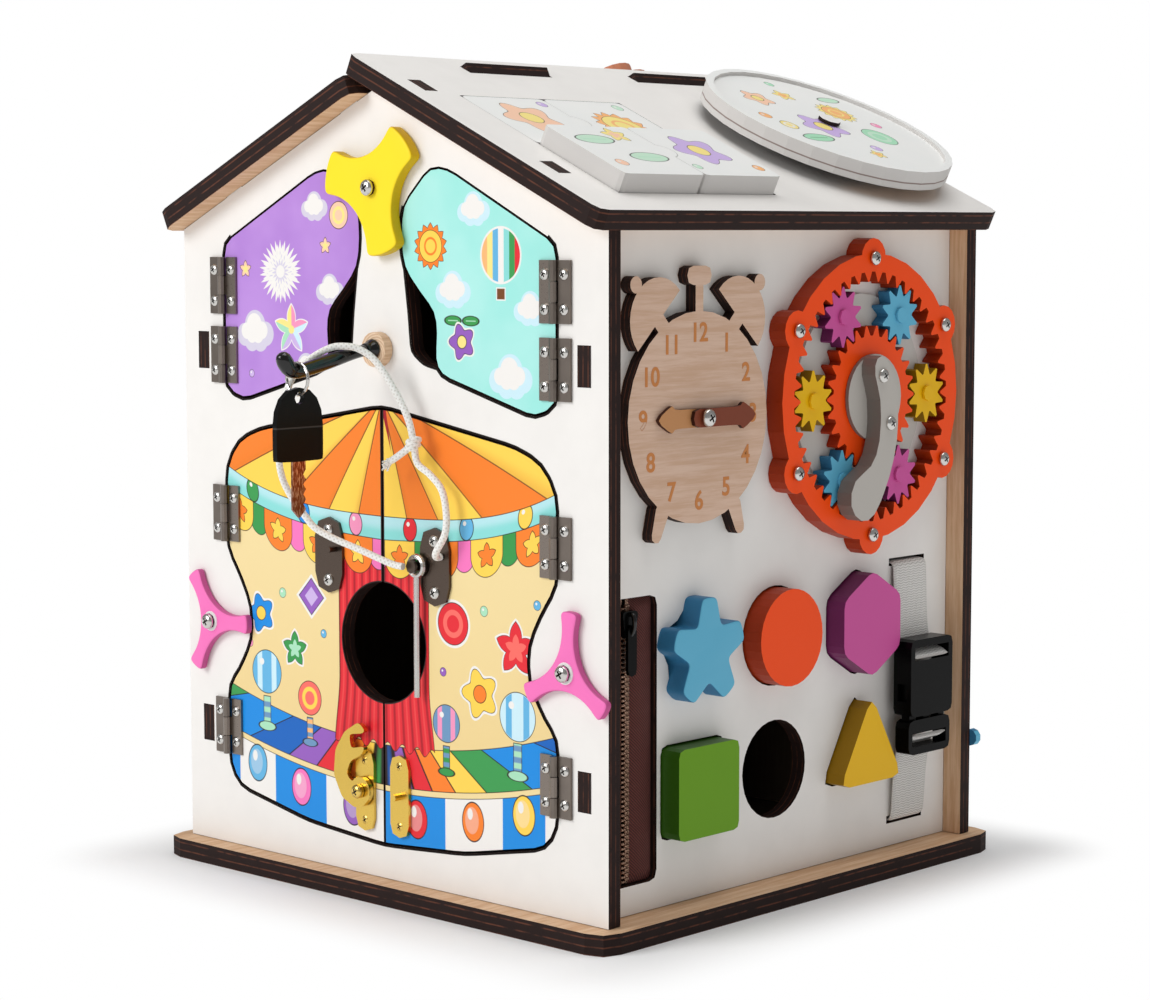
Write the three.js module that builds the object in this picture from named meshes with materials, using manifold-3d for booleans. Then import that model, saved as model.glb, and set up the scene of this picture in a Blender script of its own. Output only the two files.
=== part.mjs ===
// Wooden activity board in the shape of a small house, with things to turn, open, latch and sort.
// Millimetres, +Z up. The origin is the centre of the base board's underside.
// The front gable faces -Y, the side with the clock, gears and shapes faces +X.
import * as THREE from 'three';
import { mergeVertices } from 'three/addons/utils/BufferGeometryUtils.js';
import Module from 'manifold-3d';

const wasm = await Module();
wasm.setup();

// Boards of the house
const BASE_THICKNESS = 10;
const WALL_THICKNESS = 8;
const ROOF_THICKNESS = 10;
const GABLE_WIDTH = 300;
const HOUSE_DEPTH = 284;
const EAVE_HEIGHT = 320;
const GABLE_RISE = 69;
const SIDE_WALL_INSET = 11;
const BASE_SIDE_LIP = 8;
const BASE_END_LIP = 12;
const BASE_CORNER_RADIUS = 12;
const ROOF_END_OVERHANG = 12;
const EAVE_OVERHANG = 2;
const RIDGE_LAP = 15;
const ROOF_CORNER_RADIUS = 6;

// Field for the side face's clock and gears, as a share of the wall
const FIELD_DEPTH_SHARE = 0.352113;
const FIELD_HEIGHT_SHARE = 0.3125;

// Clearances
const SEAT_GAP = 0.3;
const CUT_OVERRUN = 1;
const MERGE_TOLERANCE = 0.00001;

// Steps of round forms
const CORNER_STEPS = 2;
const SMALL_SIDES = 8;
const ROUND_SIDES = 16;
const LARGE_SIDES = 32;

// Tab joints between the boards
const WALL_TAB_HEIGHT = 18.6;
const WALL_TAB_CENTRES_SHARES = [0.19375, 0.80625];
const ROOF_TAB_LENGTH = 13;
const ROOF_TAB_CENTRES = [24, 120];
const RIDGE_TAB_LENGTH_SHARE = 0.204225;
const RIDGE_TAB_REACH = 9;
const RIDGE_TAB_CENTRES_SHARES = [-0.204225, 0.232394];

// Double door in the front gable
const DOOR_HALF_WIDTH_SHARE = 0.39;
const DOOR_FOOT = 18;
const DOOR_HEIGHT_SHARE = 0.671875;
const DOOR_GAP = 1.2;
const SEAM_GAP = 1.2;
const DOOR_CORNER_RADIUS = 7;
const PEEP_RADIUS = 30;
const PEEP_CENTRE_SHARE = 0.36875;

// Half outline of the door pair, as shares of its half width and height, from the foot up
const DOOR_OUTLINE_SHARES = [
  [0, 0], [0.48, 0.019], [0.935, 0.067], [1, 0.115], [1, 0.307], [0.93, 0.345],
  [0.84, 0.425], [0.84, 0.505], [0.905, 0.573], [1, 0.645], [1, 0.837], [0.92, 0.9], [0.78, 0.93], [0, 1],
];

// Window shutters in the front gable
const SHUTTER_FOOT_SHARE = 0.73125;
const SHUTTER_HEIGHT_SHARE = 0.359375;
const SHUTTER_CORNER_RADIUS = 6;
const SHUTTER_OUTLINE_SHARES = [
  [1, 0.05], [1, 0.687], [0.4, 0.99], [0.3, 1], [0.14, 0.844], [0.128, 0.713], [0.145, 0.59],
  [0.24, 0.487], [0.325, 0.41], [0.338, 0.322], [0.325, 0.21], [0.36, 0.15], [0.89, 0],
];

// Extra window area that the shutter's drawn-in edge leaves open
const FINGER_GAP_SHARES = [
  [0.14, 0.62], [0.17, 0.4], [0.185, 0.24], [0.255, 0.19], [0.4, 0.16], [0.5, 0.5],
];

// Butt hinges
const HINGE_HEIGHT_SHARE = 0.252174;
const HINGE_LEAF_WIDTH = 7.4;
const HINGE_LEAF_THICKNESS = 1.2;
const KNUCKLE_RADIUS = 2;
const HINGE_PIN_RADIUS = 1;
const KNUCKLE_BORE_RADIUS = 1.42;
const LEAF_SINK = 0.2;
const HINGE_SCREW_RADIUS = 1.9;
const HINGE_SCREW_PROUD = 0.5;
const HINGE_SCREW_SPACING_SHARE = 0.551724;
const SHUTTER_HINGE_CENTRES_SHARES = [0.8, 0.910937];
const DOOR_HINGE_CENTRES_SHARES = [0.195312, 0.54375];

// Turning star that holds the shutters
const STAR_PIVOT_HEIGHT_SHARE = 1.0625;
const STAR_REACH = 36;
const STAR_TIP_RADIUS = 6.5;
const STAR_WAIST = 12.5;
const STAR_THICKNESS = 6;
const STAR_BORE_RADIUS = 2.6;
const STAR_ARMS = 3;
const STAR_LEAD_ANGLE = Math.PI / 6;

// Three-armed spinners
const SPINNER_OFFSET_SHARE = 0.423333;
const SPINNER_HEIGHT_SHARE = 0.365625;
const SPINNER_REACH = 26;
const SPINNER_TIP_RADIUS = 4.5;
const SPINNER_HUB_RADIUS = 7.5;
const SPINNER_NECK_WIDTH = 6.5;
const SPINNER_THICKNESS = 4;
const SPINNER_BORE_RADIUS = 2.6;
const LEFT_SPINNER_ANGLE = 0.02;
const RIGHT_SPINNER_ANGLE = 1.5;
const REAR_SPINNER_OFFSET_SHARE = 0.426667;
const REAR_SPINNER_HEIGHT_SHARE = 0.159375;

// Pivot screws that stand in the walls
const RUNNING_GAP = 0.5;
const BOLT_RADIUS = 2.1;
const BOLT_HEAD_RADIUS = 4;
const BOLT_HEAD_HEIGHT = 1.8;

// Brass swing latch at the foot of the doors
const LATCH_PLATE_OFFSET = 12.5;
const LATCH_PLATE_WIDTH = 13;
const LATCH_PLATE_HEIGHT = 41;
const LATCH_PLATE_THICKNESS = 1.8;
const LATCH_HEIGHT_SHARE = 0.134375;
const LATCH_THICKNESS = 2.6;
const LATCH_LIFT = 0.6;
const LATCH_HUB_RADIUS = 7;
const LATCH_PIN_RADIUS = 1.8;
const LATCH_BORE_RADIUS = 2.3;
const LATCH_PIN_RISE = 4.2;
const LATCH_SPAN = 25;
const LATCH_RELEASE_ANGLE = THREE.MathUtils.degToRad(100);
const LATCH_ROUNDING = 2;
const LATCH_HOOK_SHARES = [
  [-0.3, -0.1], [-0.33, 0.22], [-0.1, 0.56], [0.36, 0.72], [0.86, 0.58], [1.2, 0.24],
  [1.36, -0.2], [1.2, -0.36], [1.13, -0.3], [1.14, 0.11], [0.86, 0.11], [0.87, -0.3],
  [0.72, -0.2], [0.6, 0.18], [0.36, 0.34], [0.2, 0.22], [0.22, -0.12],
];

// Cabin hook above the latch
const HOOK_PLATE_OFFSET = 38;
const HOOK_PLATE_WIDTH = 20;
const HOOK_PLATE_HEIGHT = 38;
const HOOK_PLATE_THICKNESS = 1.6;
const HOOK_HEIGHT_SHARE = 0.495312;
const HOOK_EYE_INSET = 10;
const HOOK_WIRE_RADIUS = 1.5;
const HOOK_EYE_RADIUS = 4.6;
const HOOK_POST_RADIUS = 2.4;
const HOOK_POST_RISE = 6.6;
const HOOK_CAP_RADIUS = 3.4;
const HOOK_CAP_HEIGHT = 1.2;
const HOOK_ROD_LENGTH = 64;
const HOOK_LIFT = 2.4;
const KEEPER_RISE = 4.6;

// Peg with the black hook that carries the key ring
const PEG_RADIUS = 8.5;
const PEG_RISE = 5;
const PEG_HEIGHT_SHARE = 0.81875;
const PEG_SPIGOT_RADIUS = 4;
const PEG_SOCKET_RADIUS = 2.2;
const KEY_HOOK_RADIUS = 3;
const KEY_HOOK_SPIGOT_RADIUS = 1.8;
const KEY_HOOK_SPIGOT_LENGTH = 3;
const KEY_HOOK_REACH = 62;
const KEY_HOOK_DROP = 9;
const KEY_HOOK_TIP_RISE = 7;
const KEY_HOOK_STEPS = 10;
const RING_OFFSET = 54;
const KEY_RING_RADIUS = 7.6;
const KEY_RING_WIRE = 0.8;
const KEY_HEAD_RADIUS = 14.5;
const KEY_HEAD_HEIGHT = 35;
const KEY_THICKNESS = 3;
const KEY_HOLE_RADIUS = 3;
const KEY_HOLE_INSET = 5;
const KEY_BLADE_WIDTH = 8;
const KEY_BLADE_LENGTH = 27;
const KEY_BIT_DEPTH = 1.6;
const KEY_BITS = 4;

// Free cord from the right door's eye over the peg and back to the steel hook, as points of the
// front wall: to the right, up from the steel hook or the peg, and out from the wall
const CORD_RADIUS = 1.7;
const CORD_SIDES = 6;
const CORD_STEPS = 46;
const CORD_START_POINTS = [
  [43, 5.5, 2], [43, 5.5, 5], [46.5, 8.7, 8.5], [52, 17.5, 8], [52.5, 27.5, 7.5], [50, 38.5, 8], [
    43, 45.5, 9,
  ],
];
const CORD_LOOP_POINTS = [
  [35, -53, 9.5], [32.6, -43.7, 9.5], [29.5, -32.6, 10], [22.5, -19, 12], [13.5, -5, 16], [7.5, 0.8, 21],
  [3, 2.3, 26], [-2, 1.4, 32], [-7.2, -4.5, 41], [-10.4, -13.5, 49], [-14.5, -28, 50], [-23, -49, 46],
];
const CORD_END_POINTS = [
  [-27.8, 41.6, 40], [-25.2, 30.2, 35], [-21.5, 22.7, 31], [-18, 17.1, 28], [-10.2, 12.1, 23], [1.2, 7.2, 17],
  [13, 2.6, 12.6], [19.5, 0.5, 10.6], [25, 0, 9.9],
];

// Clock
const CLOCK_OFFSET_SHARE = -0.260563;
const CLOCK_HEIGHT_SHARE = 0.725;
const CLOCK_RADIUS_SHARE = 0.5;
const CLOCK_THICKNESS = 6;
const BELL_RADIUS_SHARE = 0.4;
const BELL_SPREAD_SHARE = 0.57;
const BELL_RISE_SHARE = 0.92;
const BELL_TILT_DEGREES = 43.5;
const BELL_BALL_RADIUS_SHARE = 0.08;
const BELL_BALL_RISE_SHARE = 0.46;
const BELL_NECK_WIDTH_SHARE = 0.16;
const BELL_NECK_HEIGHT_SHARE = 0.3;
const CLOCK_FOOT_SPREAD_SHARE = 0.5;
const CLOCK_FOOT_DROP_SHARE = 0.8;
const CLOCK_FOOT_SPLAY_DEGREES = 20;
const CLOCK_FOOT_LENGTH_SHARE = 0.36;
const CLOCK_FOOT_WIDTH_SHARE = 0.2;
const CLOCK_FOOT_TIP_WIDTH_SHARE = 0.12;
const HAMMER_WIDTH_SHARE = 0.35;
const HAMMER_HEIGHT_SHARE = 0.18;
const HAMMER_RISE_SHARE = 1.33;
const HAMMER_NECK_WIDTH_SHARE = 0.11;
const HAND_WIDTH_SHARE = 0.175;
const HAND_HEAD_WIDTH_SHARE = 0.29;
const HAND_HEAD_LENGTH_SHARE = 0.24;
const HAND_THICKNESS = 2;
const HAND_TAIL_SHARE = 0.18;
const HOUR_HAND_LENGTH_SHARE = 0.66;
const MINUTE_HAND_LENGTH_SHARE = 0.76;
const HAND_BORE_RADIUS = 2.1;
const HAND_PIN_RADIUS = 1.6;
const HAND_CAP_RADIUS = 3.2;

// Planetary gears
const GEAR_OFFSET_SHARE = 0.193662;
const GEAR_HEIGHT_SHARE = 0.7375;
const MODULE_SHARE = 0.026;
const SUN_TEETH = 26;
const PLANET_TEETH = 10;
const PLANETS = 6;
const RING_TEETH = SUN_TEETH + 2 * PLANET_TEETH;
const GEAR_THICKNESS = 7;
const ADDENDUM_SHARE = 0.769231;
const DEDENDUM_SHARE = 1.153846;
const TOOTH_SLACK_SHARE = 0.442308;
const FLANK_SLOPE = 0.42;
const RING_THICKNESS = 10;
const RING_BODY_RADIUS_SHARE = 27.692308;
const RING_LOBES = 6;
const RING_LOBE_RADIUS_SHARE = 3.846154;
const RING_SCREW_RADIUS = 3.2;
const RING_SCREW_PROUD = 1.2;
const CARRIER_THICKNESS = 1.8;
const CARRIER_MARGIN_SHARE = 1.923077;
const PLANET_PIN_RADIUS = 2.4;
const PLANET_BORE_RADIUS = 3;
const PLANET_CAP_RADIUS = 4;
const PLANET_CAP_HEIGHT = 1.2;
const SUN_BORE_RADIUS = 3.7;
const SUN_BOLT_RADIUS = 3;
const CRANK_DISC_RADIUS_SHARE = 8.346154;
const CRANK_DISC_THICKNESS = 2.4;
const CRANK_THICKNESS = 8.5;
const CRANK_LENGTH_SHARE = 30.769231;
const CRANK_ROUNDING_SHARE = 3.461538;
const CRANK_SCREW_RADIUS = 3.2;
const CRANK_SCREW_PROUD = 0.8;
const CRANK_SCREW_SHARES = [[-0.06, 0.14], [0.02, -0.16]];
const SUN_POCKET_RADIUS = 6.6;

// Comma-shaped crank, as shares of its length about the sun's centre
const CRANK_OUTLINE_SHARES = [
  [-0.02, 0.27], [-0.13, 0.26], [-0.15, 0.15], [-0.075, 0], [-0.08, -0.27], [-0.16, -0.43],
  [-0.35, -0.49], [-0.39, -0.66], [-0.27, -0.77], [-0.13, -0.74], [0.02, -0.5], [0.1, -0.27], [0.1, 0.05],
];

// Shape sorter
const SORTER_FIT = 0.9;
const SHAPE_DEPTH = 20;
const SHAPE_INNER_DEPTH = 9;
const SHAPE_ROUNDING = 4;
const UPPER_ROW_SHARE = 0.378125;
const LOWER_ROW_SHARE = 0.170313;
const SORTER_COLUMNS_SHARES = [-0.25, -0.03169, 0.197183];
const STAR_SHAPE_RADIUS_SHARE = 0.451613;
const STAR_SHAPE_WAIST_SHARE = 0.58;
const STAR_SHAPE_POINTS = 5;
const DISC_SHAPE_RADIUS_SHARE = 0.387097;
const HEXAGON_RADIUS_SHARE = 0.435484;
const SQUARE_SIDE_SHARE = 0.709677;
const TRIANGLE_RADIUS_SHARE = 0.483871;
const EMPTY_HOLE_RADIUS_SHARE = 0.395161;

// Zip in its opening
const ZIP_OFFSET_SHARE = -0.397887;
const ZIP_WIDTH_SHARE = 0.116197;
const ZIP_FOOT = 14;
const ZIP_HEIGHT_SHARE = 0.425;
const ZIP_CORNER_RADIUS = 5;
const ZIP_TAPE_THICKNESS = 1.6;
const ZIP_RECESS = 4;
const ZIP_CHAIN_OFFSET = -3;
const ZIP_CHAIN_WIDTH = 5;
const ZIP_CHAIN_RISE = 2;
const ZIP_LINK_HEIGHT = 3.4;
const ZIP_LINK_PITCH = 6;
const SLIDER_WIDTH = 11;
const SLIDER_HEIGHT = 13;
const SLIDER_THICKNESS = 2.6;
const SLIDER_TAB_WIDTH = 6;
const SLIDER_TAB_LENGTH = 24;
const SLIDER_TAB_THICKNESS = 1.6;
const SLIDER_TOP_MARGIN = 6;

// Webbing strap with its side-release buckle
const STRAP_OFFSET_SHARE = 0.348592;
const STRAP_WIDTH_SHARE = 0.098592;
const STRAP_THICKNESS = 1.6;
const STRAP_TOP_SHARE = 0.465625;
const STRAP_FOOT = 14;
const STRAP_TAIL = 6;
const SLIT_MARGIN = 1.2;
const BUCKLE_WIDTH_SHARE = 0.126761;
const BUCKLE_THICKNESS = 11;
const BUCKLE_STANDOFF = 6;
const SOCKET_TOP_SHARE = 0.34375;
const SOCKET_HEIGHT = 40;
const CLIP_SET_BACK = 2;
const CLIP_BODY_HEIGHT = 18;
const BUCKLE_CORNER_RADIUS = 4;
const BAR_HEIGHT = 4;
const WEB_WINDOW_HEIGHT = 7;
const POCKET_DEPTH = 26;
const POCKET_WALL = 2.5;
const PRONG_LENGTH = 17;
const PRONG_WIDTH = 5;
const GUIDE_WIDTH = 6;
const SIDE_WINDOW_HEIGHT = 9;
const STRAP_BOW = 4;

// Roof toys
const TILE_SIZE_SHARE = 0.198944;
const TILE_FIELD_START_SHARE = -0.433099;
const TILE_FIELD_FOOT = 19;
const TILE_SEAT_DEPTH = 8;
const TILE_PROUD = 9.5;
const TILE_KNOB_RADIUS = 7;
const TILE_KNOB_REACH = 6;
const TILE_FIT = 0.35;
const TILE_CORNER_RADIUS = 3;
const DISC_OFFSET_SHARE = 0.330986;
const DISC_ROW = 80;
const DISC_RADIUS_SHARE = 0.239437;
const DISC_THICKNESS = 8;
const DISC_LIFT = 6;
const DISC_RIM_WIDTH = 4;
const DISC_RIM_RISE = 2;
const DISC_SPACER_RADIUS = 14;
const DISC_BORE_RADIUS = 3.8;
const DISC_BOLT_RADIUS = 3;
const KNOB_OFFSET_SHARE = 0.338028;
const KNOB_DROP = 34;
const KNOB_RADIUS = 17;
const KNOB_STEM_RADIUS = 9;
const KNOB_STEM_HEIGHT = 4;
const KNOB_DOME_HEIGHT = 13;
const FLOWER_OFFSET_SHARE = -0.21831;
const FLOWER_DROP = 36;
const FLOWER_LIFT = 9;
const FLOWER_POST_RADIUS = 8;
const FLOWER_PETALS = 5;
const FLOWER_PETAL_RADIUS = 10.5;
const FLOWER_SPREAD = 16.5;
const FLOWER_THICKNESS = 7;
const FLOWER_CENTRE_RADIUS = 9;
const FLOWER_CENTRE_RISE = 3;

// Derived sizes
const WALL_TAB_CENTRES = WALL_TAB_CENTRES_SHARES.map((share) => share * EAVE_HEIGHT);
const DOOR_HEIGHT = EAVE_HEIGHT * DOOR_HEIGHT_SHARE;
const SHUTTER_FOOT = EAVE_HEIGHT * SHUTTER_FOOT_SHARE;
const SHUTTER_HEIGHT = EAVE_HEIGHT * SHUTTER_HEIGHT_SHARE;
const SHUTTER_HINGE_CENTRES = SHUTTER_HINGE_CENTRES_SHARES.map((share) => share * EAVE_HEIGHT);
const DOOR_HINGE_CENTRES = DOOR_HINGE_CENTRES_SHARES.map((share) => share * EAVE_HEIGHT);
const STAR_PIVOT_HEIGHT = EAVE_HEIGHT * STAR_PIVOT_HEIGHT_SHARE;
const SPINNER_HEIGHT = EAVE_HEIGHT * SPINNER_HEIGHT_SHARE;
const REAR_SPINNER_HEIGHT = EAVE_HEIGHT * REAR_SPINNER_HEIGHT_SHARE;
const PEEP_CENTRE = EAVE_HEIGHT * PEEP_CENTRE_SHARE;
const LATCH_HEIGHT = EAVE_HEIGHT * LATCH_HEIGHT_SHARE;
const HOOK_HEIGHT = EAVE_HEIGHT * HOOK_HEIGHT_SHARE;
const PEG_HEIGHT = EAVE_HEIGHT * PEG_HEIGHT_SHARE;
const CLOCK_HEIGHT = EAVE_HEIGHT * CLOCK_HEIGHT_SHARE;
const GEAR_HEIGHT = EAVE_HEIGHT * GEAR_HEIGHT_SHARE;
const UPPER_ROW = EAVE_HEIGHT * UPPER_ROW_SHARE;
const LOWER_ROW = EAVE_HEIGHT * LOWER_ROW_SHARE;
const ZIP_HEIGHT = EAVE_HEIGHT * ZIP_HEIGHT_SHARE;
const STRAP_TOP = EAVE_HEIGHT * STRAP_TOP_SHARE;
const SOCKET_TOP = EAVE_HEIGHT * SOCKET_TOP_SHARE;
const DOOR_HALF_WIDTH = GABLE_WIDTH * DOOR_HALF_WIDTH_SHARE;
const SPINNER_OFFSET = GABLE_WIDTH * SPINNER_OFFSET_SHARE;
const REAR_SPINNER_OFFSET = GABLE_WIDTH * REAR_SPINNER_OFFSET_SHARE;
const CLOCK_OFFSET = HOUSE_DEPTH * CLOCK_OFFSET_SHARE;
const GEAR_OFFSET = HOUSE_DEPTH * GEAR_OFFSET_SHARE;
const SORTER_COLUMNS = SORTER_COLUMNS_SHARES.map((share) => share * HOUSE_DEPTH);
const ZIP_OFFSET = HOUSE_DEPTH * ZIP_OFFSET_SHARE;
const ZIP_WIDTH = HOUSE_DEPTH * ZIP_WIDTH_SHARE;
const STRAP_OFFSET = HOUSE_DEPTH * STRAP_OFFSET_SHARE;
const STRAP_WIDTH = HOUSE_DEPTH * STRAP_WIDTH_SHARE;
const BUCKLE_WIDTH = HOUSE_DEPTH * BUCKLE_WIDTH_SHARE;
const TILE_SIZE = HOUSE_DEPTH * TILE_SIZE_SHARE;
const TILE_FIELD_START = HOUSE_DEPTH * TILE_FIELD_START_SHARE;
const DISC_OFFSET = HOUSE_DEPTH * DISC_OFFSET_SHARE;
const DISC_RADIUS = HOUSE_DEPTH * DISC_RADIUS_SHARE;
const KNOB_OFFSET = HOUSE_DEPTH * KNOB_OFFSET_SHARE;
const FLOWER_OFFSET = HOUSE_DEPTH * FLOWER_OFFSET_SHARE;
const RIDGE_TAB_CENTRES = RIDGE_TAB_CENTRES_SHARES.map((share) => share * HOUSE_DEPTH);
const RIDGE_TAB_LENGTH = HOUSE_DEPTH * RIDGE_TAB_LENGTH_SHARE;
const SIDE_FIELD = Math.min(HOUSE_DEPTH * FIELD_DEPTH_SHARE, EAVE_HEIGHT * FIELD_HEIGHT_SHARE);
const CLOCK_RADIUS = SIDE_FIELD * CLOCK_RADIUS_SHARE;
const MODULE = SIDE_FIELD * MODULE_SHARE;
const BELL_RADIUS = CLOCK_RADIUS * BELL_RADIUS_SHARE;
const BELL_SPREAD = CLOCK_RADIUS * BELL_SPREAD_SHARE;
const BELL_RISE = CLOCK_RADIUS * BELL_RISE_SHARE;
const BELL_BALL_RADIUS = CLOCK_RADIUS * BELL_BALL_RADIUS_SHARE;
const BELL_BALL_RISE = CLOCK_RADIUS * BELL_BALL_RISE_SHARE;
const BELL_NECK_WIDTH = CLOCK_RADIUS * BELL_NECK_WIDTH_SHARE;
const BELL_NECK_HEIGHT = CLOCK_RADIUS * BELL_NECK_HEIGHT_SHARE;
const CLOCK_FOOT_SPREAD = CLOCK_RADIUS * CLOCK_FOOT_SPREAD_SHARE;
const CLOCK_FOOT_DROP = CLOCK_RADIUS * CLOCK_FOOT_DROP_SHARE;
const CLOCK_FOOT_LENGTH = CLOCK_RADIUS * CLOCK_FOOT_LENGTH_SHARE;
const CLOCK_FOOT_WIDTH = CLOCK_RADIUS * CLOCK_FOOT_WIDTH_SHARE;
const CLOCK_FOOT_TIP_WIDTH = CLOCK_RADIUS * CLOCK_FOOT_TIP_WIDTH_SHARE;
const HAMMER_WIDTH = CLOCK_RADIUS * HAMMER_WIDTH_SHARE;
const HAMMER_HEIGHT = CLOCK_RADIUS * HAMMER_HEIGHT_SHARE;
const HAMMER_RISE = CLOCK_RADIUS * HAMMER_RISE_SHARE;
const HAMMER_NECK_WIDTH = CLOCK_RADIUS * HAMMER_NECK_WIDTH_SHARE;
const HAND_WIDTH = CLOCK_RADIUS * HAND_WIDTH_SHARE;
const HAND_HEAD_WIDTH = CLOCK_RADIUS * HAND_HEAD_WIDTH_SHARE;
const HAND_HEAD_LENGTH = CLOCK_RADIUS * HAND_HEAD_LENGTH_SHARE;
const HAND_TAIL = CLOCK_RADIUS * HAND_TAIL_SHARE;
const HOUR_HAND_LENGTH = CLOCK_RADIUS * HOUR_HAND_LENGTH_SHARE;
const MINUTE_HAND_LENGTH = CLOCK_RADIUS * MINUTE_HAND_LENGTH_SHARE;
const ADDENDUM = MODULE * ADDENDUM_SHARE;
const DEDENDUM = MODULE * DEDENDUM_SHARE;
const TOOTH_SLACK = MODULE * TOOTH_SLACK_SHARE;
const RING_BODY_RADIUS = MODULE * RING_BODY_RADIUS_SHARE;
const RING_LOBE_RADIUS = MODULE * RING_LOBE_RADIUS_SHARE;
const CARRIER_MARGIN = MODULE * CARRIER_MARGIN_SHARE;
const CRANK_DISC_RADIUS = MODULE * CRANK_DISC_RADIUS_SHARE;
const CRANK_LENGTH = MODULE * CRANK_LENGTH_SHARE;
const CRANK_ROUNDING = MODULE * CRANK_ROUNDING_SHARE;
const SORTER_PITCH = Math.min(UPPER_ROW - LOWER_ROW, SORTER_COLUMNS[1] - SORTER_COLUMNS[0]);
const STAR_SHAPE_RADIUS = SORTER_PITCH * STAR_SHAPE_RADIUS_SHARE;
const DISC_SHAPE_RADIUS = SORTER_PITCH * DISC_SHAPE_RADIUS_SHARE;
const HEXAGON_RADIUS = SORTER_PITCH * HEXAGON_RADIUS_SHARE;
const SQUARE_SIDE = SORTER_PITCH * SQUARE_SIDE_SHARE;
const TRIANGLE_RADIUS = SORTER_PITCH * TRIANGLE_RADIUS_SHARE;
const EMPTY_HOLE_RADIUS = SORTER_PITCH * EMPTY_HOLE_RADIUS_SHARE;
const HINGE_HEIGHT = SHUTTER_HEIGHT * HINGE_HEIGHT_SHARE;
const HINGE_SCREW_SPACING = HINGE_HEIGHT * HINGE_SCREW_SPACING_SHARE;
const CLIP_FOOT = SOCKET_TOP - SOCKET_HEIGHT - CLIP_SET_BACK - CLIP_BODY_HEIGHT;
const SLOPE = Math.atan2(GABLE_RISE, GABLE_WIDTH / 2);
const SLOPE_LENGTH = Math.hypot(GABLE_RISE, GABLE_WIDTH / 2);
const ROOF_LENGTH = HOUSE_DEPTH + 2 * ROOF_END_OVERHANG;
const SIDE_WALL_FACE = GABLE_WIDTH / 2 - SIDE_WALL_INSET;
const SIDE_WALL_LENGTH = HOUSE_DEPTH - 2 * (WALL_THICKNESS + SEAT_GAP);
const SIDE_WALL_HEIGHT = EAVE_HEIGHT + SIDE_WALL_INSET * Math.tan(SLOPE) - SEAT_GAP;
const HINGE_LINE = DOOR_HALF_WIDTH + DOOR_GAP / 2;
const KNUCKLE_HEIGHT = KNUCKLE_RADIUS + SEAT_GAP;
const SUN_RADIUS = MODULE * SUN_TEETH / 2;
const PLANET_RADIUS = MODULE * PLANET_TEETH / 2;
const RING_RADIUS = MODULE * RING_TEETH / 2;
const PLANET_ORBIT = SUN_RADIUS + PLANET_RADIUS;
const CARRIER_FACE = SEAT_GAP + CARRIER_THICKNESS;
const GEAR_BACK = CARRIER_FACE + SEAT_GAP;
const GEAR_FACE = GEAR_BACK + GEAR_THICKNESS;
const RING_LOBE_ORBIT = RING_BODY_RADIUS - RING_LOBE_RADIUS / 4;
const RIGHT_ANGLE = Math.PI / 2;
const FULL_TURN = Math.PI * 2;

// Materials
function surface(color, roughness, metalness = 0) {
  return new THREE.MeshStandardMaterial({ color, roughness, metalness });
}
const WHITE_BOARD = surface(0xf1f0ee, 0.55);
const ROOF_WHITE = surface(0xe4e6e4, 0.5);
const PLAIN_PLY = surface(0xdeb98c, 0.65);
const BASE_PLY = surface(0xd9b083, 0.65);
const DOOR_PRINT = surface(0xf5cf6b, 0.5);
const PURPLE_PRINT = surface(0xb282d7, 0.5);
const TURQUOISE_PRINT = surface(0xa5ebe1, 0.5);
const STEEL = surface(0xb9bcc0, 0.3, 0.9);
const DARK_STEEL = surface(0x574d49, 0.4, 0.8);
const BRASS = surface(0xd9b45a, 0.3, 0.9);
const YELLOW_PLASTIC = surface(0xffe62d, 0.35);
const PINK_PLASTIC = surface(0xfa7dc3, 0.4);
const BLUE_PLASTIC = surface(0x6fb7dd, 0.4);
const BLACK_PLASTIC = surface(0x111113, 0.3);
const WHITE_CORD = surface(0xf0ede8, 0.85);
const PEG_WOOD = surface(0xcc9a66, 0.6);
const GEAR_ORANGE = surface(0xfa5a14, 0.4);
const GEAR_MAGENTA = surface(0xbe509b, 0.4);
const GEAR_BLUE = surface(0x5faacd, 0.4);
const GEAR_YELLOW = surface(0xd7af14, 0.4);
const CARRIER_GREY = surface(0xd9d6d2, 0.5);
const SHAPE_GREEN = surface(0x5a9619, 0.4);
const ZIP_BROWN = surface(0x4b1e19, 0.8);
const STRAP_WHITE = surface(0xd9d4ce, 0.85);
const TILE_WHITE = surface(0xefeeec, 0.5);
const FLOWER_PEACH = surface(0xefc0ac, 0.45);

// Solids and meshes
function solidOf(geometry) {
  const bare = geometry.clone();
  bare.deleteAttribute('normal');
  bare.deleteAttribute('uv');
  const merged = mergeVertices(bare, MERGE_TOLERANCE);
  const vertProperties = new Float32Array(merged.attributes.position.array);
  const triVerts = new Uint32Array(merged.index.array);
  return new wasm.Manifold(new wasm.Mesh({ numProp: 3, vertProperties, triVerts }));
}

function geometryOf(solid) {
  const mesh = solid.getMesh();
  const geometry = new THREE.BufferGeometry();
  geometry.setAttribute('position', new THREE.BufferAttribute(mesh.vertProperties, 3));
  geometry.setIndex(new THREE.BufferAttribute(mesh.triVerts, 1));
  geometry.computeVertexNormals();
  return geometry;
}

function join(first, ...others) {
  return others.reduce((whole, other) => whole.add(other), first);
}

function cut(first, ...others) {
  return others.reduce((whole, other) => whole.subtract(other), first);
}

function piece(parent, name, material, solid, position = [0, 0, 0], turn = 0) {
  const mesh = new THREE.Mesh(geometryOf(solid), material);
  mesh.name = name;
  mesh.position.set(...position);
  mesh.rotation.z = turn;
  parent.add(mesh);
  return mesh;
}

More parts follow.
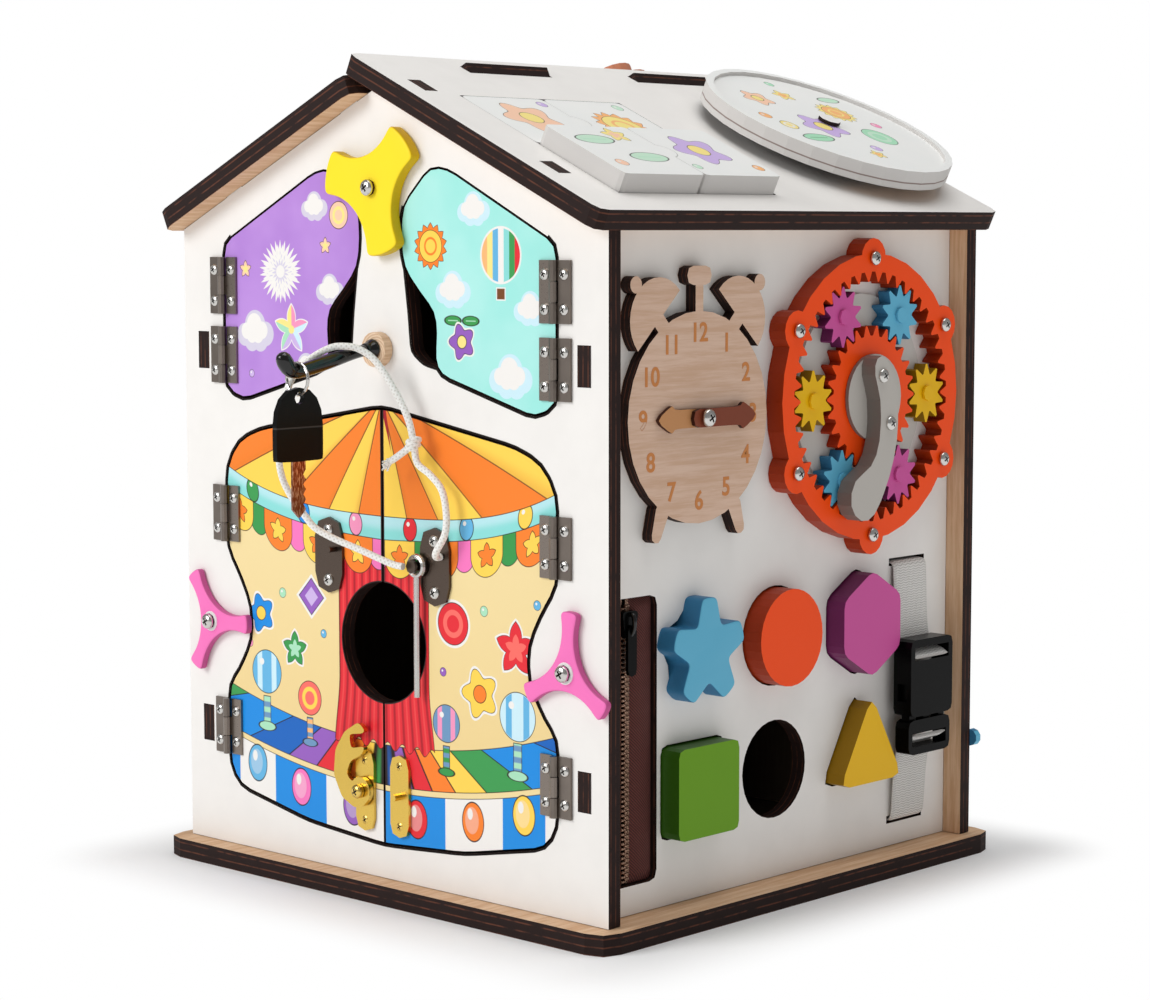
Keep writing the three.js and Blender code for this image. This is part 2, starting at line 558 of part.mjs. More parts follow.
// A face group: x runs to the right and y up on the face, and z points out of it
function face(parent, right, up, origin) {
  const group = new THREE.Group();
  const out = new THREE.Vector3().crossVectors(right, up);
  group.setRotationFromMatrix(new THREE.Matrix4().makeBasis(right, up, out));
  group.position.copy(origin);
  parent.add(group);
  return group;
}

// Solids that stand on a face, from a height over it
function plate(shape, thickness, height = 0) {
  const options = { depth: thickness, bevelEnabled: false, curveSegments: CORNER_STEPS };
  return solidOf(new THREE.ExtrudeGeometry(shape, options).translate(0, 0, height));
}

function rod(radius, length, height, x = 0, y = 0, sides = SMALL_SIDES) {
  const geometry = new THREE.CylinderGeometry(radius, radius, length, sides);
  return solidOf(geometry.rotateX(RIGHT_ANGLE).translate(x, y, height + length / 2));
}

function block(width, tall, thickness, x, y, height) {
  const geometry = new THREE.BoxGeometry(width, tall, thickness);
  return solidOf(geometry.translate(x, y, height + thickness / 2));
}

function barrel(radius, length, x, y, height) {
  const geometry = new THREE.CylinderGeometry(radius, radius, length, SMALL_SIDES);
  return solidOf(geometry.translate(x, y, height));
}

function tube(points, radius, sides, steps, closed = false) {
  const section = new THREE.Shape(ringPoints(sides, radius));
  const path = new THREE.CatmullRomCurve3(points, closed);
  const options = { extrudePath: path, steps, bevelEnabled: false };
  return new THREE.ExtrudeGeometry(section, options);
}

function torus(radius, wire, sides) {
  return solidOf(new THREE.TorusGeometry(radius, wire, SMALL_SIDES, sides));
}

// Outlines
function ringPoints(count, radius, start = 0) {
  const angles = Array.from({ length: count }, (_, i) => start + FULL_TURN * i / count);
  return angles.map((angle) => new THREE.Vector2(radius * Math.cos(angle), radius * Math.sin(angle)));
}

function scaledPoints(shares, width, height, foot = 0) {
  return shares.map(([x, y]) => new THREE.Vector2(x * width, foot + y * height));
}

function mirrored(points) {
  return points.map((point) => new THREE.Vector2(-point.x, point.y)).reverse();
}

function toward(from, to, distance) {
  return from.clone().add(to.clone().sub(from).setLength(distance));
}

function roundedShape(points, radius) {
  const shape = new THREE.Shape();
  points.forEach((corner, i) => {
    const before = points[(i + points.length - 1) % points.length];
    const after = points[(i + 1) % points.length];
    const start = toward(corner, before, Math.min(radius, corner.distanceTo(before) / 2));
    const end = toward(corner, after, Math.min(radius, corner.distanceTo(after) / 2));
    if (i === 0) {
      shape.moveTo(start.x, start.y);
    } else {
      shape.lineTo(start.x, start.y);
    }
    shape.quadraticCurveTo(corner.x, corner.y, end.x, end.y);
  });
  return shape;
}

function rectangle(width, height, radius, x = 0, y = 0) {
  const [w, h] = [width / 2, height / 2];
  const corners = [[-w, -h], [w, -h], [w, h], [-w, h]];
  return roundedShape(corners.map(([cx, cy]) => new THREE.Vector2(x + cx, y + cy)), radius);
}

// The outline of a shape, moved out by a margin on all sides
function grown(shape, margin) {
  const points = shape.getPoints(CORNER_STEPS).filter((point, i, all) => {
    return i === 0 || point.distanceTo(all[i - 1]) > MERGE_TOLERANCE;
  });
  if (points[0].distanceTo(points[points.length - 1]) < MERGE_TOLERANCE) {
    points.pop();
  }
  const side = Math.sign(THREE.ShapeUtils.area(points));
  const moved = points.map((point, i) => {
    const before = points[(i + points.length - 1) % points.length];
    const after = points[(i + 1) % points.length];
    const arriving = point.clone().sub(before).normalize();
    const leaving = after.clone().sub(point).normalize();
    const normal = new THREE.Vector2(arriving.y + leaving.y, -arriving.x - leaving.x).normalize();
    const reach = margin * side / Math.max(normal.x * arriving.y - normal.y * arriving.x, 0.4);
    return point.clone().addScaledVector(normal, reach);
  });
  return new THREE.Shape(moved);
}

// Screw that stands in a board: a shaft, and a head over the piece that turns on it
function bolt(x, y, top, radius = BOLT_RADIUS, headRadius = BOLT_HEAD_RADIUS) {
  const sunk = WALL_THICKNESS / 2;
  const shaft = rod(radius, sunk + top + BOLT_HEAD_HEIGHT / 2, -sunk, x, y);
  const head = rod(headRadius, BOLT_HEAD_HEIGHT, top, x, y);
  return join(shaft, head);
}

// Outlines of the doors and the shutters
const doorHalf = scaledPoints(DOOR_OUTLINE_SHARES, DOOR_HALF_WIDTH, DOOR_HEIGHT, DOOR_FOOT);
const doorPair = roundedShape([...doorHalf, ...mirrored(doorHalf.slice(1, -1))], DOOR_CORNER_RADIUS);
const shutterPoints = scaledPoints(SHUTTER_OUTLINE_SHARES, DOOR_HALF_WIDTH, SHUTTER_HEIGHT, SHUTTER_FOOT);
const shutterShape = roundedShape(shutterPoints, SHUTTER_CORNER_RADIUS);
const fingerPoints = scaledPoints(FINGER_GAP_SHARES, DOOR_HALF_WIDTH, SHUTTER_HEIGHT, SHUTTER_FOOT);
const fingerShape = roundedShape(fingerPoints, SHUTTER_CORNER_RADIUS / 2);

function mirrorX(solid) {
  return solid.mirror([1, 0, 0]);
}

// Gable board with its roof tabs and the slots for the side walls' tabs
function gableBoard() {
  const half = GABLE_WIDTH / 2;
  const outline = new THREE.Shape([
    new THREE.Vector2(-half, SEAT_GAP),
    new THREE.Vector2(half, SEAT_GAP),
    new THREE.Vector2(half, EAVE_HEIGHT),
    new THREE.Vector2(0, EAVE_HEIGHT + GABLE_RISE),
    new THREE.Vector2(-half, EAVE_HEIGHT),
  ]);
  let board = plate(outline, WALL_THICKNESS, -WALL_THICKNESS);
  for (const side of [-1, 1]) {
    for (const down of ROOF_TAB_CENTRES) {
      board = board.add(roofTab(side, down, ROOF_TAB_LENGTH, 0));
    }
    for (const height of WALL_TAB_CENTRES) {
      const centre = side * (SIDE_WALL_FACE - WALL_THICKNESS / 2);
      const size = [WALL_THICKNESS + 2 * SEAT_GAP, WALL_TAB_HEIGHT + 2 * SEAT_GAP];
      const slot = block(
        ...size, WALL_THICKNESS + 2 * CUT_OVERRUN, centre, height, -WALL_THICKNESS - CUT_OVERRUN,
      );
      board = board.subtract(slot);
    }
  }
  return board;
}

// Tab of a gable board that comes up through the roof board
function roofTab(side, down, length, margin) {
  const reach = ROOF_THICKNESS + SEAT_GAP;
  const sunk = WALL_THICKNESS / 2;
  const geometry = new THREE.BoxGeometry(length + 2 * margin, reach + sunk, WALL_THICKNESS + 2 * margin);
  geometry.translate(down, (reach - sunk) / 2, -WALL_THICKNESS / 2);
  geometry.rotateZ(-SLOPE);
  geometry.translate(0, EAVE_HEIGHT + GABLE_RISE, 0);
  const tab = solidOf(geometry);
  return side > 0 ? tab : mirrorX(tab);
}

// Side wall board with the tabs that show in the gables
function sideBoard() {
  const height = SIDE_WALL_HEIGHT - SEAT_GAP;
  const centre = SEAT_GAP + height / 2;
  let board = block(SIDE_WALL_LENGTH, height, WALL_THICKNESS, 0, centre, -WALL_THICKNESS);
  for (const y of WALL_TAB_CENTRES) {
    board = board.add(block(HOUSE_DEPTH, WALL_TAB_HEIGHT, WALL_THICKNESS, 0, y, -WALL_THICKNESS));
  }
  return board;
}

function through(shape, margin) {
  return plate(grown(shape, margin), WALL_THICKNESS + 2 * CUT_OVERRUN, -WALL_THICKNESS - CUT_OVERRUN);
}

// Front wall with the door opening, the two windows and the pivot screws
function frontWall() {
  const windows = [through(shutterShape, DOOR_GAP), through(fingerShape, 0)];
  const spigotHole = rod(
    PEG_SPIGOT_RADIUS + RUNNING_GAP, WALL_THICKNESS + 2 * CUT_OVERRUN,
    -WALL_THICKNESS - CUT_OVERRUN, 0, PEG_HEIGHT,
  );
  const opened = cut(
    gableBoard(), through(doorPair, DOOR_GAP), ...windows, ...windows.map(mirrorX), spigotHole,
  );
  const starTop = RUNNING_GAP + STAR_THICKNESS + RUNNING_GAP;
  const spinnerTop = RUNNING_GAP + SPINNER_THICKNESS + RUNNING_GAP;
  return join(
    opened,
    bolt(0, STAR_PIVOT_HEIGHT, starTop),
    bolt(-SPINNER_OFFSET, SPINNER_HEIGHT, spinnerTop),
    bolt(SPINNER_OFFSET, SPINNER_HEIGHT, spinnerTop),
  );
}

function backWall() {
  const spinnerTop = RUNNING_GAP + SPINNER_THICKNESS + RUNNING_GAP;
  return join(gableBoard(), bolt(-REAR_SPINNER_OFFSET, REAR_SPINNER_HEIGHT, spinnerTop));
}

// Hinge leaf on the right-hand jamb: plate, outer knuckles and pin
function frameLeaf() {
  const third = HINGE_HEIGHT / 3;
  const clear = KNUCKLE_RADIUS + RUNNING_GAP;
  const plateX = clear + HINGE_LEAF_WIDTH / 2;
  const leaf = block(HINGE_LEAF_WIDTH, HINGE_HEIGHT, HINGE_LEAF_THICKNESS, plateX, 0, SEAT_GAP);
  const knuckles = [-1, 1].map((end) => join(
    barrel(KNUCKLE_RADIUS, third - SEAT_GAP, 0, end * (third + SEAT_GAP / 2), KNUCKLE_HEIGHT),
    block(
      plateX, third - SEAT_GAP, HINGE_LEAF_THICKNESS, plateX / 2, end * (third + SEAT_GAP / 2), SEAT_GAP,
    ),
  ));
  const pin = barrel(HINGE_PIN_RADIUS, HINGE_HEIGHT - SEAT_GAP, 0, 0, KNUCKLE_HEIGHT);
  return join(leaf, ...knuckles, pin, ...hingeScrews(plateX, SEAT_GAP + HINGE_LEAF_THICKNESS));
}

// Hinge leaf on the door, to the left of the pin: plate and middle knuckle
function doorLeaf() {
  const middle = HINGE_HEIGHT / 3 - SEAT_GAP;
  const clear = KNUCKLE_RADIUS + RUNNING_GAP;
  const plateX = -clear - HINGE_LEAF_WIDTH / 2;
  const thickness = HINGE_LEAF_THICKNESS + LEAF_SINK;
  const leaf = block(HINGE_LEAF_WIDTH, HINGE_HEIGHT, thickness, plateX, 0, -LEAF_SINK);
  const tongueWidth = clear + SEAT_GAP;
  const tongue = block(tongueWidth, middle, HINGE_LEAF_THICKNESS, -tongueWidth / 2, 0, SEAT_GAP);
  const knuckle = join(barrel(KNUCKLE_RADIUS, middle, 0, 0, KNUCKLE_HEIGHT), tongue);
  const bore = barrel(KNUCKLE_BORE_RADIUS, HINGE_HEIGHT, 0, 0, KNUCKLE_HEIGHT);
  return join(cut(knuckle, bore), leaf, ...hingeScrews(plateX, HINGE_LEAF_THICKNESS));
}

function hingeScrews(x, height) {
  return [-1, 1].map((end) => rod(
    HINGE_SCREW_RADIUS, HINGE_SCREW_PROUD + LEAF_SINK, height - LEAF_SINK, x, end * HINGE_SCREW_SPACING / 2,
  ));
}

function leavesAt(centres) {
  return centres.map((y) => doorLeaf().translate([HINGE_LINE, y, 0]));
}

// Right-hand door and shutter, flush with the wall, and their mirror images
function rightDoor() {
  const pair = plate(doorPair, WALL_THICKNESS, -WALL_THICKNESS);
  const half = block(
    GABLE_WIDTH, EAVE_HEIGHT, WALL_THICKNESS * 2,
    (GABLE_WIDTH + SEAM_GAP) / 2, EAVE_HEIGHT / 2, -WALL_THICKNESS * 3 / 2,
  );
  const peep = rod(
    PEEP_RADIUS, WALL_THICKNESS + 2 * CUT_OVERRUN,
    -WALL_THICKNESS - CUT_OVERRUN, 0, PEEP_CENTRE, LARGE_SIDES,
  );
  return join(pair.intersect(half).subtract(peep), ...leavesAt(DOOR_HINGE_CENTRES));
}

function rightShutter() {
  return join(plate(shutterShape, WALL_THICKNESS, -WALL_THICKNESS), ...leavesAt(SHUTTER_HINGE_CENTRES));
}

// Plates and posts of the two door fastenings, on the door that carries them
function latchPlate(side) {
  const outline = rectangle(
    LATCH_PLATE_WIDTH, LATCH_PLATE_HEIGHT, LATCH_PLATE_WIDTH / 2, side * LATCH_PLATE_OFFSET, LATCH_HEIGHT,
  );
  const body = plate(outline, LATCH_PLATE_THICKNESS + LEAF_SINK, -LEAF_SINK);
  const rise = LATCH_PLATE_THICKNESS + LATCH_PIN_RISE;
  const pin = rod(LATCH_PIN_RADIUS, rise, 0, side * LATCH_PLATE_OFFSET, LATCH_HEIGHT);
  const capBase = LATCH_PLATE_THICKNESS + LATCH_LIFT + LATCH_THICKNESS + LATCH_LIFT / 2;
  const cap = rod(
    LATCH_PIN_RADIUS * 2, LATCH_PIN_RISE / 3, capBase, side * LATCH_PLATE_OFFSET, LATCH_HEIGHT,
  );
  return side < 0 ? join(body, pin, cap) : join(body, pin);
}

function hookPlate(side) {
  const outline = rectangle(
    HOOK_PLATE_WIDTH, HOOK_PLATE_HEIGHT, HOOK_PLATE_WIDTH / 2, side * HOOK_PLATE_OFFSET, HOOK_HEIGHT,
  );
  return plate(outline, HOOK_PLATE_THICKNESS + LEAF_SINK, -LEAF_SINK);
}

function hookPost() {
  const x = HOOK_PLATE_OFFSET - HOOK_EYE_INSET;
  const foot = rod(HOOK_CAP_RADIUS, HOOK_PLATE_THICKNESS, -LEAF_SINK, x, HOOK_HEIGHT);
  const post = rod(HOOK_POST_RADIUS, HOOK_POST_RISE, 0, x, HOOK_HEIGHT);
  const cap = rod(HOOK_CAP_RADIUS, HOOK_CAP_HEIGHT, HOOK_POST_RISE, x, HOOK_HEIGHT);
  return join(foot, post, cap);
}

function hookKeeper() {
  const x = HOOK_PLATE_OFFSET - HOOK_EYE_INSET - HOOK_ROD_LENGTH + HOOK_WIRE_RADIUS * 2;
  const y = HOOK_HEIGHT + 2 * HOOK_WIRE_RADIUS + SEAT_GAP;
  return rod(HOOK_WIRE_RADIUS, HOOK_PLATE_THICKNESS + KEEPER_RISE, 0, x, y);
}

// Door hardware as solids of the front face, moved to a door's own pivot line by its caller
function hungOn(side, solid) {
  return solid.translate([-side * HINGE_LINE, 0, -KNUCKLE_HEIGHT]);
}

// Turning star with rounded arms and drawn-in sides
function turningStar() {
  const arm = FULL_TURN / STAR_ARMS;
  const shape = new THREE.Shape();
  for (let i = 0; i < STAR_ARMS; i += 1) {
    const angle = STAR_LEAD_ANGLE + i * arm;
    const centre = STAR_REACH - STAR_TIP_RADIUS;
    const [x, y] = [centre * Math.cos(angle), centre * Math.sin(angle)];
    shape.absarc(x, y, STAR_TIP_RADIUS, angle - RIGHT_ANGLE, angle + RIGHT_ANGLE);
    const next = angle + arm;
    const waist = angle + arm / 2;
    const [ex, ey] = [centre * Math.cos(next), centre * Math.sin(next)];
    const endX = ex + STAR_TIP_RADIUS * Math.cos(next - RIGHT_ANGLE);
    const endY = ey + STAR_TIP_RADIUS * Math.sin(next - RIGHT_ANGLE);
    const pull = STAR_WAIST / 2;
    shape.quadraticCurveTo(pull * Math.cos(waist), pull * Math.sin(waist), endX, endY);
  }
  const body = plateWith(shape, STAR_THICKNESS, CORNER_STEPS * 3);
  return body.subtract(rod(STAR_BORE_RADIUS, STAR_THICKNESS + 2 * CUT_OVERRUN, -CUT_OVERRUN));
}

function plateWith(shape, thickness, curveSegments) {
  const options = { depth: thickness, bevelEnabled: false, curveSegments };
  return solidOf(new THREE.ExtrudeGeometry(shape, options));
}

// Slim three-armed spinner with round ends
function spinner() {
  const hub = rod(SPINNER_HUB_RADIUS, SPINNER_THICKNESS, 0, 0, 0, ROUND_SIDES);
  const reach = SPINNER_REACH - SPINNER_TIP_RADIUS;
  const arms = ringPoints(3, reach).map((tip) => {
    const bar = new THREE.BoxGeometry(reach, SPINNER_NECK_WIDTH, SPINNER_THICKNESS);
    bar.translate(reach / 2, 0, SPINNER_THICKNESS / 2);
    bar.rotateZ(Math.atan2(tip.y, tip.x));
    return join(
      solidOf(bar), rod(SPINNER_TIP_RADIUS, SPINNER_THICKNESS, 0, tip.x, tip.y, ROUND_SIDES / 2 + 2),
    );
  });
  const bore = rod(SPINNER_BORE_RADIUS, SPINNER_THICKNESS + 2 * CUT_OVERRUN, -CUT_OVERRUN);
  return cut(join(hub, ...arms), bore);
}

// Crescent of the brass latch, drawn closed about its pivot
function latchCrescent() {
  const outline = roundedShape(scaledPoints(LATCH_HOOK_SHARES, LATCH_SPAN, LATCH_SPAN), LATCH_ROUNDING);
  const hub = rod(LATCH_HUB_RADIUS, LATCH_THICKNESS, 0, 0, 0, ROUND_SIDES);
  const bore = rod(LATCH_BORE_RADIUS, LATCH_THICKNESS + 2 * CUT_OVERRUN, -CUT_OVERRUN);
  return cut(join(plate(outline, LATCH_THICKNESS), hub), bore);
}

// Steel hook: an eye round the post, and a straight rod that hangs down
function steelHook() {
  const eye = torus(HOOK_EYE_RADIUS, HOOK_WIRE_RADIUS, ROUND_SIDES);
  const length = HOOK_ROD_LENGTH - HOOK_EYE_RADIUS;
  const shank = barrel(HOOK_WIRE_RADIUS, length, 0, -HOOK_EYE_RADIUS - length / 2, 0);
  return join(eye, shank);
}

// Wooden peg and the black hook that leaves it
function keyPeg() {
  const body = rod(PEG_RADIUS, PEG_RISE, SEAT_GAP, 0, 0, ROUND_SIDES);
  const spigot = rod(PEG_SPIGOT_RADIUS, WALL_THICKNESS, SEAT_GAP - WALL_THICKNESS);
  const socket = rod(PEG_SOCKET_RADIUS, PEG_RISE, PEG_RISE + SEAT_GAP - KEY_HOOK_SPIGOT_LENGTH - SEAT_GAP);
  return join(body, spigot).subtract(socket);
}

function keyHook() {
  const start = PEG_RISE + 2 * SEAT_GAP;
  const end = start + KEY_HOOK_REACH - PEG_RISE;
  const bend = end - KEY_HOOK_TIP_RISE;
  const points = [
    new THREE.Vector3(0, 0, start),
    new THREE.Vector3(0, 0, start + KEY_HOOK_RADIUS),
    new THREE.Vector3(0, -KEY_HOOK_DROP / 6, (start + bend) / 3),
    new THREE.Vector3(0, -KEY_HOOK_DROP * 0.8, bend - KEY_HOOK_TIP_RISE),
    new THREE.Vector3(0, -KEY_HOOK_DROP, bend),
    new THREE.Vector3(0, -KEY_HOOK_DROP + KEY_HOOK_TIP_RISE, end),
  ];
  const arm = solidOf(tube(points, KEY_HOOK_RADIUS, SMALL_SIDES, KEY_HOOK_STEPS));
  const spigot = rod(
    KEY_HOOK_SPIGOT_RADIUS, KEY_HOOK_SPIGOT_LENGTH + SEAT_GAP, start - KEY_HOOK_SPIGOT_LENGTH,
  );
  return join(arm, spigot);
}

// Key with a rounded head and a bitted blade, drawn downward from its hole
function keyBlank() {
  const top = KEY_HOLE_INSET;
  const foot = top - KEY_HEAD_HEIGHT;
  const headPoints = [
    [-0.5, 0], [0.5, 0], [1, -0.3], [1, -0.97], [0.95, -1], [-0.95, -1], [-1, -0.97], [-1, -0.3],
  ];
  const head = roundedShape(
    headPoints.map(([x, y]) => new THREE.Vector2(x * KEY_HEAD_RADIUS, top + y * KEY_HEAD_HEIGHT)),
    KEY_HEAD_RADIUS / 2,
  );
  const blade = new THREE.Shape();
  const [half, tip] = [KEY_BLADE_WIDTH / 2, foot - KEY_BLADE_LENGTH];
  blade.moveTo(-half, foot + half);
  blade.lineTo(-half, tip + half);
  blade.lineTo(0, tip);
  blade.lineTo(half, tip + half);
  for (let i = 0; i < KEY_BITS; i += 1) {
    const pitch = (KEY_BLADE_LENGTH - KEY_BLADE_WIDTH) / KEY_BITS;
    blade.lineTo(half - KEY_BIT_DEPTH, tip + half + pitch * (i + 1 / 2));
    blade.lineTo(half, tip + half + pitch * (i + 1));
  }
  blade.lineTo(half, foot + half);
  const body = join(
    plate(head, KEY_THICKNESS, -KEY_THICKNESS / 2), plate(blade, KEY_THICKNESS / 2, -KEY_THICKNESS / 4),
  );
  return body.subtract(
    rod(KEY_HOLE_RADIUS, KEY_THICKNESS + 2 * CUT_OVERRUN, -KEY_THICKNESS / 2 - CUT_OVERRUN),
  );
}

// Bell of the clock: a half round with a ball on top and a neck down to the face
function clockBell(side) {
  const dome = new THREE.Shape(ringPoints(LARGE_SIDES, BELL_RADIUS).slice(0, LARGE_SIDES / 2 + 1));
  const bell = join(
    plate(dome, CLOCK_THICKNESS, SEAT_GAP),
    rod(BELL_BALL_RADIUS, CLOCK_THICKNESS, SEAT_GAP, 0, BELL_BALL_RISE, ROUND_SIDES),
    block(BELL_NECK_WIDTH, BELL_NECK_HEIGHT, CLOCK_THICKNESS, 0, 0, SEAT_GAP),
  );
  return bell.rotate([0, 0, -side * BELL_TILT_DEGREES]).translate([side * BELL_SPREAD, BELL_RISE, 0]);
}

// Foot of the clock, narrower at its tip
function clockFoot(side) {
  const [wide, narrow] = [CLOCK_FOOT_WIDTH / 2, CLOCK_FOOT_TIP_WIDTH / 2];
  const outline = [[-narrow, -CLOCK_FOOT_LENGTH], [narrow, -CLOCK_FOOT_LENGTH], [wide, 0], [-wide, 0]];
  const shape = roundedShape(outline.map(([x, y]) => new THREE.Vector2(x, y)), narrow);
  const foot = plate(shape, CLOCK_THICKNESS, SEAT_GAP).rotate([0, 0, side * CLOCK_FOOT_SPLAY_DEGREES]);
  return foot.translate([side * CLOCK_FOOT_SPREAD, -CLOCK_FOOT_DROP, 0]);
}

// Clock face with bells, hammer and feet
function clockFace() {
  const hammer = rectangle(HAMMER_WIDTH, HAMMER_HEIGHT, HAMMER_HEIGHT / 2, 0, HAMMER_RISE);
  const neckHeight = HAMMER_RISE - CLOCK_RADIUS + HAMMER_HEIGHT / 2;
  const neck = block(
    HAMMER_NECK_WIDTH, neckHeight, CLOCK_THICKNESS,
    0, CLOCK_RADIUS - HAMMER_HEIGHT / 2 + neckHeight / 2, SEAT_GAP,
  );
  const face = rod(CLOCK_RADIUS, CLOCK_THICKNESS, SEAT_GAP, 0, 0, LARGE_SIDES);
  const top = SEAT_GAP + CLOCK_THICKNESS + 2 * HAND_THICKNESS + 3 * SEAT_GAP;
  const pin = rod(HAND_PIN_RADIUS, top + HAND_THICKNESS / 2, SEAT_GAP);
  const cap = rod(HAND_CAP_RADIUS, HAND_THICKNESS / 2, top);
  const ends = [-1, 1].flatMap((side) => [clockBell(side), clockFoot(side)]);
  return join(face, ...ends, plate(hammer, CLOCK_THICKNESS, SEAT_GAP), neck, pin, cap);
}

// Clock hand that points along +x, with an arrow head
function clockHand(length) {
  const [half, wide] = [HAND_WIDTH / 2, HAND_HEAD_WIDTH / 2];
  const shoulder = length - HAND_HEAD_LENGTH;
  const outline = [
    [-HAND_TAIL, -half], [shoulder, -half], [shoulder, -wide], [length, 0],
    [shoulder, wide], [shoulder, half], [-HAND_TAIL, half],
  ];
  const shape = roundedShape(outline.map(([x, y]) => new THREE.Vector2(x, y)), half);
  const bore = rod(HAND_BORE_RADIUS, HAND_THICKNESS + 2 * CUT_OVERRUN, -CUT_OVERRUN);
  return plate(shape, HAND_THICKNESS).subtract(bore);
}

// Gear outline with straight flanks: four points for each tooth
function gearPoints(teeth, rootRadius, tipRadius, pitchRadius, thickness) {
  const points = [];
  const slope = FLANK_SLOPE;
  const widthAt = (radius) => (thickness / 2 - (radius - pitchRadius) * slope) / radius;
  for (let i = 0; i < teeth; i += 1) {
    const centre = FULL_TURN * i / teeth;
    const corners = [
      [rootRadius, -widthAt(rootRadius)], [tipRadius, -widthAt(tipRadius)],
      [tipRadius, widthAt(tipRadius)], [rootRadius, widthAt(rootRadius)],
    ];
    for (const [radius, turn] of corners) {
      points.push(new THREE.Vector2(radius * Math.cos(centre + turn), radius * Math.sin(centre + turn)));
    }
  }
  return points;
}

function toothThickness() {
  return MODULE * Math.PI / 2 - TOOTH_SLACK;
}

function spurGear(teeth, boreRadius) {
  const radius = MODULE * teeth / 2;
  const outline = gearPoints(teeth, radius - DEDENDUM, radius + ADDENDUM, radius, toothThickness());
  const body = plate(new THREE.Shape(outline), GEAR_THICKNESS);
  return body.subtract(rod(boreRadius, GEAR_THICKNESS + 2 * CUT_OVERRUN, -CUT_OVERRUN));
}

// Ring with internal teeth and six screwed lobes
function ringGear() {
  const ring = rod(RING_BODY_RADIUS, RING_THICKNESS, SEAT_GAP, 0, 0, LARGE_SIDES);
  const lobes = ringPoints(RING_LOBES, RING_LOBE_ORBIT, RIGHT_ANGLE);
  const ears = lobes.map((at) => rod(RING_LOBE_RADIUS, RING_THICKNESS, SEAT_GAP, at.x, at.y, ROUND_SIDES));
  const space = MODULE * Math.PI - toothThickness();
  const inner = innerToothPoints(space);
  const bore = plate(new THREE.Shape(inner), RING_THICKNESS + 2 * CUT_OVERRUN, SEAT_GAP - CUT_OVERRUN);
  const screws = lobes.map((at) => rod(
    RING_SCREW_RADIUS, RING_SCREW_PROUD + CUT_OVERRUN, SEAT_GAP + RING_THICKNESS - CUT_OVERRUN, at.x, at.y,
  ));
  return join(cut(join(ring, ...ears), bore), ...screws);
}

// The ring's inner outline is that of a gear whose teeth are the ring's tooth spaces
function innerToothPoints(space) {
  const points = [];
  const widthAt = (radius) => (space / 2 - (radius - RING_RADIUS) * FLANK_SLOPE) / radius;
  const [tip, root] = [RING_RADIUS - ADDENDUM, RING_RADIUS + DEDENDUM];
  for (let i = 0; i < RING_TEETH; i += 1) {
    const centre = FULL_TURN * (i + 1 / 2) / RING_TEETH;
    const corners = [
      [tip, -widthAt(tip)], [root, -widthAt(root)], [root, widthAt(root)], [tip, widthAt(tip)],
    ];
    for (const [radius, turn] of corners) {
      points.push(new THREE.Vector2(radius * Math.cos(centre + turn), radius * Math.sin(centre + turn)));
    }
  }
  return points;
}

// Disc behind the planets, with a capped pin for each
function planetCarrier() {
  const radius = PLANET_ORBIT + CARRIER_MARGIN;
  const disc = rod(radius, CARRIER_THICKNESS, SEAT_GAP, 0, 0, LARGE_SIDES);
  const bore = rod(SUN_BORE_RADIUS, CARRIER_THICKNESS + 2 * CUT_OVERRUN, SEAT_GAP - CUT_OVERRUN);
  const pins = ringPoints(PLANETS, PLANET_ORBIT).map((at) => {
    const top = GEAR_FACE + SEAT_GAP;
    const pin = rod(PLANET_PIN_RADIUS, top - SEAT_GAP + PLANET_CAP_HEIGHT / 2, SEAT_GAP, at.x, at.y);
    return join(pin, rod(PLANET_CAP_RADIUS, PLANET_CAP_HEIGHT, top, at.x, at.y));
  });
  return join(disc.subtract(bore), ...pins);
}

// Sun gear with its cover disc and the comma-shaped crank, hollow for the axle's head
function sunGear() {
  const gear = spurGear(SUN_TEETH, SUN_BORE_RADIUS);
  const disc = rod(
    CRANK_DISC_RADIUS, CRANK_DISC_THICKNESS + SEAT_GAP, GEAR_THICKNESS - SEAT_GAP, 0, 0, LARGE_SIDES,
  );
  const foot = GEAR_THICKNESS + CRANK_DISC_THICKNESS;
  const outline = roundedShape(
    scaledPoints(CRANK_OUTLINE_SHARES, CRANK_LENGTH, CRANK_LENGTH), CRANK_ROUNDING,
  );
  const lever = plate(outline, CRANK_THICKNESS + SEAT_GAP, foot - SEAT_GAP);
  const screws = CRANK_SCREW_SHARES.map(([x, y]) => rod(
    CRANK_SCREW_RADIUS, CRANK_SCREW_PROUD + CUT_OVERRUN, foot + CRANK_THICKNESS - CUT_OVERRUN,
    x * CRANK_LENGTH, y * CRANK_LENGTH,
  ));
  const bore = rod(SUN_BORE_RADIUS, foot + CUT_OVERRUN, -CUT_OVERRUN);
  const pocket = rod(SUN_POCKET_RADIUS, CRANK_DISC_THICKNESS, GEAR_THICKNESS);
  return join(cut(join(gear, disc, lever), bore, pocket), ...screws);
}

// Outlines of the shape sorter
function starOutline() {
  const outer = ringPoints(STAR_SHAPE_POINTS, STAR_SHAPE_RADIUS, RIGHT_ANGLE);
  const waist = STAR_SHAPE_RADIUS * STAR_SHAPE_WAIST_SHARE;
  const inner = ringPoints(STAR_SHAPE_POINTS, waist, RIGHT_ANGLE + Math.PI / STAR_SHAPE_POINTS);
  return roundedShape(outer.flatMap((point, i) => [point, inner[i]]), SHAPE_ROUNDING * 2);
}

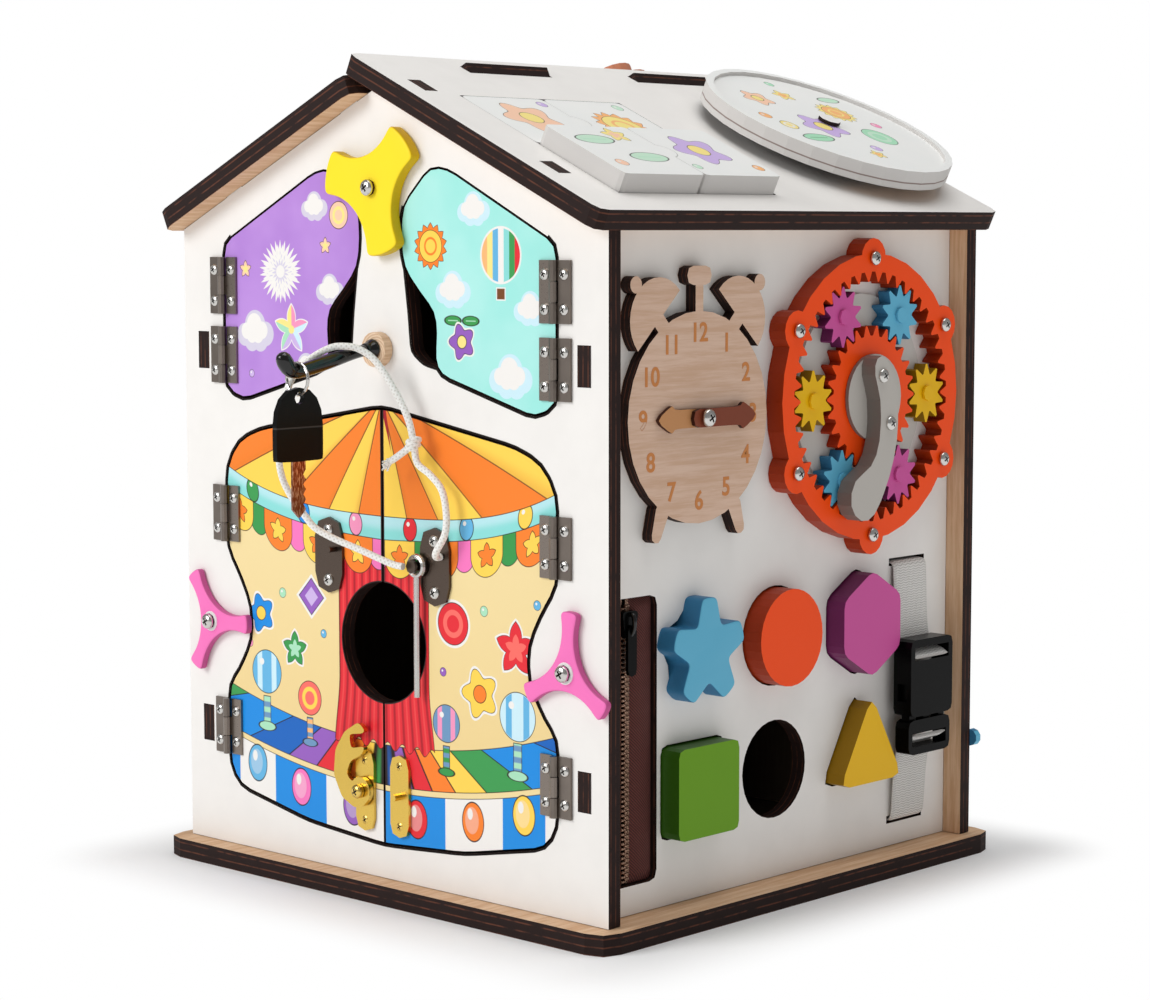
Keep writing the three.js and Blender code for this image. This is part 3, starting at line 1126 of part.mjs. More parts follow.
const sorterShapes = [
  { name: 'star_shape', material: GEAR_BLUE, outline: starOutline(), column: 0, row: UPPER_ROW },
  {
    name: 'round_shape',
    material: GEAR_ORANGE,
    outline: new THREE.Shape(ringPoints(LARGE_SIDES, DISC_SHAPE_RADIUS)),
    column: 1,
    row: UPPER_ROW,
  },
  {
    name: 'hexagon_shape',
    material: GEAR_MAGENTA,
    outline: roundedShape(ringPoints(6, HEXAGON_RADIUS, RIGHT_ANGLE), SHAPE_ROUNDING),
    column: 2,
    row: UPPER_ROW,
  },
  {
    name: 'square_shape',
    material: SHAPE_GREEN,
    outline: rectangle(SQUARE_SIDE, SQUARE_SIDE, SHAPE_ROUNDING),
    column: 0,
    row: LOWER_ROW,
  },
  {
    name: 'triangle_shape',
    material: GEAR_YELLOW,
    outline: roundedShape(ringPoints(3, TRIANGLE_RADIUS, RIGHT_ANGLE), SHAPE_ROUNDING * 2),
    column: 2,
    row: LOWER_ROW,
  },
];

// Right side wall with the sorter holes, the zip opening, the strap slits and the gear bolt
function rightSideWall() {
  const holes = sorterShapes.map(({ outline, column, row }) => {
    return through(outline, SORTER_FIT).translate([SORTER_COLUMNS[column], row, 0]);
  });
  const depth = WALL_THICKNESS + 2 * CUT_OVERRUN;
  const empty = rod(
    EMPTY_HOLE_RADIUS, depth, -WALL_THICKNESS - CUT_OVERRUN, SORTER_COLUMNS[1], LOWER_ROW, LARGE_SIDES,
  );
  const zip = through(
    rectangle(ZIP_WIDTH, ZIP_HEIGHT, ZIP_CORNER_RADIUS, ZIP_OFFSET, ZIP_FOOT + ZIP_HEIGHT / 2), 0,
  );
  const slits = [STRAP_TOP, STRAP_FOOT].map((y) => block(
    STRAP_WIDTH + 2 * SLIT_MARGIN, STRAP_THICKNESS + 2 * SLIT_MARGIN, depth,
    STRAP_OFFSET, y, -WALL_THICKNESS - CUT_OVERRUN,
  ));
  const sunTop = GEAR_FACE + SEAT_GAP;
  const sunBolt = bolt(GEAR_OFFSET, GEAR_HEIGHT, sunTop, SUN_BOLT_RADIUS, SUN_BOLT_RADIUS * 2);
  return cut(sideBoard(), ...holes, empty, zip, ...slits).add(sunBolt);
}

// Zip: a tape with a raised chain of links
function zipPanel() {
  const back = -ZIP_RECESS - ZIP_TAPE_THICKNESS;
  const width = ZIP_WIDTH - 2 * SEAT_GAP;
  const tall = ZIP_HEIGHT - 2 * SEAT_GAP;
  const tape = plate(rectangle(width, tall, ZIP_CORNER_RADIUS), ZIP_TAPE_THICKNESS, back);
  const count = Math.floor((tall - 2 * ZIP_CORNER_RADIUS) / ZIP_LINK_PITCH);
  const links = Array.from({ length: count }, (_, i) => {
    const y = (i - (count - 1) / 2) * ZIP_LINK_PITCH;
    const rise = ZIP_CHAIN_RISE + ZIP_TAPE_THICKNESS / 2;
    return block(
      ZIP_CHAIN_WIDTH, ZIP_LINK_HEIGHT, rise, ZIP_CHAIN_OFFSET, y, -ZIP_RECESS - ZIP_TAPE_THICKNESS / 2,
    );
  });
  return join(tape, ...links);
}

function zipSlider() {
  const outline = [[-0.5, 0.5], [-0.32, -0.5], [0.32, -0.5], [0.5, 0.5]];
  const shape = roundedShape(
    outline.map(([x, y]) => new THREE.Vector2(x * SLIDER_WIDTH, y * SLIDER_HEIGHT)), SLIDER_WIDTH / 5,
  );
  const body = plate(shape, SLIDER_THICKNESS, SEAT_GAP);
  const tabY = -SLIDER_TAB_LENGTH / 2;
  const tabShape = rectangle(SLIDER_TAB_WIDTH, SLIDER_TAB_LENGTH, SLIDER_TAB_WIDTH / 2, 0, tabY);
  const tab = plate(tabShape, SLIDER_TAB_THICKNESS, SEAT_GAP + SLIDER_THICKNESS - SEAT_GAP);
  return join(body, tab);
}

// Webbing along a bent route: out from the wall, up, both in the strap's own plane
function webbing(route) {
  const half = STRAP_THICKNESS / 2;
  const curve = new THREE.SplineCurve(route.map(([out, up]) => new THREE.Vector2(out, up)));
  const steps = route.length * 2;
  const [left, right] = [[], []];
  for (let i = 0; i <= steps; i += 1) {
    const at = curve.getPoint(i / steps);
    const along = curve.getTangent(i / steps);
    left.push(new THREE.Vector2(at.x - along.y * half, at.y + along.x * half));
    right.unshift(new THREE.Vector2(at.x + along.y * half, at.y - along.x * half));
  }
  const geometry = new THREE.ExtrudeGeometry(
    new THREE.Shape([...left, ...right]), { depth: STRAP_WIDTH, bevelEnabled: false },
  );
  geometry.rotateY(-RIGHT_ANGLE);
  return solidOf(geometry.translate(STRAP_WIDTH / 2, 0, 0));
}

const buckleMiddle = BUCKLE_STANDOFF + BUCKLE_THICKNESS / 2;

function upperStrap() {
  const end = SOCKET_TOP - BAR_HEIGHT - WEB_WINDOW_HEIGHT / 2;
  return webbing([
    [-WALL_THICKNESS - STRAP_TAIL, STRAP_TOP], [-WALL_THICKNESS / 2, STRAP_TOP], [
      SLIT_MARGIN, STRAP_TOP - SLIT_MARGIN,
    ],
    [STRAP_BOW, STRAP_TOP - BUCKLE_THICKNESS], [buckleMiddle + STRAP_BOW * 2, SOCKET_TOP + STRAP_BOW],
    [buckleMiddle + BUCKLE_THICKNESS / 2 + STRAP_THICKNESS, SOCKET_TOP - BAR_HEIGHT], [
      buckleMiddle + STRAP_THICKNESS, end,
    ],
  ]);
}

function lowerStrap() {
  const start = CLIP_FOOT + BAR_HEIGHT + WEB_WINDOW_HEIGHT / 2;
  return webbing([
    [buckleMiddle + STRAP_THICKNESS, start], [
      buckleMiddle + BUCKLE_THICKNESS / 2 + STRAP_THICKNESS, CLIP_FOOT + BAR_HEIGHT,
    ],
    [buckleMiddle + STRAP_BOW * 2, CLIP_FOOT - STRAP_BOW], [STRAP_BOW, STRAP_FOOT + BUCKLE_THICKNESS],
    [SLIT_MARGIN, STRAP_FOOT + SLIT_MARGIN], [-WALL_THICKNESS / 2, STRAP_FOOT], [
      -WALL_THICKNESS - STRAP_TAIL, STRAP_FOOT,
    ],
  ]);
}

// Buckle socket: a box with a webbing bar above and a pocket for the prongs below
function buckleSocket() {
  const centre = SOCKET_TOP - SOCKET_HEIGHT / 2;
  const body = plate(
    rectangle(BUCKLE_WIDTH, SOCKET_HEIGHT, BUCKLE_CORNER_RADIUS, 0, centre),
    BUCKLE_THICKNESS,
    BUCKLE_STANDOFF,
  );
  const window = block(
    STRAP_WIDTH + SLIT_MARGIN, WEB_WINDOW_HEIGHT, BUCKLE_THICKNESS + 2 * CUT_OVERRUN,
    0, SOCKET_TOP - BAR_HEIGHT - WEB_WINDOW_HEIGHT / 2, BUCKLE_STANDOFF - CUT_OVERRUN,
  );
  const foot = SOCKET_TOP - SOCKET_HEIGHT;
  const pocket = block(
    BUCKLE_WIDTH - 2 * POCKET_WALL, POCKET_DEPTH + CUT_OVERRUN, BUCKLE_THICKNESS - 2 * POCKET_WALL,
    0, foot + (POCKET_DEPTH - CUT_OVERRUN) / 2, BUCKLE_STANDOFF + POCKET_WALL,
  );
  const sides = block(
    BUCKLE_WIDTH + 2 * CUT_OVERRUN, SIDE_WINDOW_HEIGHT, BUCKLE_THICKNESS - 2 * POCKET_WALL,
    0, foot + PRONG_LENGTH - SIDE_WINDOW_HEIGHT / 2, BUCKLE_STANDOFF + POCKET_WALL,
  );
  return cut(body, window, pocket, sides);
}

// Buckle clip: a webbing bar below, two side prongs and a guide above
function buckleClip() {
  const top = CLIP_FOOT + CLIP_BODY_HEIGHT;
  const outline = rectangle(
    BUCKLE_WIDTH - SEAT_GAP, CLIP_BODY_HEIGHT, BUCKLE_CORNER_RADIUS, 0, CLIP_FOOT + CLIP_BODY_HEIGHT / 2,
  );
  const body = plate(outline, BUCKLE_THICKNESS - POCKET_WALL, BUCKLE_STANDOFF + POCKET_WALL / 2);
  const window = block(
    STRAP_WIDTH + SLIT_MARGIN, WEB_WINDOW_HEIGHT, BUCKLE_THICKNESS + 2 * CUT_OVERRUN,
    0, CLIP_FOOT + BAR_HEIGHT + WEB_WINDOW_HEIGHT / 2, BUCKLE_STANDOFF - CUT_OVERRUN,
  );
  const depth = BUCKLE_THICKNESS - 2 * POCKET_WALL - 2 * RUNNING_GAP;
  const base = BUCKLE_STANDOFF + POCKET_WALL + RUNNING_GAP;
  const reach = PRONG_LENGTH + SOCKET_TOP - SOCKET_HEIGHT - top;
  const prongX = BUCKLE_WIDTH / 2 - POCKET_WALL - RUNNING_GAP - PRONG_WIDTH / 2;
  const y = top + reach / 2 - LEAF_SINK;
  const prongs = [-prongX, prongX].map((x) => block(PRONG_WIDTH, reach + 2 * LEAF_SINK, depth, x, y, base));
  const guide = block(GUIDE_WIDTH, reach + 2 * LEAF_SINK, depth, 0, y, base);
  return join(body.subtract(window), ...prongs, guide);
}

// Square puzzle tile with a knob to the right or up, and notches for its neighbours' knobs
function puzzleTile(column, row) {
  const size = TILE_SIZE - TILE_FIT;
  const tall = TILE_SEAT_DEPTH - SEAT_GAP + (row === 0 ? TILE_PROUD : 0);
  let tile = plate(rectangle(size, size, TILE_CORNER_RADIUS), tall, -TILE_SEAT_DEPTH + SEAT_GAP);
  const overlap = TILE_KNOB_REACH - TILE_KNOB_RADIUS;
  const knobAt = (x, y, radius) => rod(radius, tall, -TILE_SEAT_DEPTH + SEAT_GAP, x, y, ROUND_SIDES);
  const cutAt = (x, y) => rod(
    TILE_KNOB_RADIUS + TILE_FIT, tall + 2 * CUT_OVERRUN, -TILE_SEAT_DEPTH - CUT_OVERRUN, x, y, ROUND_SIDES,
  );
  if (column === 0) {
    tile = tile.add(knobAt(size / 2 + overlap, 0, TILE_KNOB_RADIUS));
  } else {
    tile = tile.subtract(cutAt(-size / 2 + overlap - TILE_FIT, 0));
  }
  return tile;
}

// Right roof board with the tile recess, the slots and the turntable's bolt
function rightRoof() {
  const foot = -SLOPE_LENGTH - EAVE_OVERHANG;
  const height = RIDGE_LAP - foot;
  const outline = rectangle(ROOF_LENGTH, height, ROOF_CORNER_RADIUS, 0, foot + height / 2);
  let board = plate(outline, ROOF_THICKNESS, SEAT_GAP);
  const field = 2 * TILE_SIZE + TILE_FIT;
  const top = SEAT_GAP + ROOF_THICKNESS;
  const [x, y] = [TILE_FIELD_START + TILE_SIZE, foot + TILE_FIELD_FOOT + TILE_SIZE];
  board = board.subtract(block(field, field, TILE_SEAT_DEPTH + CUT_OVERRUN, x, y, top - TILE_SEAT_DEPTH));
  board = cut(board, ...gableSlots(1), ...RIDGE_TAB_CENTRES.map((at) => ridgeSlot(at)));
  const spacer = rod(
    DISC_SPACER_RADIUS, DISC_LIFT + LEAF_SINK, top - LEAF_SINK, DISC_OFFSET, foot + DISC_ROW, ROUND_SIDES,
  );
  const discTop = top + DISC_LIFT + RUNNING_GAP + DISC_THICKNESS + RUNNING_GAP;
  return join(
    board, spacer, bolt(DISC_OFFSET, foot + DISC_ROW, discTop, DISC_BOLT_RADIUS, DISC_BOLT_RADIUS * 2),
  );
}

// Slots for the gables' tabs: down the slope, at both ends of the roof
function gableSlots(side) {
  const slots = [];
  for (const end of [-1, 1]) {
    for (const down of ROOF_TAB_CENTRES) {
      const at = end * (HOUSE_DEPTH - WALL_THICKNESS) / 2;
      slots.push(block(
        WALL_THICKNESS + 2 * SEAT_GAP, ROOF_TAB_LENGTH + 2 * SEAT_GAP, ROOF_THICKNESS + 2 * CUT_OVERRUN,
        at, -down, -CUT_OVERRUN,
      ));
    }
  }
  return slots;
}

// A tab of the left board, seen in the right board's frame
function ridgeSlot(at) {
  const reach = 2 * RIDGE_TAB_REACH + RIDGE_LAP;
  const geometry = new THREE.BoxGeometry(
    RIDGE_TAB_LENGTH + 2 * SEAT_GAP, 2 * reach, ROOF_THICKNESS + 2 * SEAT_GAP,
  );
  geometry.translate(at, reach - ROOF_THICKNESS, SEAT_GAP + ROOF_THICKNESS / 2);
  geometry.rotateX(Math.PI - 2 * SLOPE);
  geometry.rotateX(Math.PI);
  return solidOf(geometry);
}

function leftRoof() {
  const foot = -SLOPE_LENGTH - EAVE_OVERHANG;
  const end = -(ROOF_THICKNESS + 2 * SEAT_GAP) / Math.tan(2 * SLOPE);
  const height = end - foot;
  const outline = rectangle(ROOF_LENGTH, height, ROOF_CORNER_RADIUS, 0, foot + height / 2);
  const board = cut(plate(outline, ROOF_THICKNESS, SEAT_GAP), ...gableSlots(-1));
  const tabLength = RIDGE_TAB_REACH - end + ROOF_THICKNESS;
  const tabs = RIDGE_TAB_CENTRES.map((at) => block(
    RIDGE_TAB_LENGTH, tabLength, ROOF_THICKNESS, -at, RIDGE_TAB_REACH - tabLength / 2, SEAT_GAP,
  ));
  const top = SEAT_GAP + ROOF_THICKNESS;
  const knobTop = top + RUNNING_GAP + KNOB_STEM_HEIGHT;
  const flowerTop = top + FLOWER_LIFT + RUNNING_GAP + FLOWER_THICKNESS + RUNNING_GAP;
  return join(
    board, ...tabs,
    rod(
      FLOWER_POST_RADIUS, FLOWER_LIFT + LEAF_SINK, top - LEAF_SINK, FLOWER_OFFSET, -FLOWER_DROP, ROUND_SIDES,
    ),
    rod(BOLT_RADIUS, knobTop - ROOF_THICKNESS / 2, ROOF_THICKNESS / 2, KNOB_OFFSET, -KNOB_DROP),
    bolt(FLOWER_OFFSET, -FLOWER_DROP, flowerTop),
  );
}

// Turntable disc with a raised rim
function turntable() {
  const disc = rod(DISC_RADIUS, DISC_THICKNESS, 0, 0, 0, LARGE_SIDES);
  const rim = rod(DISC_RADIUS, DISC_RIM_RISE + LEAF_SINK, DISC_THICKNESS - LEAF_SINK, 0, 0, LARGE_SIDES);
  const well = rod(
    DISC_RADIUS - DISC_RIM_WIDTH, DISC_RIM_RISE + CUT_OVERRUN, DISC_THICKNESS, 0, 0, LARGE_SIDES,
  );
  const bore = rod(DISC_BORE_RADIUS, DISC_THICKNESS + 2 * CUT_OVERRUN, -CUT_OVERRUN);
  return cut(join(disc, rim), well, bore);
}

// Domed knob on a short stem
function domeKnob() {
  const steps = 5;
  const profile = [new THREE.Vector2(0, 0), new THREE.Vector2(KNOB_STEM_RADIUS, 0)];
  profile.push(new THREE.Vector2(KNOB_STEM_RADIUS, KNOB_STEM_HEIGHT));
  for (let i = 0; i <= steps; i += 1) {
    const angle = RIGHT_ANGLE * i / steps;
    const [x, y] = [KNOB_RADIUS * Math.cos(angle), KNOB_STEM_HEIGHT + KNOB_DOME_HEIGHT * Math.sin(angle)];
    profile.push(new THREE.Vector2(i === steps ? 0 : x, y));
  }
  const dome = solidOf(new THREE.LatheGeometry(profile, ROUND_SIDES).rotateX(RIGHT_ANGLE));
  const bore = rod(BOLT_RADIUS + RUNNING_GAP, KNOB_STEM_HEIGHT + CUT_OVERRUN, -CUT_OVERRUN + RUNNING_GAP);
  return dome.subtract(bore);
}

// Five-petal spinner
function flower() {
  const petals = ringPoints(FLOWER_PETALS, FLOWER_SPREAD).map((at) => {
    return rod(FLOWER_PETAL_RADIUS, FLOWER_THICKNESS, 0, at.x, at.y, ROUND_SIDES);
  });
  const centre = rod(FLOWER_CENTRE_RADIUS, FLOWER_THICKNESS, 0, 0, 0, ROUND_SIDES);
  const bore = rod(SPINNER_BORE_RADIUS, FLOWER_THICKNESS + 2 * CUT_OVERRUN, -CUT_OVERRUN);
  return cut(join(centre, ...petals), bore);
}

// House: boards and faces
const house = new THREE.Group();
const xAxis = new THREE.Vector3(1, 0, 0);
const yAxis = new THREE.Vector3(0, 1, 0);
const zAxis = new THREE.Vector3(0, 0, 1);
const downhill = new THREE.Vector3(Math.cos(SLOPE), 0, -Math.sin(SLOPE));

const baseShape = rectangle(
  2 * SIDE_WALL_FACE + 2 * (SIDE_WALL_INSET + BASE_SIDE_LIP),
  HOUSE_DEPTH + 2 * BASE_END_LIP, BASE_CORNER_RADIUS,
);
piece(house, 'base_board', BASE_PLY, plate(baseShape, BASE_THICKNESS));

const front = face(house, xAxis, zAxis, new THREE.Vector3(0, -HOUSE_DEPTH / 2, BASE_THICKNESS));
const back = face(
  house, xAxis.clone().negate(), zAxis, new THREE.Vector3(0, HOUSE_DEPTH / 2, BASE_THICKNESS),
);
const right = face(house, yAxis, zAxis, new THREE.Vector3(SIDE_WALL_FACE, 0, BASE_THICKNESS));
const left = face(
  house, yAxis.clone().negate(), zAxis, new THREE.Vector3(-SIDE_WALL_FACE, 0, BASE_THICKNESS),
);
const ridge = new THREE.Vector3(0, 0, BASE_THICKNESS + EAVE_HEIGHT + GABLE_RISE);
const rightSlope = face(house, yAxis, downhill.clone().negate(), ridge);
const leftUp = new THREE.Vector3(Math.cos(SLOPE), 0, Math.sin(SLOPE));
const leftSlope = face(house, yAxis.clone().negate(), leftUp, ridge);

piece(front, 'front_wall', WHITE_BOARD, frontWall());
piece(back, 'back_wall', WHITE_BOARD, backWall());
piece(right, 'right_side_wall', WHITE_BOARD, rightSideWall());
piece(left, 'left_side_wall', WHITE_BOARD, sideBoard());
piece(rightSlope, 'right_roof_board', ROOF_WHITE, rightRoof());
piece(leftSlope, 'left_roof_board', ROOF_WHITE, leftRoof());

// Front face: hinges, doors and shutters, each about its own pin
for (const [side, sideName] of [[-1, 'left'], [1, 'right']]) {
  const turned = (solid) => (side > 0 ? solid : mirrorX(solid));
  const sets = [['shutter', SHUTTER_HINGE_CENTRES], ['door', DOOR_HINGE_CENTRES]];
  for (const [kind, centres] of sets) {
    centres.forEach((y, i) => {
      const name = `${sideName}_${kind}_hinge_${i === 0 ? 'lower' : 'upper'}`;
      piece(front, name, STEEL, turned(frameLeaf()), [side * HINGE_LINE, y, 0]);
    });
  }
  const pin = [side * HINGE_LINE, 0, KNUCKLE_HEIGHT];
  const ownPlates = side > 0 ? [hookPost()] : [hookKeeper()];
  const door = join(turned(rightDoor()), latchPlate(side), hookPlate(side), ...ownPlates);
  piece(front, `${sideName}_door`, DOOR_PRINT, hungOn(side, door), pin);
  const print = side > 0 ? TURQUOISE_PRINT : PURPLE_PRINT;
  piece(front, `${sideName}_shutter`, print, hungOn(side, turned(rightShutter())), pin);
}

// Front face: things that turn and fasten
piece(front, 'star_knob', YELLOW_PLASTIC, turningStar(), [0, STAR_PIVOT_HEIGHT, RUNNING_GAP]);
piece(
  front,
  'left_spinner',
  PINK_PLASTIC,
  spinner(),
  [-SPINNER_OFFSET, SPINNER_HEIGHT, RUNNING_GAP],
  LEFT_SPINNER_ANGLE,
);
piece(
  front,
  'right_spinner',
  PINK_PLASTIC,
  spinner(),
  [SPINNER_OFFSET, SPINNER_HEIGHT, RUNNING_GAP],
  RIGHT_SPINNER_ANGLE,
);
const rearSpinnerAt = [-REAR_SPINNER_OFFSET, REAR_SPINNER_HEIGHT, RUNNING_GAP];
piece(back, 'rear_spinner', BLUE_PLASTIC, spinner(), rearSpinnerAt, Math.PI);
const latchAt = [-LATCH_PLATE_OFFSET, LATCH_HEIGHT, LATCH_PLATE_THICKNESS + LATCH_LIFT];
piece(front, 'crescent_latch', BRASS, latchCrescent(), latchAt, LATCH_RELEASE_ANGLE);
const hookAt = [HOOK_PLATE_OFFSET - HOOK_EYE_INSET, HOOK_HEIGHT, HOOK_LIFT + HOOK_WIRE_RADIUS];
piece(front, 'cabin_hook', STEEL, steelHook(), hookAt);

// Front face: peg, hook, key ring, key and cord
piece(front, 'key_peg', PEG_WOOD, keyPeg(), [0, PEG_HEIGHT, 0]);
piece(front, 'key_hook', BLACK_PLASTIC, keyHook(), [0, PEG_HEIGHT, 0]);
const ringTop = PEG_HEIGHT - KEY_HOOK_DROP + KEY_HOOK_RADIUS + RUNNING_GAP + KEY_RING_WIRE;
const ringAt = [0, ringTop - KEY_RING_RADIUS, RING_OFFSET];
piece(front, 'key_ring', STEEL, torus(KEY_RING_RADIUS, KEY_RING_WIRE, ROUND_SIDES), ringAt);
const keyTurned = keyBlank().rotate([0, 90, 0]);
const keyDrop = KEY_HOLE_RADIUS - 2 * KEY_RING_WIRE;
piece(front, 'key', BLACK_PLASTIC, keyTurned, [0, ringTop - 2 * KEY_RING_RADIUS - keyDrop, RING_OFFSET]);
const routeAt = (points, height) => points.map(([x, y, out]) => new THREE.Vector3(x, height + y, out));
const cordRoute = [
  ...routeAt(CORD_START_POINTS, HOOK_HEIGHT),
  ...routeAt(CORD_LOOP_POINTS, PEG_HEIGHT),
  ...routeAt(CORD_END_POINTS, HOOK_HEIGHT),
];
piece(front, 'tether_cord', WHITE_CORD, solidOf(tube(cordRoute, CORD_RADIUS, CORD_SIDES, CORD_STEPS)));

// Side face: clock
const clockAt = (height) => [CLOCK_OFFSET, CLOCK_HEIGHT, height];
piece(right, 'clock_face', PLAIN_PLY, clockFace(), clockAt(0));
const hourHeight = SEAT_GAP + CLOCK_THICKNESS + SEAT_GAP;
piece(right, 'hour_hand', PLAIN_PLY, clockHand(HOUR_HAND_LENGTH), clockAt(hourHeight), Math.PI);
piece(
  right,
  'minute_hand',
  DARK_STEEL,
  clockHand(MINUTE_HAND_LENGTH),
  clockAt(hourHeight + HAND_THICKNESS + SEAT_GAP),
);

// Side face: planetary gears. Each planet is turned so that its teeth sit in the sun's spaces.
const gearAt = (height) => [GEAR_OFFSET, GEAR_HEIGHT, height];
piece(right, 'ring_gear', GEAR_ORANGE, ringGear(), gearAt(0));
piece(right, 'planet_carrier', CARRIER_GREY, planetCarrier(), gearAt(0));
piece(right, 'sun_gear', GEAR_ORANGE, sunGear(), gearAt(GEAR_BACK));
const planetColours = [GEAR_YELLOW, GEAR_BLUE, GEAR_MAGENTA];
ringPoints(PLANETS, PLANET_ORBIT).forEach((at, i) => {
  const around = FULL_TURN * i / PLANETS;
  const turn = around + Math.PI + (SUN_TEETH * around - Math.PI) / PLANET_TEETH;
  const position = [GEAR_OFFSET + at.x, GEAR_HEIGHT + at.y, GEAR_BACK];
  piece(
    right,
    `planet_gear_${i + 1}`,
    planetColours[i % planetColours.length],
    spurGear(PLANET_TEETH, PLANET_BORE_RADIUS),
    position,
    turn,
  );
});

// Side face: sorter, zip and strap
for (const { name, material, outline, column, row } of sorterShapes) {
  piece(
    right, name, material, plate(outline, SHAPE_DEPTH), [SORTER_COLUMNS[column], row, -SHAPE_INNER_DEPTH],
  );
}
piece(right, 'zip_panel', ZIP_BROWN, zipPanel(), [ZIP_OFFSET, ZIP_FOOT + ZIP_HEIGHT / 2, 0]);
const sliderHeight = ZIP_FOOT + ZIP_HEIGHT - SLIDER_TOP_MARGIN - SLIDER_HEIGHT / 2;
const sliderAt = [ZIP_OFFSET + ZIP_CHAIN_OFFSET, sliderHeight, -ZIP_RECESS + ZIP_CHAIN_RISE];
piece(right, 'zip_slider', BLACK_PLASTIC, zipSlider(), sliderAt);
piece(right, 'upper_strap', STRAP_WHITE, upperStrap(), [STRAP_OFFSET, 0, 0]);
piece(right, 'lower_strap', STRAP_WHITE, lowerStrap(), [STRAP_OFFSET, 0, 0]);
piece(right, 'buckle_socket', BLACK_PLASTIC, buckleSocket(), [STRAP_OFFSET, 0, 0]);
piece(right, 'buckle_clip', BLACK_PLASTIC, buckleClip(), [STRAP_OFFSET, 0, 0]);

// Roof: tiles and turntable on the right slope, knob and flower on the left slope
const roofTop = SEAT_GAP + ROOF_THICKNESS;
const roofFoot = -SLOPE_LENGTH - EAVE_OVERHANG;
for (const row of [0, 1]) {
  for (const column of [0, 1]) {
    const x = TILE_FIELD_START + (column + 1 / 2) * TILE_SIZE;
    const y = roofFoot + TILE_FIELD_FOOT + (row + 1 / 2) * TILE_SIZE;
    const name = `tile_${row === 0 ? 'lower' : 'upper'}_${column === 0 ? 'left' : 'right'}`;
    piece(rightSlope, name, TILE_WHITE, puzzleTile(column, row), [x, y, roofTop]);
  }
}
piece(
  rightSlope,
  'roof_disc',
  TILE_WHITE,
  turntable(),
  [DISC_OFFSET, roofFoot + DISC_ROW, roofTop + DISC_LIFT + RUNNING_GAP],
);
piece(leftSlope, 'roof_knob', BLACK_PLASTIC, domeKnob(), [KNOB_OFFSET, -KNOB_DROP, roofTop + RUNNING_GAP]);
const flowerAt = [FLOWER_OFFSET, -FLOWER_DROP, roofTop + FLOWER_LIFT + RUNNING_GAP];
piece(leftSlope, 'flower_spinner', FLOWER_PEACH, flower(), flowerAt);

export default house;
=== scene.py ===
# Looks of the wooden activity house: materials, prints, screws, cloth and cord over the CAD frame.
# Blender works in metres. Sizes here are written in millimetres, and turned into metres by MM.
import math
from functools import reduce

import bmesh
import bpy
from mathutils import Matrix, Quaternion, Vector


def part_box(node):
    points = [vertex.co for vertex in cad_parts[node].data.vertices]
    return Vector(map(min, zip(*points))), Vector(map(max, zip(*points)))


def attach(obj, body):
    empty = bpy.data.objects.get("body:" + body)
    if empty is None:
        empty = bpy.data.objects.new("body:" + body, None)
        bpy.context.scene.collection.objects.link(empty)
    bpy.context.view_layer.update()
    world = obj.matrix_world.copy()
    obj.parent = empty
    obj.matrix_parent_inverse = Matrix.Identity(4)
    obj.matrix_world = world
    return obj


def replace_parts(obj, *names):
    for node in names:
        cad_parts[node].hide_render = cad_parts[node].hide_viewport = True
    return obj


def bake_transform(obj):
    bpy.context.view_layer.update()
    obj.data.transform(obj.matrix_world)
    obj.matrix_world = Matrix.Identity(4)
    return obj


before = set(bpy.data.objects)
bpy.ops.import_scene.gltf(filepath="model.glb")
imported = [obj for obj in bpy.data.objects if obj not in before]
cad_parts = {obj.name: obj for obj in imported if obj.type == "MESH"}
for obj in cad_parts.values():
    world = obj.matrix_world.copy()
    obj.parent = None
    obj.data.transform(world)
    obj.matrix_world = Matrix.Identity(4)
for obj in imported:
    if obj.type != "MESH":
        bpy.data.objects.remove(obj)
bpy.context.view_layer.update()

bl_info = {
    "name": "Activity house looks",
    "version": (1, 0, 0),
    "blender": (4, 5, 0),
    "location": "View3D > Sidebar > Activity house",
    "description": "Finishes, prints and small fittings of a wooden activity house",
    "category": "Object",
}

# Lengths of the CAD model, in millimetres
MM = 0.001
BASE_TOP = 10.0
WALL_OUTSIDE = 142.0
SIDE_OUTSIDE = 139.0
WALL_THICKNESS = 8.0
INSIDE_MARGIN = 0.5
ROOF_THICKNESS = 10.0
RIDGE_HEIGHT = 399.0
ROOF_TOP = 10.3
SLOPE_RISE = 0.4179
SLOPE_RUN = 0.9085
PEEP_CENTRE = 118.0
PEEP_RADIUS = 30.0
ROOF_PLANE = RIDGE_HEIGHT * SLOPE_RUN + ROOF_TOP

# Places of the CAD's pieces on their own faces, in millimetres
HINGES = {"door": (62.5, 174), "shutter": (256, 291.5)}
WALL_LEAF = 123.8
OWN_LEAF = 111.4
HOOK_PLATE = (38, 158.5)
LATCH_PLACE = (12.5, 43)
STAR_HEIGHT = 340
SPINNER_PLACE = (127, 117)
REAR_SPINNER_PLACE = (-128, 51)
ARM_HEIGHT = 262
RING_CENTRE = (55, 236)
CLOCK_CENTRE = (-74, 232)
CLOCK_FACE = 6.3
SORTER_STAR_PLACE = (-71, 121)
KNOB_PLACE = (96, -34)
FLOWER_PLACE = (-62, -36)
ZIP_LINE = -116

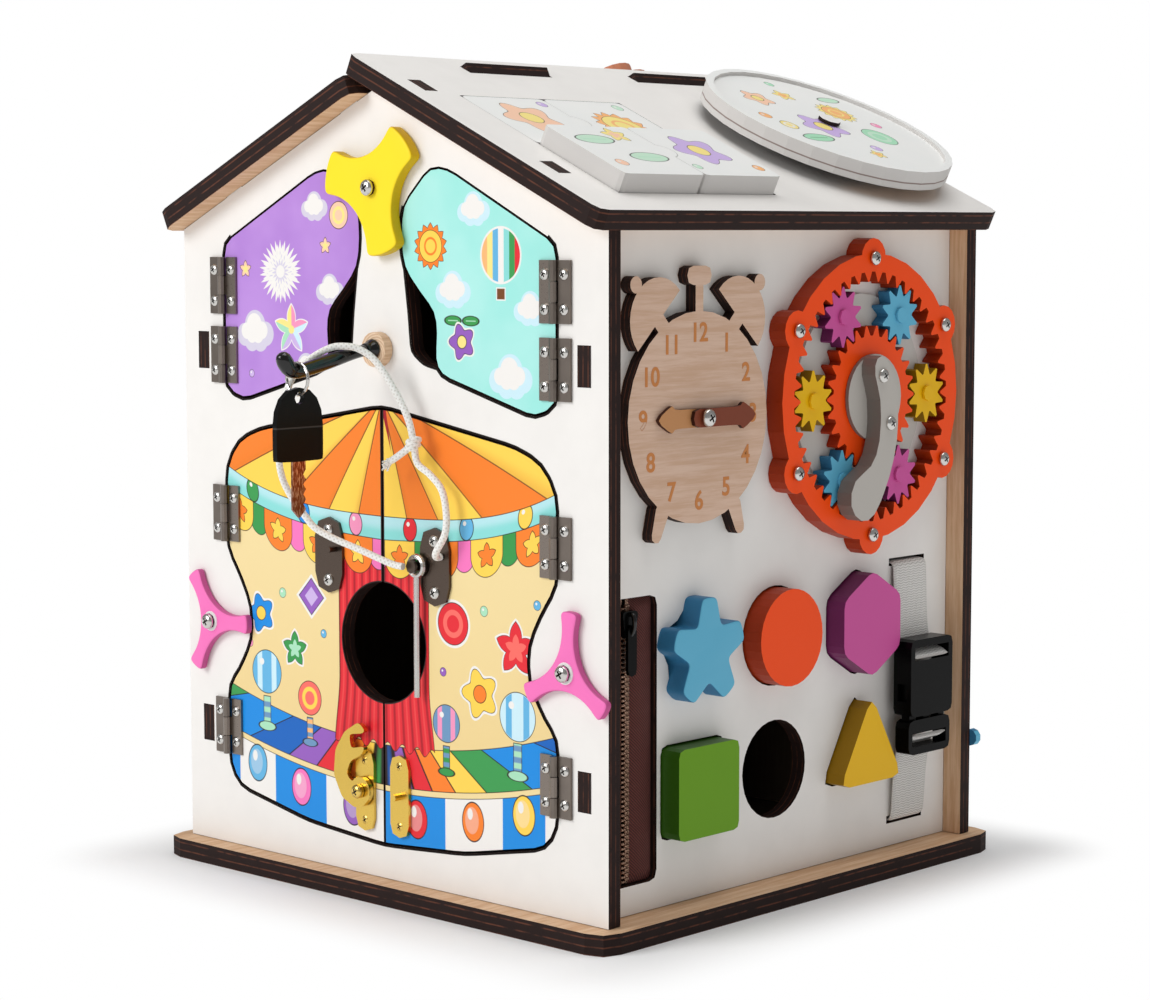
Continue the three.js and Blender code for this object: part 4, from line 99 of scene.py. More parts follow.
# Tether cord, the same points as in the CAD, to the right, up and out from the front wall
CORD_RADIUS = 1.7
CORD_POINTS = [
    (43, 164, 2), (43, 164, 5), (46.5, 167.2, 8.5), (52, 176, 8), (52.5, 186, 7.5), (50, 197, 8),
    (43, 204, 9), (35, 209, 9.5), (32.6, 218.3, 9.5), (29.5, 229.4, 10), (22.5, 243, 12),
    (13.5, 257, 16), (7.5, 262.8, 21), (3, 264.3, 26), (-2, 263.4, 32), (-7.2, 257.5, 41),
    (-10.4, 248.5, 49), (-14.5, 234, 50), (-23, 213, 46), (-27.8, 200.1, 40), (-25.2, 188.7, 35),
    (-21.5, 181.2, 31), (-18, 175.6, 28), (-10.2, 170.6, 23), (1.2, 165.7, 17), (13, 161.1, 12.6),
    (19.5, 159, 10.6), (25, 158.5, 9.9),
]
KNOT_PLACE = (32.6, 218.3, 9.5)
KNOT_TURNS = 2.2
KNOT_STEPS = 44
TAIL_POINTS = [(31.6, 217, 10.5), (27.6, 213.6, 12.4), (23.4, 211, 13), (20.6, 209.6, 13)]

# Straps: out from the side's face, and up from the base board
UPPER_ROUTE = [
    (-14, 149), (-4, 149), (1.3, 147.8), (2.2, 141), (2.8, 125), (3.6, 114), (5.0, 107.5),
    (8.5, 104.4), (13.5, 102.6), (16.6, 100.6),
]
LOWER_ROUTE = [
    (15.6, 59.6), (12.5, 57.6), (8.2, 56), (5.4, 52.5), (4.4, 46), (3.2, 36), (2.4, 24),
    (1.3, 15.2), (-4, 14), (-14, 14),
]

# Bridge of the zip's slider, and black arm with its radius: up from the base board, and out
BRIDGE_POINTS = [(142.5, 0.6), (142, 2.6), (139.5, 3.4), (136, 3.2), (133, 1.6), (132.6, 0.4)]
ARM_ROWS = [
    (262, 3.0, 2.6), (262, 8.3, 2.7), (261.4, 14, 2.9), (260.2, 21, 3.2), (258.2, 30, 3.5),
    (255.9, 40, 3.6), (254, 49, 3.4), (253.3, 54.5, 3.4), (254.6, 58.8, 3.8), (258, 61.6, 4.0),
    (260.6, 62.8, 3.4), (262, 63.3, 2.2), (262.5, 63.5, 0.8),
]

# Camera, found from the photograph's edges
CAMERA_PLACE = (0.9888, -1.0584, 0.3294)
CAMERA_YAW = -43.17
CAMERA_PITCH = -5.57
CAMERA_ROLL = -0.06
CAMERA_LENS = 86.53
SENSOR_WIDTH = 36.0

# Light, in metres
LIGHT_AIM = (0, 0, 0.2)
KEY_PLACE = (-0.75, -2.1, 1.25)
KEY_SIZE = 1.2
TOP_PLACE = (0.2, 0.1, 2.2)
TOP_SIZE = 1.6

# Floor: half its size in metres, and where it turns plain, in millimetres from the edge of the base
FLOOR_SIZE = 6.0
BASE_EDGE = 160.0
FLOOR_NEAR = 4.0
FLOOR_FAR = 62.0

# Directions of the faces
FRONT = (0, -1, 0)
BACK = (0, 1, 0)
RIGHT = (1, 0, 0)
LEFT = (-1, 0, 0)
UP = (0, 0, 1)
ORIGIN = (0, 0, 0)
RIGHT_SLOPE = (SLOPE_RISE, 0, SLOPE_RUN)
LEFT_SLOPE = (-SLOPE_RISE, 0, SLOPE_RUN)

# Grain of the plywood, drawn out along the axis with the small share
PLIES = 5
UPRIGHT = (1, 1, 0.06)
ALONG = (1, 0.06, 1)

# Straps, clock numbers, scorched lines and the zip, in millimetres
STRAP_CENTRE = 99.0
STRAP_WIDTH = 28.0
STRAP_THICKNESS = 1.6
NUMBER_SIZE = 12.5
LINE_WIDTH = 1.0
ZIP_TEETH = 58
ZIP_PITCH = 2.26
SIDES = (("left", -1), ("right", 1))
TILES = ("tile_lower_left", "tile_lower_right", "tile_upper_left", "tile_upper_right")

# A domed screw head as shares of its radius: out from its axis, and up from its seat
SCREW_PROFILE = [
    (1.0, -0.1), (1.0, 0.1), (0.94, 0.22), (0.78, 0.36), (0.55, 0.45), (0.28, 0.49), (0.0, 0.5),
]

# Colours, as seen in the photograph, in 0 to 255
COLOURS = {
    "white": (241, 238, 234),
    "ply": (226, 192, 158),
    "ply_dark": (204, 162, 124),
    "burnt": (34, 18, 15),
    "burnt_line": (96, 54, 38),
    "gunmetal": (134, 124, 116),
    "brass": (226, 190, 92),
    "yellow": (255, 226, 40),
    "pink": (246, 120, 190),
    "purple": (178, 130, 214),
    "purple_light": (200, 155, 230),
    "turquoise": (160, 233, 224),
    "turquoise_light": (190, 242, 236),
    "tent_orange": (250, 130, 40),
    "tent_yellow": (255, 212, 84),
    "teal": (140, 220, 216),
    "cream": (238, 211, 148),
    "cream_light": (241, 218, 160),
    "red": (230, 40, 52),
    "red_deep": (170, 20, 35),
    "blue": (20, 140, 225),
    "navy": (15, 100, 190),
    "steel_blue": (110, 150, 190),
    "sky": (100, 180, 225),
    "ice": (205, 236, 246),
    "green": (55, 152, 76),
    "leaf_green": (60, 155, 80),
    "mint": (170, 225, 190),
    "mint_pale": (200, 232, 208),
    "violet": (150, 95, 190),
    "lilac": (205, 180, 230),
    "rose": (245, 150, 190),
    "coral": (250, 110, 100),
    "lemon": (250, 230, 140),
    "apricot": (250, 185, 120),
    "peach": (250, 205, 175),
    "amber": (215, 120, 20),
    "puff_shade": (214, 208, 226),
    "numeral": (204, 132, 74),
    "gear_orange": (252, 78, 6),
    "gear_yellow": (238, 186, 8),
    "gear_blue": (100, 182, 214),
    "gear_magenta": (206, 84, 156),
    "gear_green": (104, 156, 10),
    "unlit": (16, 9, 6),
    "ink": (40, 28, 26),
    "ink_soft": (120, 70, 30),
}


def colour(name_or_rgb):
    """A linear colour from one of COLOURS or from three numbers in 0 to 255."""
    rgb = COLOURS[name_or_rgb] if isinstance(name_or_rgb, str) else name_or_rgb
    linear = []
    for channel in rgb:
        share = channel / 255
        linear.append(share / 12.92 if share <= 0.04045 else ((share + 0.055) / 1.055) ** 2.4)
    return (*linear, 1.0)


# Shader maths


class Value:
    """A socket of a material's node tree that can be used in sums with numbers, colours and vectors."""

    def __init__(self, shader, socket):
        self.shader = shader
        self.socket = socket

    def __add__(self, other):
        return self.shader.sum("ADD", self, other)

    def __radd__(self, other):
        return self.shader.sum("ADD", other, self)

    def __sub__(self, other):
        return self.shader.sum("SUBTRACT", self, other)

    def __rsub__(self, other):
        return self.shader.sum("SUBTRACT", other, self)

    def __mul__(self, other):
        return self.shader.sum("MULTIPLY", self, other)

    def __rmul__(self, other):
        return self.shader.sum("MULTIPLY", other, self)

    def __truediv__(self, other):
        return self.shader.sum("DIVIDE", self, other)

    def __rtruediv__(self, other):
        return self.shader.sum("DIVIDE", other, self)

    def __neg__(self):
        return self.shader.sum("MULTIPLY", self, -1.0)

    def __gt__(self, other):
        return self.shader.sum("GREATER_THAN", self, other)

    def __lt__(self, other):
        return self.shader.sum("LESS_THAN", self, other)

    def __abs__(self):
        return self.shader.sum("ABSOLUTE", self)


def kind_of(term):
    """VALUE, VECTOR or RGBA for a Value, a number, or three or four numbers."""
    if isinstance(term, Value):
        return term.socket.type
    if isinstance(term, (int, float)):
        return "VALUE"
    return "VECTOR" if len(term) == 3 else "RGBA"


class Shader:
    """The node tree of a material, or of the world, and the calls that make its nodes."""

    def __init__(self, name, holder=None):
        self.owner = holder or bpy.data.materials.new(name)
        self.owner.use_nodes = True
        self.tree = self.owner.node_tree
        self.tree.nodes.clear()
        self.made = {}

    def node(self, kind, settings=None, outlet=None, **inputs):
        """Makes a node, sets its settings first, then its inputs, and gives one output as a Value."""
        made = self.tree.nodes.new(kind)
        for key, setting in (settings or {}).items():
            setattr(made, key, setting)
        for key, given in inputs.items():
            label = key.replace("_", " ")
            places = [s for s in made.inputs if s.enabled and s.name == label]
            if not places:
                raise KeyError(f"{kind} has no input {label}")
            for place, term in zip(places, given if isinstance(given, list) else [given]):
                self.feed(place, term)
        outlets = [s for s in made.outputs if s.enabled and (outlet is None or s.name == outlet)]
        return Value(self, outlets[0]) if outlets else None

    def feed(self, place, term):
        """Links a Value to an input, or sets a constant on it."""
        if isinstance(term, Value):
            self.tree.links.new(term.socket, place)
        elif isinstance(term, (int, float)) and place.type in ("VECTOR", "RGBA"):
            place.default_value = (term,) * 3 if place.type == "VECTOR" else (term, term, term, 1.0)
        elif place.type == "VECTOR":
            place.default_value = tuple(term)[:3]
        else:
            place.default_value = term

    def sum(self, operation, *terms):
        """One step of maths, by the kind of its terms: plain numbers, vectors or colours."""
        kinds = [kind_of(term) for term in terms]
        if "RGBA" in kinds:
            settings = {"data_type": "RGBA", "blend_type": operation, "clamp_factor": True}
            return self.node("ShaderNodeMix", settings, Factor=1.0, A=terms[0], B=terms[1])
        if "VECTOR" in kinds:
            return self.node("ShaderNodeVectorMath", {"operation": operation}, Vector=list(terms))
        return self.node("ShaderNodeMath", {"operation": operation}, Value=list(terms))

    def mix(self, low, high, factor):
        """A colour or number between two others."""
        flat = kind_of(low) == "VALUE" and kind_of(high) == "VALUE"
        settings = {"data_type": "FLOAT" if flat else "RGBA", "clamp_factor": True}
        return self.node("ShaderNodeMix", settings, Factor=factor, A=low, B=high)

    def once(self, key, maker):
        """Makes a shared input of the tree the first time that it is asked for."""
        if key not in self.made:
            self.made[key] = maker()
        return self.made[key]

    def place(self):
        """The point on the object, in millimetres of the shared frame."""
        def make():
            point = self.node("ShaderNodeTexCoord", None, "Object")
            settings = {"operation": "SCALE"}
            return self.node("ShaderNodeVectorMath", settings, Vector=point, Scale=1 / MM)
        return self.once("place", make)

    def part(self, vector, axis):
        """One coordinate of a vector, along X, Y or Z."""
        return self.once(
            (vector.socket.node.name, axis),
            lambda: self.node("ShaderNodeSeparateXYZ", None, axis, Vector=vector),
        )

    def lean(self, direction):
        """How much the surface faces a direction of the object, from -1 to 1."""
        return self.once(
            ("lean", direction),
            lambda: self.dot(self.node("ShaderNodeTexCoord", None, "Normal"), direction),
        )

    def along(self, direction):
        """How far the point lies along a direction, in millimetres."""
        return self.once(("along", direction), lambda: self.dot(self.place(), direction))

    def dot(self, vector, direction):
        """How far a vector reaches along a direction."""
        settings = {"operation": "DOT_PRODUCT"}
        return self.node("ShaderNodeVectorMath", settings, "Value", Vector=[vector, direction])

    def uv(self):
        """The piece's own UV."""
        return self.once("uv", lambda: self.node("ShaderNodeUVMap", {"uv_map": "UVMap"}))

    def noise(self, scale, detail=3.0, roughness=0.55, stretch=(1, 1, 1), shift=0.0):
        """Smooth noise, about 0 to 1, with scale in features per millimetre."""
        spread = self.place() * tuple(s * scale for s in stretch)
        if shift:
            spread = spread + (shift, shift * 0.7, shift * 1.3)
        return self.node(
            "ShaderNodeTexNoise", None, "Fac",
            Vector=spread, Scale=1.0, Detail=detail, Roughness=roughness,
        )

    def ramp(self, term, low, high):
        """0 below low, 1 above high, with a smooth step between."""
        settings = {"interpolation_type": "SMOOTHSTEP"}
        return self.node(
            "ShaderNodeMapRange", settings, None, Value=term, From_Min=low, From_Max=high
        )

    def inside(self, distance, soft=0.25):
        """1 where a distance is below zero, with a soft edge that many millimetres wide."""
        return self.node("ShaderNodeClamp", None, Value=0.5 - distance / soft, Min=0.0, Max=1.0)

    def call(self, operation, *terms):
        """One step of maths on plain numbers."""
        return self.node("ShaderNodeMath", {"operation": operation}, Value=list(terms))

    def least(self, *terms):
        """The smallest of several distances: any of their forms."""
        return reduce(lambda one, other: self.call("MINIMUM", one, other), terms)

    def most(self, *terms):
        """The largest of several distances: what their forms share."""
        return reduce(lambda one, other: self.call("MAXIMUM", one, other), terms)

    def wave(self, term):
        """A zigzag from 0 to 1 and back for each step of a number."""
        return self.call("PINGPONG", term, 0.5) * 2.0

    def point(self, u, v):
        """A flat point from two coordinates."""
        return self.node("ShaderNodeCombineXYZ", None, None, X=u, Y=v)

    def far(self, spot, centre):
        """The distance between two points."""
        settings = {"operation": "DISTANCE"}
        return self.node("ShaderNodeVectorMath", settings, "Value", Vector=[spot, centre])

    def bearing(self, spot, centre):
        """The angle of a point round a centre, in radians."""
        gap = spot - centre
        return self.call("ARCTAN2", self.part(gap, "Y"), self.part(gap, "X"))

    def cell(self, term, pitch, shift=0.0):
        """The place inside a repeated cell, from its middle, and the number of the cell."""
        share = term / pitch + shift
        index = self.call("FLOOR", share)
        return (share - index - 0.5) * pitch, index

    def palette(self, index, tones):
        """One of several tones in turn, by the whole part of a number."""
        count = len(tones)
        share = (self.call("WRAP", self.call("FLOOR", index), float(count), 0.0) + 0.5) / count
        made = self.node("ShaderNodeValToRGB", None, "Color", Fac=share)
        stops = made.socket.node.color_ramp
        stops.interpolation = "CONSTANT"
        for step in range(1, count):
            stops.elements.new(step / count)
        while len(stops.elements) > count:
            stops.elements.remove(stops.elements[len(stops.elements) - 1])
        for step, tone in enumerate(tones):
            stops.elements[step].position = step / count
            stops.elements[step].color = colour(tone)
        return made

    def finish(self, base, roughness=0.5, metallic=0.0, height=None, depth=0.05, **fixed):
        """The surface shader: what varies is linked, and constants are set on its own sockets."""
        links = {"Base_Color": base, "Roughness": roughness, "Metallic": metallic}
        if height is not None:
            links["Normal"] = self.node(
                "ShaderNodeBump", None, Strength=0.7, Distance=depth * MM, Height=height
            )
        surface = self.node("ShaderNodeBsdfPrincipled", None, "BSDF", **links, **fixed)
        self.node("ShaderNodeOutputMaterial", Surface=surface)
        return self.owner


# Mesh tools


def shared(*numbers):
    """A point in metres from millimetres."""
    return Vector(numbers) * MM


def on_front(x, y, z):
    """A point of the front gable: to the right, up from the base board, and out from the board."""
    return shared(x, -WALL_OUTSIDE - z, BASE_TOP + y)


def on_back(x, y, z):
    """A point of the back gable, as seen from behind."""
    return shared(-x, WALL_OUTSIDE + z, BASE_TOP + y)


def on_right(x, y, z):
    """A point of the right side: towards the back, up from the base board, and out from the board."""
    return shared(SIDE_OUTSIDE + z, x, BASE_TOP + y)


def on_left_roof(x, y, z):
    """A point of the left slope: towards the front, up the slope, and out from it."""
    along = y * SLOPE_RUN - z * SLOPE_RISE
    return shared(along, -x, RIDGE_HEIGHT + y * SLOPE_RISE + z * SLOPE_RUN)


def uv_layer(shape):
    """The UV layer that the materials read."""
    return shape.loops.layers.uv.get("UVMap") or shape.loops.layers.uv.new("UVMap")


def turn_to(normal):
    """A turn that takes +Z to the normal, with +Y as near to the vertical as it can be."""
    out = Vector(normal).normalized()
    up = Vector(UP)
    up = (up - out * up.dot(out)).normalized()
    return Matrix((up.cross(out), up, out)).transposed()


def put(name, data):
    """A new object in the scene."""
    made = bpy.data.objects.new(name, data)
    bpy.context.scene.collection.objects.link(made)
    return made


def stand(name, data, place, ahead, roll=0.0):
    """A new camera or lamp at a place, that looks ahead."""
    made = put(name, data)
    made.location = place
    made.rotation_mode = "QUATERNION"
    made.rotation_quaternion = ahead.to_track_quat("-Z", "Y") @ Quaternion(UP, roll)
    return made


def piece(name, shape, body, material, smooth=True, angle=35.0):
    """Turns a bmesh into an object that rides a body, or none yet, with its faces turned outward."""
    bmesh.ops.recalc_face_normals(shape, faces=shape.faces)
    mesh = bpy.data.meshes.new(name)
    shape.to_mesh(mesh)
    shape.free()
    made = put(name, mesh)
    mesh.materials.append(material)
    if smooth:
        mesh.shade_smooth()
        mesh.set_sharp_from_angle(angle=math.radians(angle))
    if body:
        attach(made, body)
    return made


def travels(points):
    """How far each point of a line lies along it, in the points' own unit."""
    gone = [0.0]
    for first, second in zip(points, points[1:]):
        gone.append(gone[-1] + math.dist(first, second))
    return gone


def sweep(shape, path, radius, sides=12, widths=None):
    """Adds a tube along points in metres, with UV along it and round it, in millimetres."""
    layer = uv_layer(shape)
    rings = []
    count = len(path)
    travelled = travels(path)
    side = (path[1] - path[0]).normalized().orthogonal().normalized()
    for index, point in enumerate(path):
        before = path[max(index - 1, 0)]
        after = path[min(index + 1, count - 1)]
        ahead = (after - before).normalized()
        side = (side - ahead * side.dot(ahead)).normalized()
        up = ahead.cross(side)
        size = radius * (widths[index] if widths else 1.0)
        ring = []
        for step in range(sides):
            angle = 2 * math.pi * step / sides
            ring.append(shape.verts.new(point + (side * math.cos(angle) + up * math.sin(angle)) * size))
        rings.append(ring)
    around = 2 * math.pi * radius / MM
    for index, (low, high) in enumerate(zip(rings, rings[1:])):
        for step in range(sides):
            other = (step + 1) % sides
            quad = shape.faces.new((low[step], low[other], high[other], high[step]))
            corners = [(index, step), (index, step + 1), (index + 1, step + 1), (index + 1, step)]
            for loop, (row, column) in zip(quad.loops, corners):
                loop[layer].uv = (travelled[row] / MM, around * column / sides)
    shape.faces.new(rings[0][::-1])
    shape.faces.new(rings[-1])


def smooth_line(points, steps):
    """Points at even spacing along a soft curve through the given ones."""
    line = []
    count = len(points)
    for index in range(count - 1):
        before = points[max(index - 1, 0)]
        start = points[index]
        end = points[index + 1]
        after = points[min(index + 2, count - 1)]
        for step in range(steps):
            t = step / steps
            line.append(
                (start * 2 + (end - before) * t + (before * 2 - start * 5 + end * 4 - after) * t * t
                 + (start * 3 - before - end * 3 + after) * t * t * t) / 2
            )
    line.append(points[-1])
    return line


def lathe(shape, profile, seat, outward, sides, size=1.0, closed=False):
    """Adds a turned form: profile points (out, up) in millimetres times size, over a seat in metres.

    Its UV runs from -1 to 1 across the widest part. A closed profile makes a ring.
    """
    layer = uv_layer(shape)
    turn = turn_to(outward)
    widest = max(out for out, _ in profile)
    rings = []
    for out, up in profile:
        if out == 0.0:
            rings.append([shape.verts.new(seat + turn @ Vector((0, 0, up * size * MM)))])
            continue
        ring = []
        for step in range(sides):
            angle = 2 * math.pi * step / sides
            local = Vector((out * math.cos(angle), out * math.sin(angle), up)) * size * MM
            ring.append(shape.verts.new(seat + turn @ local))
        rings.append(ring)
    faces = []
    pairs = list(zip(rings, rings[1:]))
    if closed:
        pairs.append((rings[-1], rings[0]))
    else:
        faces.append(shape.faces.new(rings[0][::-1]))
    for low, high in pairs:
        for step in range(sides):
            other = (step + 1) % sides
            if len(high) == 1:
                faces.append(shape.faces.new((low[step], low[other], high[0])))
            else:
                faces.append(shape.faces.new((low[step], low[other], high[other], high[step])))
    back = turn.inverted()
    for face in faces:
        for loop in face.loops:
            local = back @ (loop.vert.co - seat) / (MM * size * widest)
            loop[layer].uv = (local.x, local.y)


def ribbon(shape, path, across, width, thickness):
    """Adds a flat strap along points in metres, with UV along it and across it, in millimetres."""
    layer = uv_layer(shape)
    count = len(path)
    travelled = travels(path)
    columns = 12
    rows = []
    for index, point in enumerate(path):
        ahead = (path[min(index + 1, count - 1)] - path[max(index - 1, 0)]).normalized()
        out = across.cross(ahead).normalized()
        top = []
        low = []
        for step in range(columns + 1):
            share = step / columns - 0.5
            edge = min(1.0, (0.5 - abs(share)) * columns + 0.35)
            offset = across * share * width * MM
            half = out * thickness * MM / 2 * edge
            top.append((shape.verts.new(point + offset + half), share * width))
            low.append((shape.verts.new(point + offset - half), share * width))
        rows.append(top + low[::-1])
    for index, (first, second) in enumerate(zip(rows, rows[1:])):
        total = len(first)
        for step in range(total):
            other = (step + 1) % total
            corners = [
                (first[step], index), (first[other], index),
                (second[other], index + 1), (second[step], index + 1),
            ]
            face = shape.faces.new([vert for (vert, _), _ in corners])
            for loop, ((_, wide), row) in zip(face.loops, corners):
                loop[layer].uv = (travelled[row] / MM, wide)
    shape.faces.new([vert for vert, _ in rows[0]][::-1])
    shape.faces.new([vert for vert, _ in rows[-1]])


def lobes(arms, reach, half_width, waist, lead, passes, hollow=True):
    """Outline of a knob: blunt arms that hollow arcs or straight flanks join, with soft corners."""
    half = math.asin(half_width / reach)
    gap = math.pi / arms
    corner = (reach * math.cos(gap - half), reach * math.sin(gap - half))
    away = (reach ** 2 - waist ** 2) / (2 * (corner[0] - waist))
    radius = away - waist
    first = math.atan2(corner[1], corner[0] - away)
    points = []
    for arm in range(arms):
        axis = lead + 2 * gap * arm
        for step in range(13):
            angle = axis - half + half * step / 6
            points.append((reach * math.cos(angle), reach * math.sin(angle)))
        middle = axis + gap
        if not hollow:
            points.append((waist * math.cos(middle), waist * math.sin(middle)))
            continue
        for step in range(1, 24):
            share = step / 24
            angle = (2 * math.pi - first) * (1 - share) + first * share
            x = away + radius * math.cos(angle)
            y = radius * math.sin(angle)
            points.append((
                x * math.cos(middle) - y * math.sin(middle),
                x * math.sin(middle) + y * math.cos(middle),
            ))
    loop = even_loop(points, 90 * arms)
    for _ in range(passes):
        loop = [
            ((a[0] + 2 * b[0] + c[0]) / 4, (a[1] + 2 * b[1] + c[1]) / 4)
            for a, b, c in zip(loop[-1:] + loop[:-1], loop, loop[1:] + loop[:1])
        ]
    return even_loop(loop, 60 * arms)


def even_loop(points, count):
    """The same closed line in a chosen number of even steps."""
    ends = points + points[:1]
    travelled = travels(ends)
    made = []
    index = 0
    for step in range(count):
        goal = travelled[-1] * step / count
        while travelled[index + 1] < goal:
            index += 1
        span = travelled[index + 1] - travelled[index]
        share = (goal - travelled[index]) / span if span else 0.0
        a, b = ends[index], ends[index + 1]
        made.append((a[0] + (b[0] - a[0]) * share, a[1] + (b[1] - a[1]) * share))
    return made


def plate(shape, outline, placing, low, high, soft):
    """Adds a flat solid from an outline, with its upper edge rounded, all in millimetres."""
    count = len(outline)
    normals = []
    for index in range(count):
        before = outline[index - 1]
        after = outline[(index + 1) % count]
        long = math.dist(before, after)
        normals.append(((after[1] - before[1]) / long, (before[0] - after[0]) / long))
    levels = [(soft * 0.4, low), (0.0, low + soft * 0.4)]
    levels += [
        (soft * (1 - math.cos(turn)), high - soft + soft * math.sin(turn))
        for turn in (math.pi * step / 10 for step in range(6))
    ]
    rings = []
    for inset, z in levels:
        rings.append([
            shape.verts.new(placing(x - nx * inset, y - ny * inset, z))
            for (x, y), (nx, ny) in zip(outline, normals)
        ])
    for lower, upper in zip(rings, rings[1:]):
        for step in range(count):
            other = (step + 1) % count
            shape.faces.new((lower[step], lower[other], upper[other], upper[step]))
    shape.faces.new(rings[0][::-1])
    shape.faces.new(rings[-1])


def slab(shape, centre, sizes, soft):
    """Adds a small block with bevelled edges: its centre in metres, its sizes in millimetres."""
    made = bmesh.ops.create_cube(shape, size=1.0)["verts"]
    turn = Matrix.Diagonal(shared(*sizes)).to_4x4()
    bmesh.ops.transform(shape, matrix=Matrix.Translation(centre) @ turn, verts=made)
    edges = list({edge for vert in made for edge in vert.link_edges})
    bmesh.ops.bevel(shape, geom=edges, offset=soft * MM, segments=2, profile=0.5, affect="EDGES")


# Finishes


def painted(name, tone, gloss=0.42, side_tone=None, facing=None, shine=0.18):
    """Painted wood and moulded plastic, with faint mottling, fine orange peel and darker sides: painted
    shade on the plastic and painted parts, and a burnt edge on the wooden hands.
    """
    shader = Shader(name)
    cloud = shader.noise(0.05, detail=4)
    fine = shader.noise(1.3, detail=2)
    shade = 0.97 + cloud * 0.06
    base = shader.mix(colour((0, 0, 0)), colour(tone), shade)
    # The sides are darkened towards side_tone: painted shade on the plastic and painted parts, and a real
    # burnt edge on the wooden hands.
    if side_tone is not None:
        face = shader.ramp(abs(shader.lean(facing)), 0.45, 0.8)
        streak = shader.noise(0.9, detail=4)
        scorched = shader.mix(colour((0, 0, 0)), colour(side_tone), 0.86 + streak * 0.14)
        base = shader.mix(scorched, base, face)
    return shader.finish(
        base, gloss - 0.04 + fine * 0.08, height=fine + cloud * 2, depth=0.02, Specular_IOR_Level=shine
    )


def metal(name, tone, rough=0.2, wear=0.12):
    """Plated or brushed metal with fine scratches along one direction."""
    shader = Shader(name)
    lines = shader.noise(1.2, detail=5, roughness=0.7, stretch=(1, 1, 8))
    cloud = shader.noise(0.09, detail=3)
    base = shader.mix(colour((20, 18, 18)), colour(tone), 1.0 - wear + cloud * wear)
    return shader.finish(base, rough + lines * 0.16 - 0.06, 1.0, height=lines, depth=0.015)


def wood_tone(shader, light, dark, grain, scale=0.35, shift=0.0):
    """The colour and relief of plain wood, with its grain along the shortest stretch."""
    streaks = shader.noise(scale, detail=6, roughness=0.62, stretch=grain, shift=shift)
    fibres = shader.noise(scale * 5, detail=3, stretch=grain, shift=shift + 7)
    mixed = shader.ramp(streaks * 0.75 + fibres * 0.25, 0.36, 0.66)
    return shader.mix(colour(dark), colour(light), mixed), fibres + streaks


def edge_tone(shader, outward, outside, thickness):
    """Laser-burnt plywood edge: dark brown with thin lighter veneer lines across its thickness."""
    depth = outside - shader.along(outward)
    wobble = shader.noise(0.05, detail=2) * 0.5 - 0.25
    share = (depth + wobble) / (thickness / PLIES)
    wave = shader.call("PINGPONG", share, 1.0)
    streak = shader.noise(0.5, detail=4, stretch=(0.25, 0.25, 0.25))
    line = shader.ramp(wave, 0.72, 0.96) * shader.ramp(streak, 0.34, 0.6)
    return shader.mix(colour("burnt"), colour("burnt_line"), line), streak


def board(
    name, outward, outside, thickness, grain, face=None, bare=False, fitted=False, pale_edge=False
):
    """A plywood board: its own outer face, a bare inner face and burnt edges. Unless fitted, its bare wood
    inside the house is painted near black as painted shade.

    A fitted board carries steel leaves and brass plates, told by their height over the face.
    A pale-edged one is painted at its sides down to a thin joint.
    """
    shader = Shader(name)
    lean = shader.lean(outward)
    ply, relief = wood_tone(shader, "ply", "ply_dark", grain)
    # Unless fitted, the bare wood inside the house takes the unlit tone: painted shade of the closed room.
    if not fitted:
        beyond = INSIDE_MARGIN - WALL_THICKNESS
        across = abs(shader.along(RIGHT)) < SIDE_OUTSIDE + beyond
        indoor_shade = across * (abs(shader.along(BACK)) < WALL_OUTSIDE + beyond)
        ply = shader.mix(ply, colour("unlit"), indoor_shade * 0.93)
    edge, streak = edge_tone(shader, outward, outside, thickness)
    if bare:
        front = ply
    elif face is None:
        soft = shader.noise(0.05, detail=4)
        front = shader.mix(colour((238, 235, 231)), colour("white"), shader.ramp(soft, 0.3, 0.7))
    else:
        front = face(shader)
    outer = shader.ramp(lean, 0.6, 0.75)
    back = shader.ramp(-lean, 0.6, 0.75)
    if pale_edge:
        joint = shader.ramp(abs(outside - thickness * 0.6 - shader.along(outward)), 0.5, 0.25)
        edge = shader.mix(colour((206, 203, 200)), colour("burnt_line"), joint * 0.7)
    base = shader.mix(shader.mix(edge, ply, back), front, outer)
    peel = shader.noise(0.6, detail=2)
    rough = shader.mix(shader.mix(0.75, 0.62, back), 0.6 if bare else 0.36 + peel * 0.08, outer)
    height = shader.mix(streak * 3, shader.mix(relief, peel * 0.4, outer), abs(lean))
    if not fitted:
        return shader.finish(base, rough, height=height, depth=0.03, Specular_IOR_Level=0.25)
    metallic = shader.along(outward) > outside + 0.12
    lines = shader.noise(1.2, detail=5, roughness=0.7, stretch=(1, 8, 1))
    gilt = (abs(shader.along(RIGHT)) < 30.0) * (shader.along(UP) < 80.0)
    # Gunmetal on the hinge leaves, a darker steel on the hook plates near the middle of the doors.
    steel_tone = shader.mix(colour("gunmetal"), colour((92, 80, 72)), abs(shader.along(RIGHT)) < 60.0)
    plated = shader.mix(steel_tone, colour("brass"), gilt)
    return shader.finish(
        shader.mix(base, plated, metallic), shader.mix(rough, 0.22 + lines * 0.14, metallic), metallic,
        height=shader.mix(height, lines * 0.5, metallic), depth=0.03, Specular_IOR_Level=0.25,
    )


def finish_node(node, material):
    """Puts a finish on a CAD node that stays in the picture."""
    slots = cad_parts[node].data.materials
    slots.clear()
    slots.append(material)


# Printed artwork


